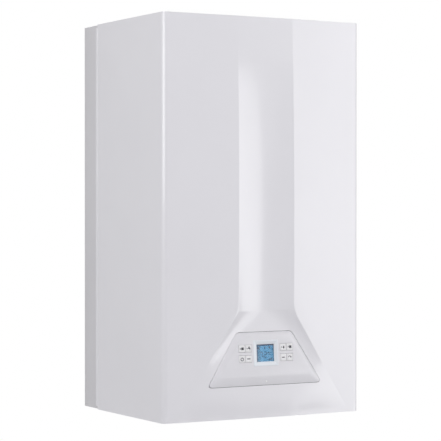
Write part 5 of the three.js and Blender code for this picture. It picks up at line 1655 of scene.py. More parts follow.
    def build_window(self) -> None:
        """Makes the frame in the window, lighter and bluer than the panel as painted glow from the
        display, then the lens and the lit panel behind it.
        """
        half_x = self.window_width / 2 + self.frame_lap - 0.1
        half_up = self.window_height / 2 + self.frame_lap - 0.1
        opening_x, opening_up = self.opening
        levels = [
            (half_x, half_up, self.face_y + 0.25),
            (half_x - 0.5, half_up - 0.5, self.face_y - 0.2),
            (half_x - 1.5, half_up - 1.5, self.face_y - 0.2),
            (opening_x + 0.6, opening_up + 0.6, self.face_y + 1.7),
            (opening_x, opening_up, self.face_y + 2.35),
        ]
        points = [(sx * x, y, self.display_up + su * up) for x, up, y in levels
                  for sx, su in ((-1, -1), (1, -1), (1, 1), (-1, 1))]
        faces = [(i * 4 + k, i * 4 + (k + 1) % 4, i * 4 + 4 + (k + 1) % 4, i * 4 + 4 + k)
                 for i in range(len(levels) - 1) for k in range(4)]
        frame = Shape.drawn("frame", points, faces)
        frame.modified("SOLIDIFY", thickness=0.35, offset=1)
        frame.cleaned().rounded(0.25, 3, 20)
        # The frame is panel plastic, shown lighter and bluer as painted glow from the display.
        self.keep(self.lean(frame), "display_frame", "frame plastic with painted glow", smooth=30,
                  slot="panel_plastic")
        lens_front = self.face_y + self.wall + CLEAR
        lens_x = self.window_width / 2 - self.window_bevel + self.lens_overlap
        lens_up = self.window_height / 2 - self.window_bevel + self.lens_overlap
        lens = Shape.box("lens", (-lens_x, lens_x), (lens_front, lens_front + self.lens_sheet),
                         (self.display_up - lens_up, self.display_up + lens_up))
        lens.rounded(0.3, 2)
        self.keep(self.lean(lens), "display_lens", "lens", "display_window")
        module_front = lens_front + self.lens_sheet + CLEAR
        module = Shape.box("module", (-23, 23), (module_front, self.board_depth - CLEAR),
                           (self.display_up - 20.5, self.display_up + 20.5))
        module.inset(facing(Axis.Y, -1), 2.0, -0.4)
        module.rounded(0.3, 2)
        self.keep(self.lean(module), "display_panel", "display", "display_module")

    def build_buttons(self) -> None:
        """Makes one button with a slightly crowned cap and copies it to its eight places."""
        front = self.face_y - self.cap_stand
        back = self.face_y + self.wall + CLEAR
        half_x = self.button_width / 2 - self.cap_inset
        half_up = self.button_height / 2 - self.cap_inset
        cap = Shape.box("cap", (-half_x, half_x), (front, back + 1), (-half_up, half_up))
        cap.inset(facing(Axis.Y, -1), 1.2, 0.12)
        cap.inset(facing(Axis.Y, -1), 2.6, 0.05)
        cap.rounded(0.35, 3, 25)
        flange = Shape.box("flange", (-half_x - 0.3, half_x + 0.3), (back, back + 1),
                           (-half_up - 1, half_up + 1)).rounded(0.2, 2)
        stem = Shape.box("stem", (-2.5, 2.5), (back + 0.5, self.board_depth - 1.3), (-2.5, 2.5))
        stem.inset(facing(Axis.Y, 1), 0.8, 0.0).rounded(0.3, 2)
        cap.fused(flange, stem)
        for name, (x, up) in self.button_places().items():
            button = cap.copy(name).moved(x=x, z=up)
            self.keep(self.lean(button), f"{name}_cap", "button plastic", name, smooth=30, body=name)
        cap.discard()

    def build(self) -> None:
        """Makes the whole panel."""
        self.build_fascia()
        self.build_window()
        self.build_buttons()


# ----------------------------------------------------------------------------------------------
# Symbols on the buttons and on the display
# ----------------------------------------------------------------------------------------------


class Mark:
    """A flat sign made of simple outlines, in millimetres about its own middle."""

    def __init__(self, weight: float = 1.35, size: float = 1.15) -> None:
        """Starts empty, with how bold its strokes are and how large it is drawn.

        Args:
            weight: how bold its strokes are.
            size: how large it is drawn.
        """
        self.weight = weight
        self.size = size
        self.outlines: list[Outline] = []

    def bar(self, start: Place, end: Place, width: float) -> Mark:
        """Adds a straight stroke.

        Args:
            start: the middle of one end.
            end: the middle of the other end.
            width: the stroke's width.

        Returns:
            This sign.
        """
        a, b = Vector(start), Vector(end)
        side = (b - a).orthogonal().normalized() * width * self.weight / 2
        self.outlines.append([tuple(p) for p in (a + side, a - side, b - side, b + side)])
        return self

    def arc(self, centre: Place, radius: float, width: float, start: float = 0.0,
            end: float = 360.0, steps: int = 28) -> Mark:
        """Adds a curved stroke between two angles in degrees; a width of twice the radius is a disc.

        Args:
            centre: its middle.
            radius: the radius of the stroke's middle.
            width: the stroke's width.
            start: the angle that it starts at.
            end: the angle that it ends at.
            steps: how many facets it has.

        Returns:
            This sign.
        """
        half = width * self.weight / 2
        inner, outer = max(radius - half, 0.0), radius + half
        turns = [math.radians(start + (end - start) * i / steps) for i in range(steps + 1)]
        points = [(centre[0] + outer * math.cos(t), centre[1] + outer * math.sin(t)) for t in turns]
        if inner > 0:
            points += [(centre[0] + inner * math.cos(t), centre[1] + inner * math.sin(t))
                       for t in reversed(turns)]
        self.outlines.append(points)
        return self

    def disc(self, centre: Place, radius: float) -> Mark:
        """Adds a round dot."""
        self.outlines.append(spots(*centre, radius, 24))
        return self

    def form(self, *points: Place) -> Mark:
        """Adds a closed outline."""
        self.outlines.append(list(points))
        return self

    def plus(self, x: float, up: float, size: float, width: float = 0.95) -> Mark:
        """Adds a plus sign.

        Args:
            x: its middle across.
            up: its middle upwards.
            size: its width and height.
            width: the width of its arms.

        Returns:
            This sign.
        """
        half, arm = width / 2, size / 2
        corner = [(half, arm), (half, half), (arm, half)]
        points = []
        for _ in range(4):
            points += [(x + a, up + b) for a, b in corner]
            corner = [(b, -a) for a, b in corner]
        return self.form(*points)

    def minus(self, x: float, up: float, size: float, width: float = 0.9) -> Mark:
        """Adds a minus sign."""
        return self.bar((x - size / 2, up), (x + size / 2, up), width)

    def tap(self, x: float, up: float) -> Mark:
        """Adds a water tap.

        Args:
            x: its middle across.
            up: its middle upwards.

        Returns:
            This sign.
        """
        self.bar((x - 2.2, up + 0.5), (x + 1.7, up + 0.5), 1.5)
        self.bar((x + 1.1, up - 0.2), (x + 1.1, up - 1.3), 1.3)
        self.bar((x - 0.6, up + 1.2), (x - 0.6, up + 2.1), 0.9)
        return self.bar((x - 1.8, up + 2.4), (x + 0.7, up + 2.4), 0.6).disc((x + 1.1, up - 2.2), 0.5)

    def radiator(self, x: float, up: float) -> Mark:
        """Adds a column radiator.

        Args:
            x: its middle across.
            up: its middle upwards.

        Returns:
            This sign.
        """
        for i in range(4):
            self.bar((x - 1.8 + 1.2 * i, up - 2.0), (x - 1.8 + 1.2 * i, up + 2.0), 0.85)
        return self.bar((x - 2.2, up + 1.3), (x + 2.2, up + 1.3), 0.5).bar(
            (x - 2.2, up - 1.3), (x + 2.2, up - 1.3), 0.5)

    def flame(self, x: float, up: float, size: float = 1.0) -> Mark:
        """Adds a flame.

        Args:
            x: its middle across.
            up: its middle upwards.
            size: its scale.

        Returns:
            This sign.
        """
        points = ((0.2, 2.6), (1.0, 1.2), (1.5, 0.1), (1.5, -1.0), (0.9, -2.0), (0.0, -2.4),
                  (-0.9, -2.0), (-1.5, -1.1), (-1.4, 0.0), (-0.8, 0.7), (-0.5, 1.3))
        return self.form(*((x + a * size, up + b * size) for a, b in points))

    def power(self, x: float, up: float) -> Mark:
        """Adds a power sign: an open ring and a bar."""
        self.arc((x, up), 2.3, 0.8, 125, 415)
        return self.bar((x, up + 0.2), (x, up + 2.9), 0.8)

    def reset(self, x: float, up: float) -> Mark:
        """Adds a reset arrow."""
        self.arc((x, up - 0.6), 2.2, 0.7, 20, 175)
        return self.form((x + 1.0, up + 0.2), (x + 3.3, up + 0.5), (x + 2.1, up - 1.5))

    def digit(self, lit: str, x: float, up: float, width: float = 5.6, height: float = 9.6,
              stroke: float = 1.15) -> Mark:
        """Adds a seven-segment digit; lit names its segments from a to g.

        Args:
            lit: the segments that show.
            x: its middle across.
            up: its middle upwards.
            width: its width.
            height: its height.
            stroke: the width of a segment.

        Returns:
            This sign.
        """
        left, right, half = x - width / 2, x + width / 2, height / 2
        gap = stroke * 0.62
        ends = {
            "a": ((left + gap, up + half), (right - gap, up + half)),
            "b": ((right, up + half - gap), (right, up + gap)),
            "c": ((right, up - gap), (right, up - half + gap)),
            "d": ((left + gap, up - half), (right - gap, up - half)),
            "e": ((left, up - gap), (left, up - half + gap)),
            "f": ((left, up + half - gap), (left, up + gap)),
            "g": ((left + gap, up), (right - gap, up)),
        }
        for name in lit:
            self.bar(*ends[name], stroke)
        return self

    def drawn(self, name: str, x: float, up: float, level: float, film: Span) -> Shape:
        """Draws every outline as one thin mesh at a place on the panel.

        Args:
            name: the mesh's name.
            x: the place across.
            up: the place up the panel.
            level: the y of what it is printed on.
            film: its front and back, as distances behind that level.

        Returns:
            The film.
        """
        span = (level + film[0], level + film[1])
        placed = [[(x + a * self.size, up + b * self.size) for a, b in outline]
                  for outline in self.outlines]
        return together(Shape.slab(name, outline, span, Axis.Y) for outline in placed)


BUTTON_MARKS = {
    "button_left_upper_outer": lambda: Mark().plus(-3.0, 0, 3.0).radiator(1.3, 0),
    "button_left_upper_inner": lambda: Mark().plus(-3.0, 0, 3.0).tap(1.3, 0),
    "button_left_lower_outer": lambda: Mark().power(0, -0.2),
    "button_left_lower_inner": lambda: Mark().minus(0, 0, 5.6, 1.1),
    "button_right_upper_outer": lambda: Mark().plus(-3.0, 0, 2.8).radiator(1.3, 0),
    "button_right_upper_inner": lambda: Mark().plus(-3.0, 0, 2.8).flame(1.0, 0, 0.95),
    "button_right_lower_outer": lambda: Mark().reset(-0.3, 0),
    "button_right_lower_inner": lambda: Mark().minus(0, 0, 4.6, 1.0),
}


@dataclass
class Legends(SubAssembly):
    """The buttons' symbols and the display's signs, and the small round plug in the panel's rim."""

    panel: ControlPanel
    crown: float = 0.42
    symbol_film: Span = (-0.1, 0.12)
    sign_film: Span = (0.45, 0.62)

    @property
    def body(self) -> str:
        """The body that its pieces ride on."""
        return self.panel.body

    def build(self) -> None:
        """Prints the signs and sets the plug."""
        panel = self.panel
        crown = panel.face_y - self.crown
        for name, (x, up) in panel.button_places().items():
            film = BUTTON_MARKS[name]().drawn(f"{name}_symbol", x, up, crown, self.symbol_film)
            self.keep(panel.lean(film), f"{name}_symbol", "symbol ink", slot="button_plastic",
                      body=name)
        signs = Mark(1.15, 1.0).digit("abc", -7.6, -3.2).digit("abged", 1.2, -3.2)
        signs.arc((7.2, 0.6), 0.8, 0.5).arc((10.6, -1.2), 1.7, 0.6, 50, 310, 18)
        signs.radiator(-12.6, 8.6).flame(0.0, 8.6, 0.8).tap(10.4, 8.4)
        for i in range(4):
            signs.bar((7.0 + 2.1 * i, -12.4), (7.0 + 2.1 * i, -11.2 + 0.7 * i), 1.3)
        lens_back = panel.face_y + panel.wall + CLEAR + panel.lens_sheet
        film = signs.drawn("display_signs", 0, panel.display_up, lens_back, self.sign_film)
        self.keep(panel.lean(film), "display_signs", "display ink", slot="display")
        plug = Shape.lathe("plug", [(0, -3.35), (1.2, -3.3), (1.75, -3.0), (1.9, -2.4), (1.9, -1.0),
                                    (0, -1.0)], (0, 0, 6.6), Axis.Y, 32)
        self.keep(panel.lean(plug), "fascia_plug", "button plastic", slot="panel_plastic")


# ----------------------------------------------------------------------------------------------
# Chassis: rear frame, hanging rail, top plate, flue collar, cradle and connections
# ----------------------------------------------------------------------------------------------


def slot_outline(x: float, y: float, length: float, width: float) -> Outline:
    """Gives the outline of a slot with round ends, long across."""
    return round_outline((x - length / 2, x + length / 2), (y - width / 2, y + width / 2),
                         width / 2 - 0.01)


def aimed(shape: Shape, axis: Axis, out: int) -> Shape:
    """Turns a shape that stands up on the origin so that it points along an axis.

    Args:
        shape: the shape.
        axis: the axis.
        out: +1 or -1 along it.

    Returns:
        The same shape.
    """
    turns = {
        (Axis.X, 1): (90, Axis.Y), (Axis.X, -1): (-90, Axis.Y),
        (Axis.Y, 1): (-90, Axis.X), (Axis.Y, -1): (90, Axis.X),
        (Axis.Z, 1): (0, Axis.X), (Axis.Z, -1): (180, Axis.X),
    }
    return shape.turned(*turns[axis, out])


def screws(places: Sequence[Point], axis: Axis, out: int, radius: float = 3.6,
           pressed: bool = False) -> Shape:
    """Makes pan heads that sit on a face.

    Args:
        places: where each head meets the face.
        axis: the axis that the heads point along.
        out: +1 or -1 along it.
        radius: the head's radius.
        pressed: True for a plain rivet head with no cross in it.

    Returns:
        All the heads as one shape.
    """
    rise = radius * 0.62
    profile = [(0, rise), (radius * 0.5, rise * 0.96), (radius * 0.8, rise * 0.78),
               (radius * 0.96, rise * 0.45), (radius, rise * 0.15), (radius, -0.3), (0, -0.3)]
    head = Shape.lathe("head", profile, (0, 0, 0), Axis.Z, 28)
    if not pressed:
        crossed(head, radius * 0.55, radius * 0.12, (rise * 0.35, rise + 1))
    return aimed(head, axis, out).row_of(places)


def crossed(head: Shape, arm: float, half: float, depth: Span) -> Shape:
    """Presses a cross into a head that stands on the z axis."""
    return head.cut(Shape.box("cross", (-arm, arm), (-half, half), depth),
                    Shape.box("cross", (-half, half), (-arm, arm), depth))


def hex_nut(across: float, height: float, bore: float, x: float, y: float, z: float) -> Shape:
    """Makes an upright hexagon nut with chamfered corners, standing on z.

    Args:
        across: half its width across the flats.
        height: its height.
        bore: the bore's radius.
        x: the place of its axis across.
        y: the place of its axis in depth.
        z: the height of its foot.

    Returns:
        The nut.
    """
    reach = across / math.cos(math.pi / 6)
    nut = Shape.slab("nut", spots(x, y, reach, 6), (z, z + height), Axis.Z)
    flat = across * 1.01
    keep = Shape.lathe("keep", [(0, z - 1), (flat - 1, z - 1), (flat - 0.6, z),
                                (reach + 0.1, z + reach - flat),
                                (reach + 0.1, z + height - reach + flat), (flat - 0.6, z + height),
                                (flat - 1, z + height + 1), (0, z + height + 1)], (x, y, 0), Axis.Z, 48)
    hole = Shape.rod("hole", bore, (x, y, z - 1), (x, y, z + height + 1), 40)
    return nut.combined("INTERSECT", keep).cut(hole).rounded(0.3, 2)


@dataclass
class RearFrame(SubAssembly):
    """The painted pan on the wall, with its grooves, hanging rail and recess."""

    half_width: float = 199.0
    depth: float = 67.0
    lip_back: float = -53.5
    low: float = 1.0
    high: float = 699.0
    sheet: float = 1.5
    corner: float = 1.0
    pocket_x: float = 165.0
    pocket_z: Span = (630.0, 680.0)
    pocket_depth: float = 8.0
    rail_half: float = 162.0
    slots: tuple[float, ...] = (-110.0, 110.0)

    def build_pan(self) -> None:
        """Bends the pan: hollow, open to the front and below, with grooves pressed in its back."""
        half = self.half_width
        pan = Shape.tile("pan", (-half, half), (self.low, self.high), self.corner, (-self.depth, 0))
        inner = self.sheet
        hollow = Shape.tile("hollow", (-half + inner, half - inner), (self.low - 20, self.high - inner),
                            0.4, (-self.depth - 5, -inner))
        pan.cut(hollow)
        pocket = Shape.tile("pocket", (-self.pocket_x, self.pocket_x), self.pocket_z, 3,
                            (-self.pocket_depth, 1))
        shell = Shape.tile("shell", (-self.pocket_x - inner, self.pocket_x + inner),
                           (self.pocket_z[0] - inner, self.pocket_z[1] + inner), 4.5,
                           (-self.pocket_depth - inner, -0.75))
        shell.rounded(0.8, 3)
        pan.fused(shell).cut(pocket)
        for x in (-110.0, 0.0, 110.0):
            groove = Shape.slab("groove", slot_outline(x, 150, 60, 26), (-0.6, 1), Axis.Y)
            pan.cut(groove)
        for x in (-181.0, 181.0):
            ridge = Shape.tile("ridge", (x - 5, x + 5), (40, 600), 4.9, (-0.7, 1))
            pan.cut(ridge)
        pan.rounded(0.35, 2)
        self.keep(pan, "rear_frame_pan", "frame paint", "rear_frame", smooth=30)

    def build_returns(self) -> None:
        """Adds the inward lips of the sides and top, and the bead that the casing's back edge meets,
        whose lighter casing paint is a painted highlight along the seam.
        """
        for side, hand in SIDES:
            x = sorted((side * 196.7, side * 198.2))
            lip = Shape.box("lip", tuple(x), (-self.depth, self.lip_back), (12.0, 688.0))
            for z in (60.0, 350.0, 640.0):
                lip.cut(Shape.rod("hole", 2.2, (x[0] - 1, -60, z), (x[1] + 1, -60, z), 24))
            self.keep(lip.rounded(0.3, 2), f"frame_lip_{hand}", "frame paint")
            # The bead takes the lighter, glossier casing paint instead of its own frame paint: a
            # painted highlight line along the seam.
            bead = [(side * (199.0 + 0.95 * math.cos(t)), -50.6 + 3.6 * math.sin(t))
                    for t in (math.pi * (i / 12 - 0.5) for i in range(13))]
            trim = Shape.slab("bead", bead + [(side * 198.4, -47.0), (side * 198.4, -54.2)],
                              (6.0, 694.0), Axis.Z)
            self.keep(trim, f"frame_bead_{hand}", "casing paint", slot="frame_paint")
        top = Shape.box("top", (-195.5, 195.5), (self.lip_back - self.sheet, self.lip_back),
                        (681.0, 698.0))
        self.keep(top.rounded(0.3, 2), "frame_top_return", "frame paint")

    def build_rail(self) -> None:
        """Makes the hanging rail: a slotted strip on the wall with a folded ledge."""
        half = self.rail_half
        strip = Shape.tile("rail", (-half, half), (643.7, 679.7), 2, (-1.5, 0))
        strip.fused(Shape.box("ledge", (-half, half), (-7.7, -0.5), (678.2, 679.7)))
        strip.cut(Shape.box("trim", (-half - 1, half + 1), (-8, -1.5), (640, 676)))
        for x in self.slots:
            strip.cut(Shape.slab("slot", slot_outline(x, 661.7, 24, 8), (-3, 1), Axis.Y))
            strip.cut(Shape.rod("hole", 3.2, (x * 0.5, -3, 661.7), (x * 0.5, 1, 661.7), 28))
        self.keep(strip.rounded(0.3, 2), "hanging_rail", "galvanised", "wall_rail", smooth=30)

    def build(self) -> None:
        """Makes the frame and its rail."""
        self.build_pan()
        self.build_returns()
        self.build_rail()


@dataclass
class TopPlate(SubAssembly):
    """The sheet lid inside the casing's top, with the flue collar on it."""

    half_width: float = 198.2
    front: float = -306.5
    back: float = -55.3
    level: float = 696.7
    sheet: float = 1.5
    chamfer: float = 10.0
    flue: Place = (0.0, -150.0)
    flue_hole: float = 50.3
    collar_radius: float = 66.0
    collar_bore: float = 48.5
    screw_ring: float = 58.0
    ports: Span = (-120.0, 120.0)

    def build(self) -> None:
        """Makes the plate, the collar with its gasket and screws, and the inspection caps."""
        half, cut = self.half_width, self.chamfer
        outline = [(-half, self.back), (half, self.back), (half, self.front + cut),
                   (half - cut, self.front), (-half + cut, self.front), (-half, self.front + cut)]
        plate = Shape.slab("lid", outline, (self.level, self.level + self.sheet), Axis.Z)
        plate.fused(Shape.box("flange", (-186.2, 186.2), (-56.8, -55.3), (679.7, 697.5)))
        x, y = self.flue
        plate.cut(Shape.rod("hole", self.flue_hole, (x, y, 690), (x, y, 705), 96))
        for port in self.ports:
            plate.cut(Shape.rod("port", 11, (port, y, 690), (port, y, 705), 48))
        plate.rounded(0.3, 2)
        self.keep(plate, "top_lid", "galvanised", "top_plate", smooth=30)
        self.build_collar()
        cap = Shape.lathe("cap", [(0, 699.5), (11.5, 699.5), (13.5, 698.9), (14, 698.2), (10.8, 698.2),
                                  (10.6, 695.7), (0, 695.7)], (0, y, 0), Axis.Z, 48)
        self.keep(cap.row_of([(port, 0, 0) for port in self.ports]), "sampling_caps", "dark plastic")

    def build_collar(self) -> None:
        """Turns the flue collar with its rolled rim, and sets its screws and gasket."""
        x, y = self.flue
        bore, rim = self.collar_bore, self.collar_radius
        profile = [(bore, 689.5), (bore + 1.5, 689.5), (bore + 1.5, 698.5), (rim - 0.4, 698.5),
                   (rim, 698.8), (rim, 699.4), (rim - 0.4, 699.7), (bore + 2.5, 699.7),
                   (bore + 0.8, 699.5), (bore, 698.8), (bore, 697.6), (bore + 0.5, 697.0),
                   (bore + 0.5, 694.8), (bore, 694.2), (bore, 689.5)]
        collar = Shape.lathe("collar", profile, (x, y, 0), Axis.Z, 96)
        heads = [(px, py, 0) for px, py in spots(x, y, self.screw_ring, 4, 45)]
        for px, py, _ in heads:
            collar.cut(Shape.rod("dish", 4.2, (px, py, 699.0), (px, py, 702), 28))
        self.keep(collar, "flue_collar_ring", "cast aluminium", "flue_collar", smooth=32)
        screw = Shape.lathe("screw", [(0, 699.68), (2.4, 699.6), (3.3, 699.2), (3.3, 698.9),
                                      (0, 698.9)], (0, 0, 0), Axis.Z, 24)
        crossed(screw, 1.8, 0.4, (699.3, 701))
        self.keep_screws(screw.row_of(heads), "flue_collar_screws")
        gasket = Shape.lathe("gasket", [(bore + 2.2, 698.1), (rim + 1.2, 698.1), (rim + 1.6, 698.35),
                                        (rim + 1.2, 698.55), (bore + 2.2, 698.55), (bore + 2.2, 698.1)],
                             (x, y, 0), Axis.Z, 96)
        self.keep(gasket, "flue_collar_gasket", "seal rubber", slot="hose_rubber")


@dataclass
class Underside(SubAssembly):
    """What shows below the casing: the connection plate, the cradle, tails, filling tap and gland."""

    level: float = 48.0
    sheet: float = 2.0
    tails: tuple[tuple[str, float, float], ...] = (
        ("heating_flow_tail", -130.0, 69.7),
        ("hot_water_tail", -65.0, 66.7),
        ("heating_return_tail", 130.0, 62.7),
    )
    tail_y: float = -70.0
    tail_radius: float = 9.0
    tail_bore: float = 7.0
    tail_foot: float = 2.0
    nut_foot: float = 31.7
    holes: tuple[float, ...] = (-130.0, -65.0, 0.0, 65.0, 130.0)
    hole_radius: float = 9.3
    tap: Place = (65.0, 56.3)
    gland: Place = (97.5, -108.0)
    hinge: Place = (-299.755, 44.975)

    def build_plate(self) -> None:
        """Bends the plate that carries the connections, and sets its screws."""
        low = self.level - self.sheet
        plate = Shape.tile("plate", (-177.7, 177.7), (-130, -1.8), 3, (low, self.level), Axis.Z)
        plate.fused(Shape.tile("fold", (-177.7, 177.7), (34, 47.6), 3, (-130, -128)))
        for x, y in (*((x, self.tail_y) for x in self.holes), self.gland):
            plate.cut(Shape.rod("hole", self.hole_radius, (x, y, 40), (x, y, 55), 48))
        plate.rounded(0.4, 2)
        self.keep(plate, "connections_plate", "galvanised", "connection_plate", smooth=30)
        places = [(x, y, low) for x in (-165.0, 165.0) for y in (-118.0, -14.0)]
        self.keep_screws(screws(places, Axis.Z, -1, 3.4), "connections_plate_screws")

    def build_cradle(self) -> None:
        """Bends the two arms and the strip that carry the control box."""
        y, z = self.hinge
        arms = []
        for side in (-1, 1):
            x = tuple(sorted((side * 178.0, side * 180.0)))
            outline = [(-3.8, 30), (-3.8, 62), (-296, 62), (-302, 60.5), (-304.6, 56.5), (-305.7, 51),
                       (-305.7, 41), (-304.4, 35.5), (-301, 31.4), (-296, 30)]
            arm = Shape.slab("arm", outline, x, Axis.X)
            arm.cut(Shape.rod("hole", 4.3, (x[0] - 1, y, z), (x[1] + 1, y, z), 40))
            for middle in (-230.0, -160.0, -90.0):
                window = slot_outline(middle, 46, 42, 12)
                arm.cut(Shape.slab("window", window, (x[0] - 1, x[1] + 1), Axis.X))
            arms.append(arm.rounded(0.3, 2))
        strip = Shape.box("strip", (-180, 180), (-3.8, -1.8), (30, 44)).rounded(0.3, 2)
        self.keep(together([*arms, strip]), "cradle_arms", "galvanised", "control_cradle", smooth=30)

    def build_tails(self) -> None:
        """Turns the three water tails with their threads and chamfered hexagon nuts."""
        for name, x, top in self.tails:
            y, foot, bore, radius = self.tail_y, self.tail_foot, self.tail_bore, self.tail_radius
            profile = [(bore, foot), (radius - 0.8, foot), (radius - 0.2, foot + 0.8)]
            level = foot + 1.2
            while level < foot + 20:
                profile += [(radius - 0.05, level), (radius - 0.75, level + 0.7),
                            (radius - 0.05, level + 1.4)]
                level += 1.5
            profile += [(radius - 0.6, level + 0.6), (radius - 0.6, level + 3), (radius, level + 4),
                        (radius, top), (bore, top), (bore, foot)]
            tail = Shape.lathe("tail", profile, (x, y, 0), Axis.Z, 48)
            self.keep(tail, f"{name}_pipe", "copper", name, smooth=40)
            nut = hex_nut(12.9, 14.0, radius - 0.3, x, y, self.nut_foot)
            self.keep(nut, f"{name}_nut", "brass", smooth=30)

    def build_knob(self, name: str, finish: str, place: Point, dial: bool) -> None:
        """Moulds a fluted knob that points forwards.

        Args:
            name: the frame node that it replaces, which is also the body that it turns with.
            finish: its finish.
            place: the middle of its front face.
            dial: True for a raised ring on the face instead of a grip bar.
        """
        x, front, z = place
        profile = [(0, front), (9.5, front), (11.6, front + 0.5), (12.8, front + 1.6),
                   (13.5, front + 3.4), (13.5, front + 13.6), (12.6, front + 15.4), (11, front + 16),
                   (5, front + 16), (3.2, front + 17), (3, front + 30), (0, front + 30)]
        knob = Shape.lathe("knob", profile, (x, 0, z), Axis.Y, 72)
        for px, pz in spots(x, z, 15.2, 8, 22.5):
            knob.cut(Shape.rod("flute", 3.2, (px, front - 1, pz), (px, front + 14, pz), 28))
        if dial:
            knob.cut(Shape.lathe("ring", [(5.2, front - 1), (7, front - 1), (7, front + 1),
                                          (5.2, front + 1), (5.2, front - 1)], (x, 0, z), Axis.Y, 48))
        else:
            knob.cut(Shape.box("groove", (x - 6.5, x - 2.2), (front - 1, front + 2.4), (z - 9, z + 9)),
                     Shape.box("groove", (x + 2.2, x + 6.5), (front - 1, front + 2.4), (z - 9, z + 9)))
        knob.rounded(0.45, 3, 28)
        self.keep(knob, f"{name}_grip", finish, name, smooth=34, body=name)

    def build_fittings(self) -> None:
        """Makes the filling tap, the two knobs and the mains lead's gland with its blank."""
        x, z = self.tap
        body = Shape.lathe("tap", [(7, 2), (8.2, 2), (8.9, 2.8), (8.9, 22), (8, 23), (8, 27), (11, 28),
                                   (11, 46), (9, 47.5), (9, 62), (11.5, 63.5), (13, 66.7), (7, 66.7),
                                   (7, 2)], (x, self.tail_y, 0), Axis.Z, 48)
        bonnet = Shape.lathe("bonnet", [(0, -77), (8, -77), (8, -104), (9.6, -105), (9.6, -118),
                                        (8, -119), (8, -130), (6.5, -131), (6.5, -144), (3.2, -144),
                                        (3.2, -130), (0, -130)], (x, 0, z), Axis.Y, 48)
        self.keep(body.joined(bonnet), "filling_tap_body", "brass", "filling_tap")
        self.build_knob("filling_knob", "dark plastic", (x, -160.0, z), False)
        self.build_knob("safety_valve_knob", "red plastic", (SAFETY_VALVE[0], -170.3, SAFETY_VALVE[1]),
                        True)
        x, y = self.gland
        gland = Shape.lathe("gland", [(4.5, 32.3), (7.2, 32.3), (8.6, 33.4), (9, 35), (9, 48.3),
                                      (13, 48.3), (13, 52.8), (12.2, 54.3), (4.5, 54.3), (4.5, 32.3)],
                            (x, y, 0), Axis.Z, 64)
        for px, py in spots(x, y, 9.6, 12):
            gland.cut(Shape.rod("flute", 1.3, (px, py, 30), (px, py, 43), 16))
        gland.rounded(0.3, 2, 35)
        self.keep(gland, "cable_gland_body", "dark plastic", "cable_gland")
        plug = Shape.lathe("plug", [(0, 33.6), (2.5, 33.8), (4.6, 34.6), (4.6, 40), (0, 40)], (x, y, 0),
                           Axis.Z, 40)
        self.keep(plug, "cable_gland_blank", "seal rubber", slot="dark_plastic")

    def build(self) -> None:
        """Makes all of the underside."""
        self.build_plate()
        self.build_cradle()
        self.build_tails()
        self.build_fittings()


# ----------------------------------------------------------------------------------------------
# Control box and its board
# ----------------------------------------------------------------------------------------------


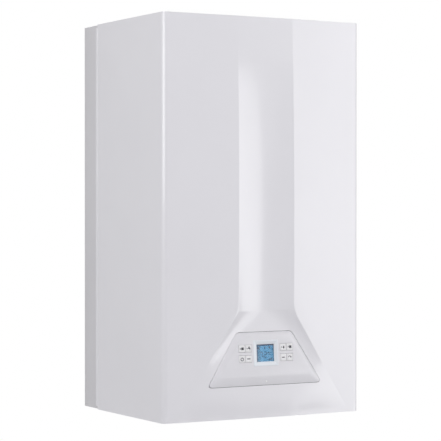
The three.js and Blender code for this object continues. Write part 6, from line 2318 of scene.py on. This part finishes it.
@dataclass
class ControlBox(SubAssembly):
    """The hinged box behind the panel, in the panel's own frame, with its cover and circuit board."""

    panel: ControlPanel
    half_width: float = 172.0
    low: float = -19.0
    high: float = 115.0
    front: float = 8.3
    back: float = 70.3
    wall: float = 2.0
    board_front: float = 15.0
    board_half: float = 150.0
    board_z: Span = (-6.0, 102.0)
    board_sheet: float = 1.6
    pin: Point = (180.0, -299.755, 44.975)

    @property
    def body(self) -> str:
        """The body that its pieces ride on."""
        return self.panel.body

    def build_box(self) -> None:
        """Moulds the tray: rounded walls, vents above and below, and the two hinge pins."""
        half, low, high = self.half_width, self.low, self.high
        tray = Shape.tile("tray", (-half, half), (low, high), 6, (self.front, self.back - 2.2))
        inner = Shape.tile("inner", (-half + self.wall, half - self.wall),
                           (low + self.wall, high - self.wall), 4,
                           (self.front + self.wall, self.back + 5))
        tray.cut(inner)
        tray.cut(Shape.box("mouth", (-112, 112), (self.front - 2, self.front + self.wall + 1),
                           (1.5, 91)))
        for x in (-60.0, -20.0, 20.0, 60.0):
            for z in ((high - 5, high + 2), (low - 2, low + 5)):
                tray.cut(Shape.tile("vent", (x - 14, x + 14), z, 1.9, (36, 42)))
        tray.rounded(0.5, 3, 35)
        self.panel.lean(tray)
        x, y, z = self.pin
        for side in (-1, 1):
            pin = Shape.lathe("pin", [(0, side * (half - 3)), (4.0, side * (half - 3)),
                                      (4.0, side * (x - 1.2)), (3.2, side * (x - 0.2)),
                                      (0, side * (x - 0.2))], (0, y, z), Axis.X, 32)
            collar = Shape.lathe("collar", [(0, side * (half - 1)), (8, side * (half - 1)),
                                            (7, side * 177.6), (0, side * 177.6)], (0, y, z), Axis.X,
                                 40)
            tray.joined(pin, collar)
        self.keep(tray, "control_box_tray", "dark plastic", "control_box", smooth=34)

    def build_cover(self) -> None:
        """Moulds the rear cover with its cross ribs and screws."""
        half, low, high = self.half_width - 0.2, self.low + 0.2, self.high - 0.2
        cover = Shape.tile("cover", (-half, half), (low, high), 6, (self.back - 1.8, self.back))
        cover.bevel_edges(lambda a, b: a.y > self.back - 0.01 and b.y > self.back - 0.01, 0.9, 3)
        for x in (-86.0, 0.0, 86.0):
            cover.fused(Shape.box("rib", (x - 1, x + 1), (self.back - 1, self.back + 1.4),
                                  (low + 12, high - 12)))
        cover.fused(Shape.box("rib", (-half + 14, half - 14), (self.back - 1, self.back + 1.4),
                              (47, 49)))
        cover.rounded(0.3, 2, 40)
        self.keep(self.panel.lean(cover), "control_box_rear_cover", "dark plastic", "control_box_cover",
                  smooth=34)
        heads = screws([(x, self.back, z) for x in (-half + 8, half - 8) for z in (low + 8, high - 8)],
                       Axis.Y, 1, 3.0)
        self.keep_screws(self.panel.lean(heads), "control_box_screws", "dark_plastic")

    def build_board(self) -> None:
        """Lays out the board with its chips, relays, capacitors and connectors."""
        y, half = self.board_front, self.board_half
        board = Shape.tile("board", (-half, half), self.board_z, 2, (y, y + self.board_sheet))
        for x in (-half + 6, half - 6):
            for z in (self.board_z[0] + 6, self.board_z[1] - 6):
                board.cut(Shape.rod("hole", 1.8, (x, y - 1, z), (x, y + 3, z), 24))
        self.keep(self.panel.lean(board), "board_plate", "circuit board", "control_board")
        rear = y + self.board_sheet - 0.05
        chips = [(-58.0, 30.0, 14.0, 14.0, 1.6), (22.0, 70.0, 9.0, 6.0, 1.8),
                 (70.0, 36.0, 6.0, 4.0, 1.6), (-100.0, 74.0, 9.0, 7.5, 15.0),
                 (-76.0, 74.0, 9.0, 7.5, 15.0), (112.0, 70.0, 16.0, 13.0, 22.0)]
        blocks = [Shape.box("chip", (x - w, x + w), (rear, rear + d), (z - h, z + h)).rounded(0.5, 2)
                  for x, z, w, h, d in chips]
        self.keep(self.panel.lean(together(blocks)), "board_chips_and_relays", "dark plastic")
        sockets = []
        for i in range(6):
            x = -118.0 + 44.0 * i
            shell = Shape.box("socket", (x - 12, x + 12), (rear, rear + 11), (0, 9))
            shell.inset(facing(Axis.Y, 1), 1.1, -7.0)
            sockets.append(shell.rounded(0.25, 2))
        self.keep(self.panel.lean(together(sockets)), "board_sockets", "white nylon",
                  slot="button_plastic")
        cans = [Shape.lathe("can", [(0, rear), (r, rear), (r, rear + 1.2), (r * 0.93, rear + 1.8),
                                    (r, rear + 2.4), (r, rear + h - 1), (r - 1, rear + h),
                                    (0, rear + h)], (x, 0, z), Axis.Y, 36)
                for x, z, r, h in ((60.0, 80.0, 6.0, 20.0), (44.0, 84.0, 4.0, 12.0),
                                   (80.0, 82.0, 5.0, 16.0), (-20.0, 84.0, 3.2, 9.0),
                                   (-8.0, 84.0, 3.2, 9.0))]
        self.keep(self.panel.lean(together(cans)), "board_capacitors", "cast aluminium")

    def build(self) -> None:
        """Makes the box, its cover and its board."""
        self.build_box()
        self.build_cover()
        self.build_board()


# ----------------------------------------------------------------------------------------------
# Sealed chamber and what sits in and on it
# ----------------------------------------------------------------------------------------------


@dataclass
class SealedChamber(SubAssembly):
    """The galvanised chamber round the burner, its cover, sight glass and pressure switch."""

    half_width: float = 160.0
    cover_front: float = -291.8
    cover_back: float = -282.3
    low: float = 228.0
    high: float = 688.4
    glass: Place = (0.0, 328.0)

    def build_cover(self) -> None:
        """Presses the cover: a folded rim, a raised field, two stiffening ribs and a sight hole."""
        half, front = self.half_width, self.cover_front
        cover = Shape.tile("cover", (-half, half), (self.low, self.high), 5,
                           (front + 1.5, self.cover_back))
        raised = Shape.tile("raised", (-half + 14, half - 14), (self.low + 14, self.high - 14), 8,
                            (front, front + 3))
        raised.bevel_edges(lambda a, b: max(a.y, b.y) < front + 0.01, 1.2, 3)
        cover.fused(raised)
        hollow = Shape.tile("hollow", (-half + 1.5, half - 1.5), (self.low + 1.5, self.high - 1.5), 4,
                            (front + 3.2, self.cover_back + 5))
        cover.cut(hollow)
        for x in (-95.0, 95.0):
            rib = Shape.tile("rib", (x - 9, x + 9), (400, 650), 8.2, (front - 3, front + 0.9))
            cover.cut(rib)
        cross = Shape.tile("rib", (-60, 60), (262, 282), 9.2, (front - 3, front + 0.9))
        x, z = self.glass
        cover.cut(cross, Shape.rod("hole", 15.5, (x, front - 3, z), (x, front + 6, z), 64))
        cover.rounded(0.3, 2, 30)
        self.keep(cover, "chamber_front_cover", "galvanised", "chamber_cover", smooth=30)
        places = [(px, front + 1.5, pz) for px in (-152.5, 152.5)
                  for pz in (236.0, 350.0, 458.0, 566.0, 680.0)]
        places += [(px, front + 1.5, pz) for px in (-76.0, 76.0) for pz in (235.5, 680.5)]
        self.keep_screws(screws(places, Axis.Y, -1, 3.4), "chamber_cover_screws")

    def build_glass(self) -> None:
        """Turns the sight glass and its screwed ring."""
        x, z = self.glass
        ring = Shape.lathe("ring", [(13, -295.4), (14, -296.0), (17.6, -296.0), (18.8, -295.2),
                                    (19, -294), (19, -291.9), (13, -291.9), (13, -295.4)], (x, 0, z),
                           Axis.Y, 64)
        self.keep(ring, "sight_glass_ring", "stainless", smooth=34)
        pane = Shape.lathe("pane", [(0, -295.0), (12, -294.9), (13.1, -294.4), (13.1, -290.5),
                                    (0, -290.5)], (x, 0, z), Axis.Y, 64)
        self.keep(pane, "sight_glass_pane", "sight glass", "sight_glass")
        heads = screws([(px, -295.6, pz) for px, pz in spots(x, z, 16.0, 3, 30)], Axis.Y, -1, 1.5)
        self.keep_screws(heads, "sight_glass_screws", "stainless")

    def build_chamber(self) -> None:
        """Adds the cover's seal and the rivets of the two sides to the chamber's own node."""
        seal = Shape.tile("seal", (-157.5, 157.5), (230.5, 686), 4, (-289.4, -286.4))
        seal.cut(Shape.tile("middle", (-152.2, 152.2), (236.2, 680), 3, (-292, -284)))
        self.keep(seal.rounded(0.6, 3), "chamber_seal", "seal rubber", slot="hose_rubber")
        for side, hand in reversed(SIDES):
            rivets = [(side * 152.0, y, z) for y in (-272.0, -84.0)
                      for z in (270.0, 380.0, 480.0, 640.0)]
            heads = screws(rivets, Axis.X, side, 2.4, pressed=True)
            self.keep_screws(heads, f"chamber_rivets_{hand}")

    def build_switch(self) -> None:
        """Moulds the air pressure switch with its diaphragm drum, dished screw holes and terminals."""
        y, z = -190.0, 562.0
        drum = Shape.lathe("drum", [(0, 152.4), (26, 152.4), (27.8, 153.4), (27.8, 158), (29.6, 159),
                                    (29.6, 162.6), (27.8, 163.6), (27.8, 167), (26, 168.6), (16, 169.4),
                                    (15, 172.6), (9, 173), (8, 176), (0, 176)], (0, y, z), Axis.X, 72)
        for py, pz in spots(y, z, 22.0, 6, 30):
            drum.cut(Shape.rod("dish", 2.2, (168.2, py, pz), (171, py, pz), 20))
        drum.rounded(0.4, 2, 40)
        self.keep(drum, "air_switch_drum", "grey plastic", "air_pressure_switch", smooth=34)
        blades = [Shape.box("blade", (170, 176.2), (y + off - 3.1, y + off + 3.1),
                            (z + up, z + up + 0.8)).rounded(0.25, 2)
                  for off, up in ((-9.0, 8.0), (0.0, -12.0), (9.0, 8.0))]
        self.keep(together(blades), "air_switch_terminals", "brass")

    def build(self) -> None:
        """Makes the chamber's fine pieces."""
        self.build_cover()
        self.build_glass()
        self.build_chamber()
        self.build_switch()


# ----------------------------------------------------------------------------------------------
# Water and gas side
# ----------------------------------------------------------------------------------------------


@dataclass
class WaterSide(SubAssembly):
    """Pipes, pump, flow block, plate exchanger, expansion vessel and the two valves."""

    vessel: Point = (0.0, -1.8, 420.0)
    pump: Place = (119.3, 110.0)
    vent: Place = (103.3, -87.0)
    spindle: Place = (-96.3, -95.0)
    fins: int = 24
    under_box: tuple[int, ...] = (4, 5, 6, 7, 8)

    def build_pipe(self, name: str, points: Sequence[Point], radius: float, bend: float, finish: str,
                   nuts: Sequence[Point]) -> None:
        """Lays one pipe, with a hexagon nut at each given place on its upright runs.

        Args:
            name: the frame node that it replaces.
            points: its corners.
            radius: its outer radius.
            bend: where its bends start.
            finish: its finish.
            nuts: the middle of each nut's foot.
        """
        pipe = Shape.tube(name, points, radius, bend, 10)
        self.keep(pipe, f"{name}_run", finish, name, smooth=34)
        for i, (x, y, z) in enumerate(nuts):
            nut = hex_nut(radius + 4.2, 11.0, radius - 0.3, x, y, z)
            self.keep(nut, f"{name}_nut_{i + 1}", "brass", smooth=30)

    def build_pipes(self) -> None:
        """Lays the copper and gas pipes along the frame's own routes."""
        self.build_pipe("flow_pipe", [(-124.3, -94, 454.8), (-137.3, -94, 454.8), (-137.3, -94, 134.3)],
                        9, 12, "copper", [(-137.3, -94, 134.6)])
        self.build_pipe("return_pipe", [(124.3, -94, 454.8), (137.3, -94, 454.8), (137.3, -94, 165.3)],
                        9, 12, "copper", [(137.3, -94, 165.6)])
        x, z = self.pump
        run = [(0, -28.8, 261.7), (0, -28.8, 202), (x, -28.8, 202), (x, -28.8, z), (x, -66.7, z)]
        self.build_pipe("expansion_pipe", run, 5, 10, "copper", [(0, -28.8, 250.5)])
        run = [(0, -70, 2), (0, -70, 58), (0, -160, 58), (0, -160, 81.7)]
        self.build_pipe("gas_inlet_pipe", run, 7, 12, "brass", [(0, -70, 31.7), (0, -160, 70.5)])
        run = [(0, -175, 156.3), (0, -175, 205), (0, -257.3, 205), (0, -257.3, 266.5)]
        self.build_pipe("gas_pipe", run, 7, 12, "brass", [(0, -175, 156.5), (0, -257.3, 255.2)])

    def build_vessel(self) -> None:
        """Spins the flat red vessel with its crimped rim, and its port."""
        x, back, z = self.vessel
        rows = [(0, 0), (100, 0.2), (123, 1.2), (133, 5), (140, 12), (144, 20), (145, 23.2),
                (149, 23.4), (150, 24.4), (150, 29.4), (149, 30.6), (145, 30.8), (144, 34), (140, 42),
                (133, 49), (123, 52.8), (110, 53.9), (60, 53.9), (56, 52.9), (30, 52.9), (26, 53.9),
                (0, 54)]
        vessel = Shape.lathe("vessel", [(r, -d) for r, d in rows], (x, back, z), Axis.Y, 96)
        self.keep(vessel, "expansion_vessel_shell", "vessel red", "expansion_vessel", smooth=34)
        port = Shape.lathe("port", [(0, 281), (9, 281), (9, 272), (8.2, 271), (8.2, 262), (0, 262)],
                           (x, -28.8, 0), Axis.Z, 40)
        self.keep(port, "expansion_vessel_port", "brass")

    def build_plates(self) -> None:
        """Stacks the brazed plates with their pressed rims, and sets four bosses on the front one."""
        plates = []
        for i in range(10):
            y = -107.0 + 4 * i
            inset = 0.0 if i % 2 == 0 else 1.6
            plate = Shape.tile("plate", (-75 + inset, 75 - inset), (67 + inset, 137 - inset), 9,
                               (y, y + 4.0))
            plates.append(plate.bevel_edges(lambda a, b, y=y: abs(a.y - b.y) < SAME_LEVEL, 0.9, 2))
        face = plates[0]
        for cx in (-52.0, 52.0):
            for cz in (85.0, 119.0):
                face.fused(Shape.lathe("boss", [(0, -107.1), (9, -107.1), (10.5, -106), (10.5, -105),
                                                (0, -105)], (cx, 0, cz), Axis.Y, 36))
        self.keep(together(plates), "plate_stack", "stainless", "plate_heat_exchanger", smooth=34)

    def build_diverter(self) -> None:
        """Moulds the diverter's motor with its clip and cable socket."""
        motor = Shape.tile("motor", (-117.3, -75.3), (-114, -76), 5, (134.6, 196.3), Axis.Z)
        x, y = self.spindle
        motor.cut(Shape.rod("bore", 4.4, (x, y, 130), (x, y, 168), 36))
        motor.cut(*(Shape.box("band", (-118, -74), (-115, -112.8), z)
                    for z in ((146, 148), (186, 188))))
        motor.cut(Shape.box("socket", (-108, -84.6), (-115, -110), (152, 164)))
        motor.rounded(0.8, 3, 40)
        self.keep(motor, "diverter_motor_case", "dark plastic", "diverter_motor", smooth=36)
        clip = Shape.tube("clip", [(-118.0, -88, 138.5), (-118.0, -114.7, 138.5),
                                   (-74.6, -114.7, 138.5), (-74.6, -88, 138.5)], 1.0, 5, 4)
        self.keep(clip, "diverter_motor_clip", "stainless")

    def build_pump(self) -> None:
        """Turns the pump's motor with its fins, and adds its terminal box, flange and screws."""
        x, z = self.pump
        motor = Shape.lathe("motor", [(0, -191.3), (8, -191.3), (9, -190.3), (30, -190.3), (37, -188),
                                      (40, -184.5), (41, -180), (41, -118), (42, -117), (42, -107.4),
                                      (0, -107.4)], (x, 0, z), Axis.Y, 96)
        fins = []
        for i in range(self.fins):
            if i not in self.under_box:
                fin = Shape.box("fin", (39.5, 41.9), (-178, -120), (-0.9, 0.9))
                fins.append(fin.turned(-360 * i / self.fins, Axis.Y).moved(x=x, z=z))
        motor.cut(Shape.rod("cavity", 35, (x, -150.4, z), (x, -100, z), 64))
        self.keep(motor.joined(*fins), "pump_motor_case", "grey plastic", "pump_motor", smooth=34)
        lid = Shape.box("lid", (98.3, 140.3), (-189.3, -149.3), (140, 155))
        lid.inset(facing(Axis.Z, 1), 3.0, -0.8).rounded(1.0, 3)
        self.keep(lid, "pump_terminal_box", "dark plastic")
        flange = Shape.lathe("flange", [(36, -109.5), (43.4, -109.5), (44, -108.9), (44, -107.3),
                                        (36, -107.3), (36, -109.5)], (x, 0, z), Axis.Y, 72)
        self.keep(flange, "pump_flange_ring", "cast aluminium")
        heads = screws([(px, -109.4, pz) for px, pz in spots(x, z, 40.0, 4, 45)], Axis.Y, -1, 3.2)
        self.keep_screws(heads, "pump_flange_screws")

    def build_vent(self) -> None:
        """Turns the automatic air vent with its knurled cap."""
        x, y = self.vent
        vent = Shape.lathe("vent", [(0, 157.3), (13, 157.3), (13, 168), (12.2, 169), (13, 170),
                                    (13, 190.5), (12, 192.4), (7.4, 197.2), (6.5, 198.8), (6.5, 204.4),
                                    (5.6, 205.3), (0, 205.3)], (x, y, 0), Axis.Z, 56)
        for px, py in spots(x, y, 7.2, 14):
            vent.cut(Shape.rod("knurl", 0.9, (px, py, 199.2), (px, py, 207), 12))
        self.keep(vent, "air_vent_body", "brass", "air_vent", smooth=34)

    def build_valve(self) -> None:
        """Turns the safety valve, and makes the gas valve with its coils, regulator and screws."""
        x, z = SAFETY_VALVE
        valve = Shape.lathe("valve", [(3.2, -154.3), (10.5, -154.3), (12, -153.3), (12, -143),
                                      (10.6, -142), (10.6, -138), (12, -137), (12, -124.3),
                                      (3.2, -124.3), (3.2, -154.3)], (x, 0, z), Axis.Y, 56)
        self.keep(valve, "safety_valve_body", "brass", "safety_valve", smooth=34)
        sides = (-18.0, 18.0)
        profile = [(0, 156.4), (14.6, 156.4), (15.2, 157), (15.2, 172), (14.6, 172.6), (14, 173),
                   (14, 178), (12.8, 179.2), (5, 179.2), (4.4, 182), (0, 182)]
        coils = [Shape.lathe("coil", profile, (side, -145, 0), Axis.Z, 48) for side in sides]
        self.keep(together(coils), "gas_valve_coils", "dark plastic")
        body = Shape.tile("body", (-33, 33), (82, 156), 5, (-185, -125))
        body.inset(facing(Axis.Y, -1), 4.0, -1.0)
        body.cut(Shape.rod("inlet", 13.2, (0, -160, 70), (0, -160, 81.9), 40))
        body.rounded(0.8, 3, 40)
        for side in sides:
            body.fused(Shape.lathe("seat", [(0, 150), (16, 150), (16, 156.2), (15.4, 156.8),
                                            (0, 156.8)], (side, -145, 0), Axis.Z, 48))
        regulator = Shape.lathe("regulator", [(0, -202), (10, -202), (12.5, -201), (14, -198.5),
                                              (14, -184), (0, -184)], (0, 0, 119), Axis.Y, 56)
        regulator.cut(Shape.box("slot", (-6, 6), (-203, -200.4), (118.2, 119.8)))
        self.keep(body.joined(regulator), "gas_valve_body", "cast aluminium", "gas_valve", smooth=34)
        places = [(px, -184.2, pz) for px in (-27.5, 27.5) for pz in (88.0, 150.0)]
        self.keep_screws(screws(places, Axis.Y, -1, 2.6), "gas_valve_screws")

    def build_block(self) -> None:
        """Casts the flow block with its bosses and bores."""
        x, z = SAFETY_VALVE
        spindle_x, spindle_y = self.spindle
        block = Shape.tile("block", (-151.3, -75.3), (-116, -60), 6, (74, 130), Axis.Z)
        for bx, by, r, low, high in ((-137.3, -94, 13, 128, 134.2),
                                     (spindle_x, spindle_y, 13.5, 128, 134.2), (-130, -70, 13, 70, 76),
                                     (-96, -76, 12, 70, 76)):
            block.fused(Shape.lathe("boss", [(0, low), (r, low), (r, high - 0.8), (r - 0.8, high),
                                             (0, high)], (bx, by, 0), Axis.Z, 48))
        for profile in ([(0, -124), (13, -124), (14, -123), (14, -112), (0, -112)],
                        [(0, -50), (12, -50), (13, -51), (13, -62), (0, -62)]):
            block.fused(Shape.lathe("boss", profile, (x, 0, z), Axis.Y, 48))
        block.cut(Shape.rod("bore", 3.6, (spindle_x, spindle_y, 84), (spindle_x, spindle_y, 140), 32))
        block.cut(Shape.rod("bore", 3.4, (x, -130, z), (x, -110, z), 32))
        block.rounded(0.7, 3, 35)
        self.keep(block, "flow_block_casting", "brass", "flow_block", smooth=36)

    def build(self) -> None:
        """Makes all of the water and gas side."""
        self.build_pipes()
        self.build_vessel()
        self.build_plates()
        self.build_diverter()
        self.build_pump()
        self.build_vent()
        self.build_valve()
        self.build_block()


# ----------------------------------------------------------------------------------------------
# The frame's own nodes, the studio and the order of work
# ----------------------------------------------------------------------------------------------

NODE_FINISH = {
    "galvanised": ("sealed_chamber",),
    "stainless": ("firebox", "burner", "flue_hood", "diverter_spindle"),
    "copper": ("heat_exchanger",),
    "brass": ("gas_manifold", "pump_housing"),
    "cast aluminium": ("fan_housing", "fan_wheel"),
    "dark plastic": ("fan_motor", "pump_rotor"),
    "ceramic": ("insulation_lining", "ignition_electrode", "flame_sensing_electrode"),
    "hose rubber": ("pressure_hose",),
}


def dress_nodes(nodes: dict[str, bpy.types.Object], cabinet: Cabinet) -> None:
    """Gives the frame's nodes that are shown their finish.

    Args:
        nodes: the frame's nodes by name.
        cabinet: the finishes.
    """
    for finish, names in NODE_FINISH.items():
        for name in names:
            for slot in nodes[name].material_slots:
                slot.material = cabinet[finish]


@dataclass
class Studio:
    """Plain soft light, a pale floor, a white surround and the camera of the photograph."""

    yaw: float = 29.8612618
    pitch: float = -0.4052234
    roll: float = 0.0049611
    place: Point = (-1609.26, -2959.77, 366.649)
    lens: float = 144.48957
    floor_drop: float = 900.0
    floor_colour: Rgba = (0.66, 0.66, 0.67, 1.0)
    surround: float = 0.275
    aim: Point = (0.0, -0.15, 0.0)
    lamps: tuple[tuple[str, float, Point, float, float], ...] = (
        ("key", 53.0, (2.451, -2.207, 0.2), 2.0, 3.0),
        ("fill", 18.0, (-1.5, -1.5, 1.9), 0.6, 0.6),
        ("edge", 35.0, (-3.0, -1.6, 0.42), 2.6, 0.7),
        ("back", 26.0, (1.2, 3.4, 0.9), 1.6, 1.6),
    )

    def build_camera(self) -> None:
        """Sets the camera where the photograph was taken from."""
        camera = bpy.data.cameras.new("camera")
        camera.sensor_width = 36.0
        camera.sensor_fit = "HORIZONTAL"
        camera.lens = self.lens
        camera.clip_end = 100.0
        yaw, pitch, roll = (math.radians(a) for a in (self.yaw, self.pitch, self.roll))
        ahead = Vector((math.sin(yaw) * math.cos(pitch), math.cos(yaw) * math.cos(pitch),
                        math.sin(pitch)))
        right = Vector((math.cos(yaw), -math.sin(yaw), 0.0))
        up = right.cross(ahead)
        tilted_right = right * math.cos(roll) + up * math.sin(roll)
        tilted_up = up * math.cos(roll) - right * math.sin(roll)
        turn = Matrix((tilted_right, tilted_up, -ahead)).transposed().to_4x4()
        spot = Vector(self.place) - Vector((0, 0, CASE_HEIGHT / 2))
        obj = bpy.data.objects.new("camera", camera)
        obj.matrix_world = Matrix.Translation(spot * MILLIMETRE) @ turn
        bpy.context.scene.collection.objects.link(obj)
        bpy.context.scene.camera = obj

    def white_to_camera(self, weave: Weave, lit: bpy.types.NodeSocket,
                        shader: str) -> bpy.types.NodeSocket:
        """Shows plain white to the camera and in gloss and glass, and the lit surface elsewhere.

        Args:
            weave: a weave on the material's or the world's tree.
            lit: what shows elsewhere.
            shader: the type of the node that gives the white.

        Returns:
            The surface.
        """
        path = weave.lay("ShaderNodeLightPath")
        seen = weave.math("MAXIMUM", path.outputs["Is Camera Ray"], path.outputs["Is Glossy Ray"])
        seen = weave.math("MAXIMUM", seen, path.outputs["Is Transmission Ray"])
        white = weave.lay(shader, Color=WHITE, Strength=1.0)
        return weave.layered(seen, lit, white.outputs[0])

    def build_world(self) -> None:
        """Makes the even surround."""
        world = bpy.data.worlds.new("surround")
        bpy.context.scene.world = world
        world.use_nodes = True
        weave = Weave(world.node_tree)
        grey = (self.surround, self.surround, self.surround * 1.015, 1)
        lit = weave.lay("ShaderNodeBackground", Color=grey, Strength=1.0)
        surface = self.white_to_camera(weave, lit.outputs[0], "ShaderNodeBackground")
        weave.feed(world.node_tree.nodes["World Output"], "Surface", surface)

    def build_floor(self) -> None:
        """Lays the pale floor, which stays well below the hung boiler."""
        bpy.ops.object.select_all(action="DESELECT")
        drop = -(CASE_HEIGHT / 2 + self.floor_drop) * MILLIMETRE
        bpy.ops.mesh.primitive_plane_add(size=30, location=(0, 0, drop))
        floor = bpy.context.object
        floor.name = "floor"
        material = bpy.data.materials.new("floor")
        material.use_nodes = True
        weave = Weave(material.node_tree)
        matt = weave.lay("ShaderNodeBsdfDiffuse", Color=self.floor_colour)
        lit = self.white_to_camera(weave, matt.outputs[0], "ShaderNodeEmission")
        below = weave.lay("ShaderNodeNewGeometry").outputs["Backfacing"]
        clear = weave.lay("ShaderNodeBsdfTransparent")
        surface = weave.layered(below, lit, clear.outputs[0])
        weave.feed(material.node_tree.nodes["Material Output"], "Surface", surface)
        floor.data.materials.append(material)

    def add_lamp(self, name: str, power: float, place: Point, width: float, height: float) -> None:
        """Hangs a soft lamp that looks at the boiler's middle.

        Args:
            name: the lamp's name.
            power: its power in watts.
            place: where it hangs, in metres.
            width: its width.
            height: its height.
        """
        lamp = bpy.data.lights.new(name, "AREA")
        lamp.energy = power
        lamp.shape = "RECTANGLE"
        lamp.size, lamp.size_y = width, height
        obj = bpy.data.objects.new(name, lamp)
        obj.location = place
        obj.rotation_euler = (Vector(self.aim) - Vector(place)).to_track_quat("-Z", "Y").to_euler()
        bpy.context.scene.collection.objects.link(obj)

    def build(self) -> None:
        """Sets up the whole studio."""
        bpy.context.scene.view_settings.view_transform = "Standard"
        self.build_camera()
        self.build_world()
        self.build_floor()
        for lamp in self.lamps:
            self.add_lamp(*lamp)


def main() -> None:
    """Builds the boiler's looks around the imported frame."""
    logging.basicConfig(level=logging.INFO, format="%(name)s: %(message)s")
    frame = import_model()
    Studio().build()
    cabinet = Cabinet()
    dress_nodes(frame["nodes"], cabinet)
    panel = ControlPanel(cabinet)
    sub_assemblies = (Casing(cabinet, panel), panel, Legends(cabinet, panel), RearFrame(cabinet),
                      TopPlate(cabinet), Underside(cabinet), ControlBox(cabinet, panel),
                      SealedChamber(cabinet), WaterSide(cabinet))
    for part in sub_assemblies:
        part.build()


if __name__ == "__main__":
    main()
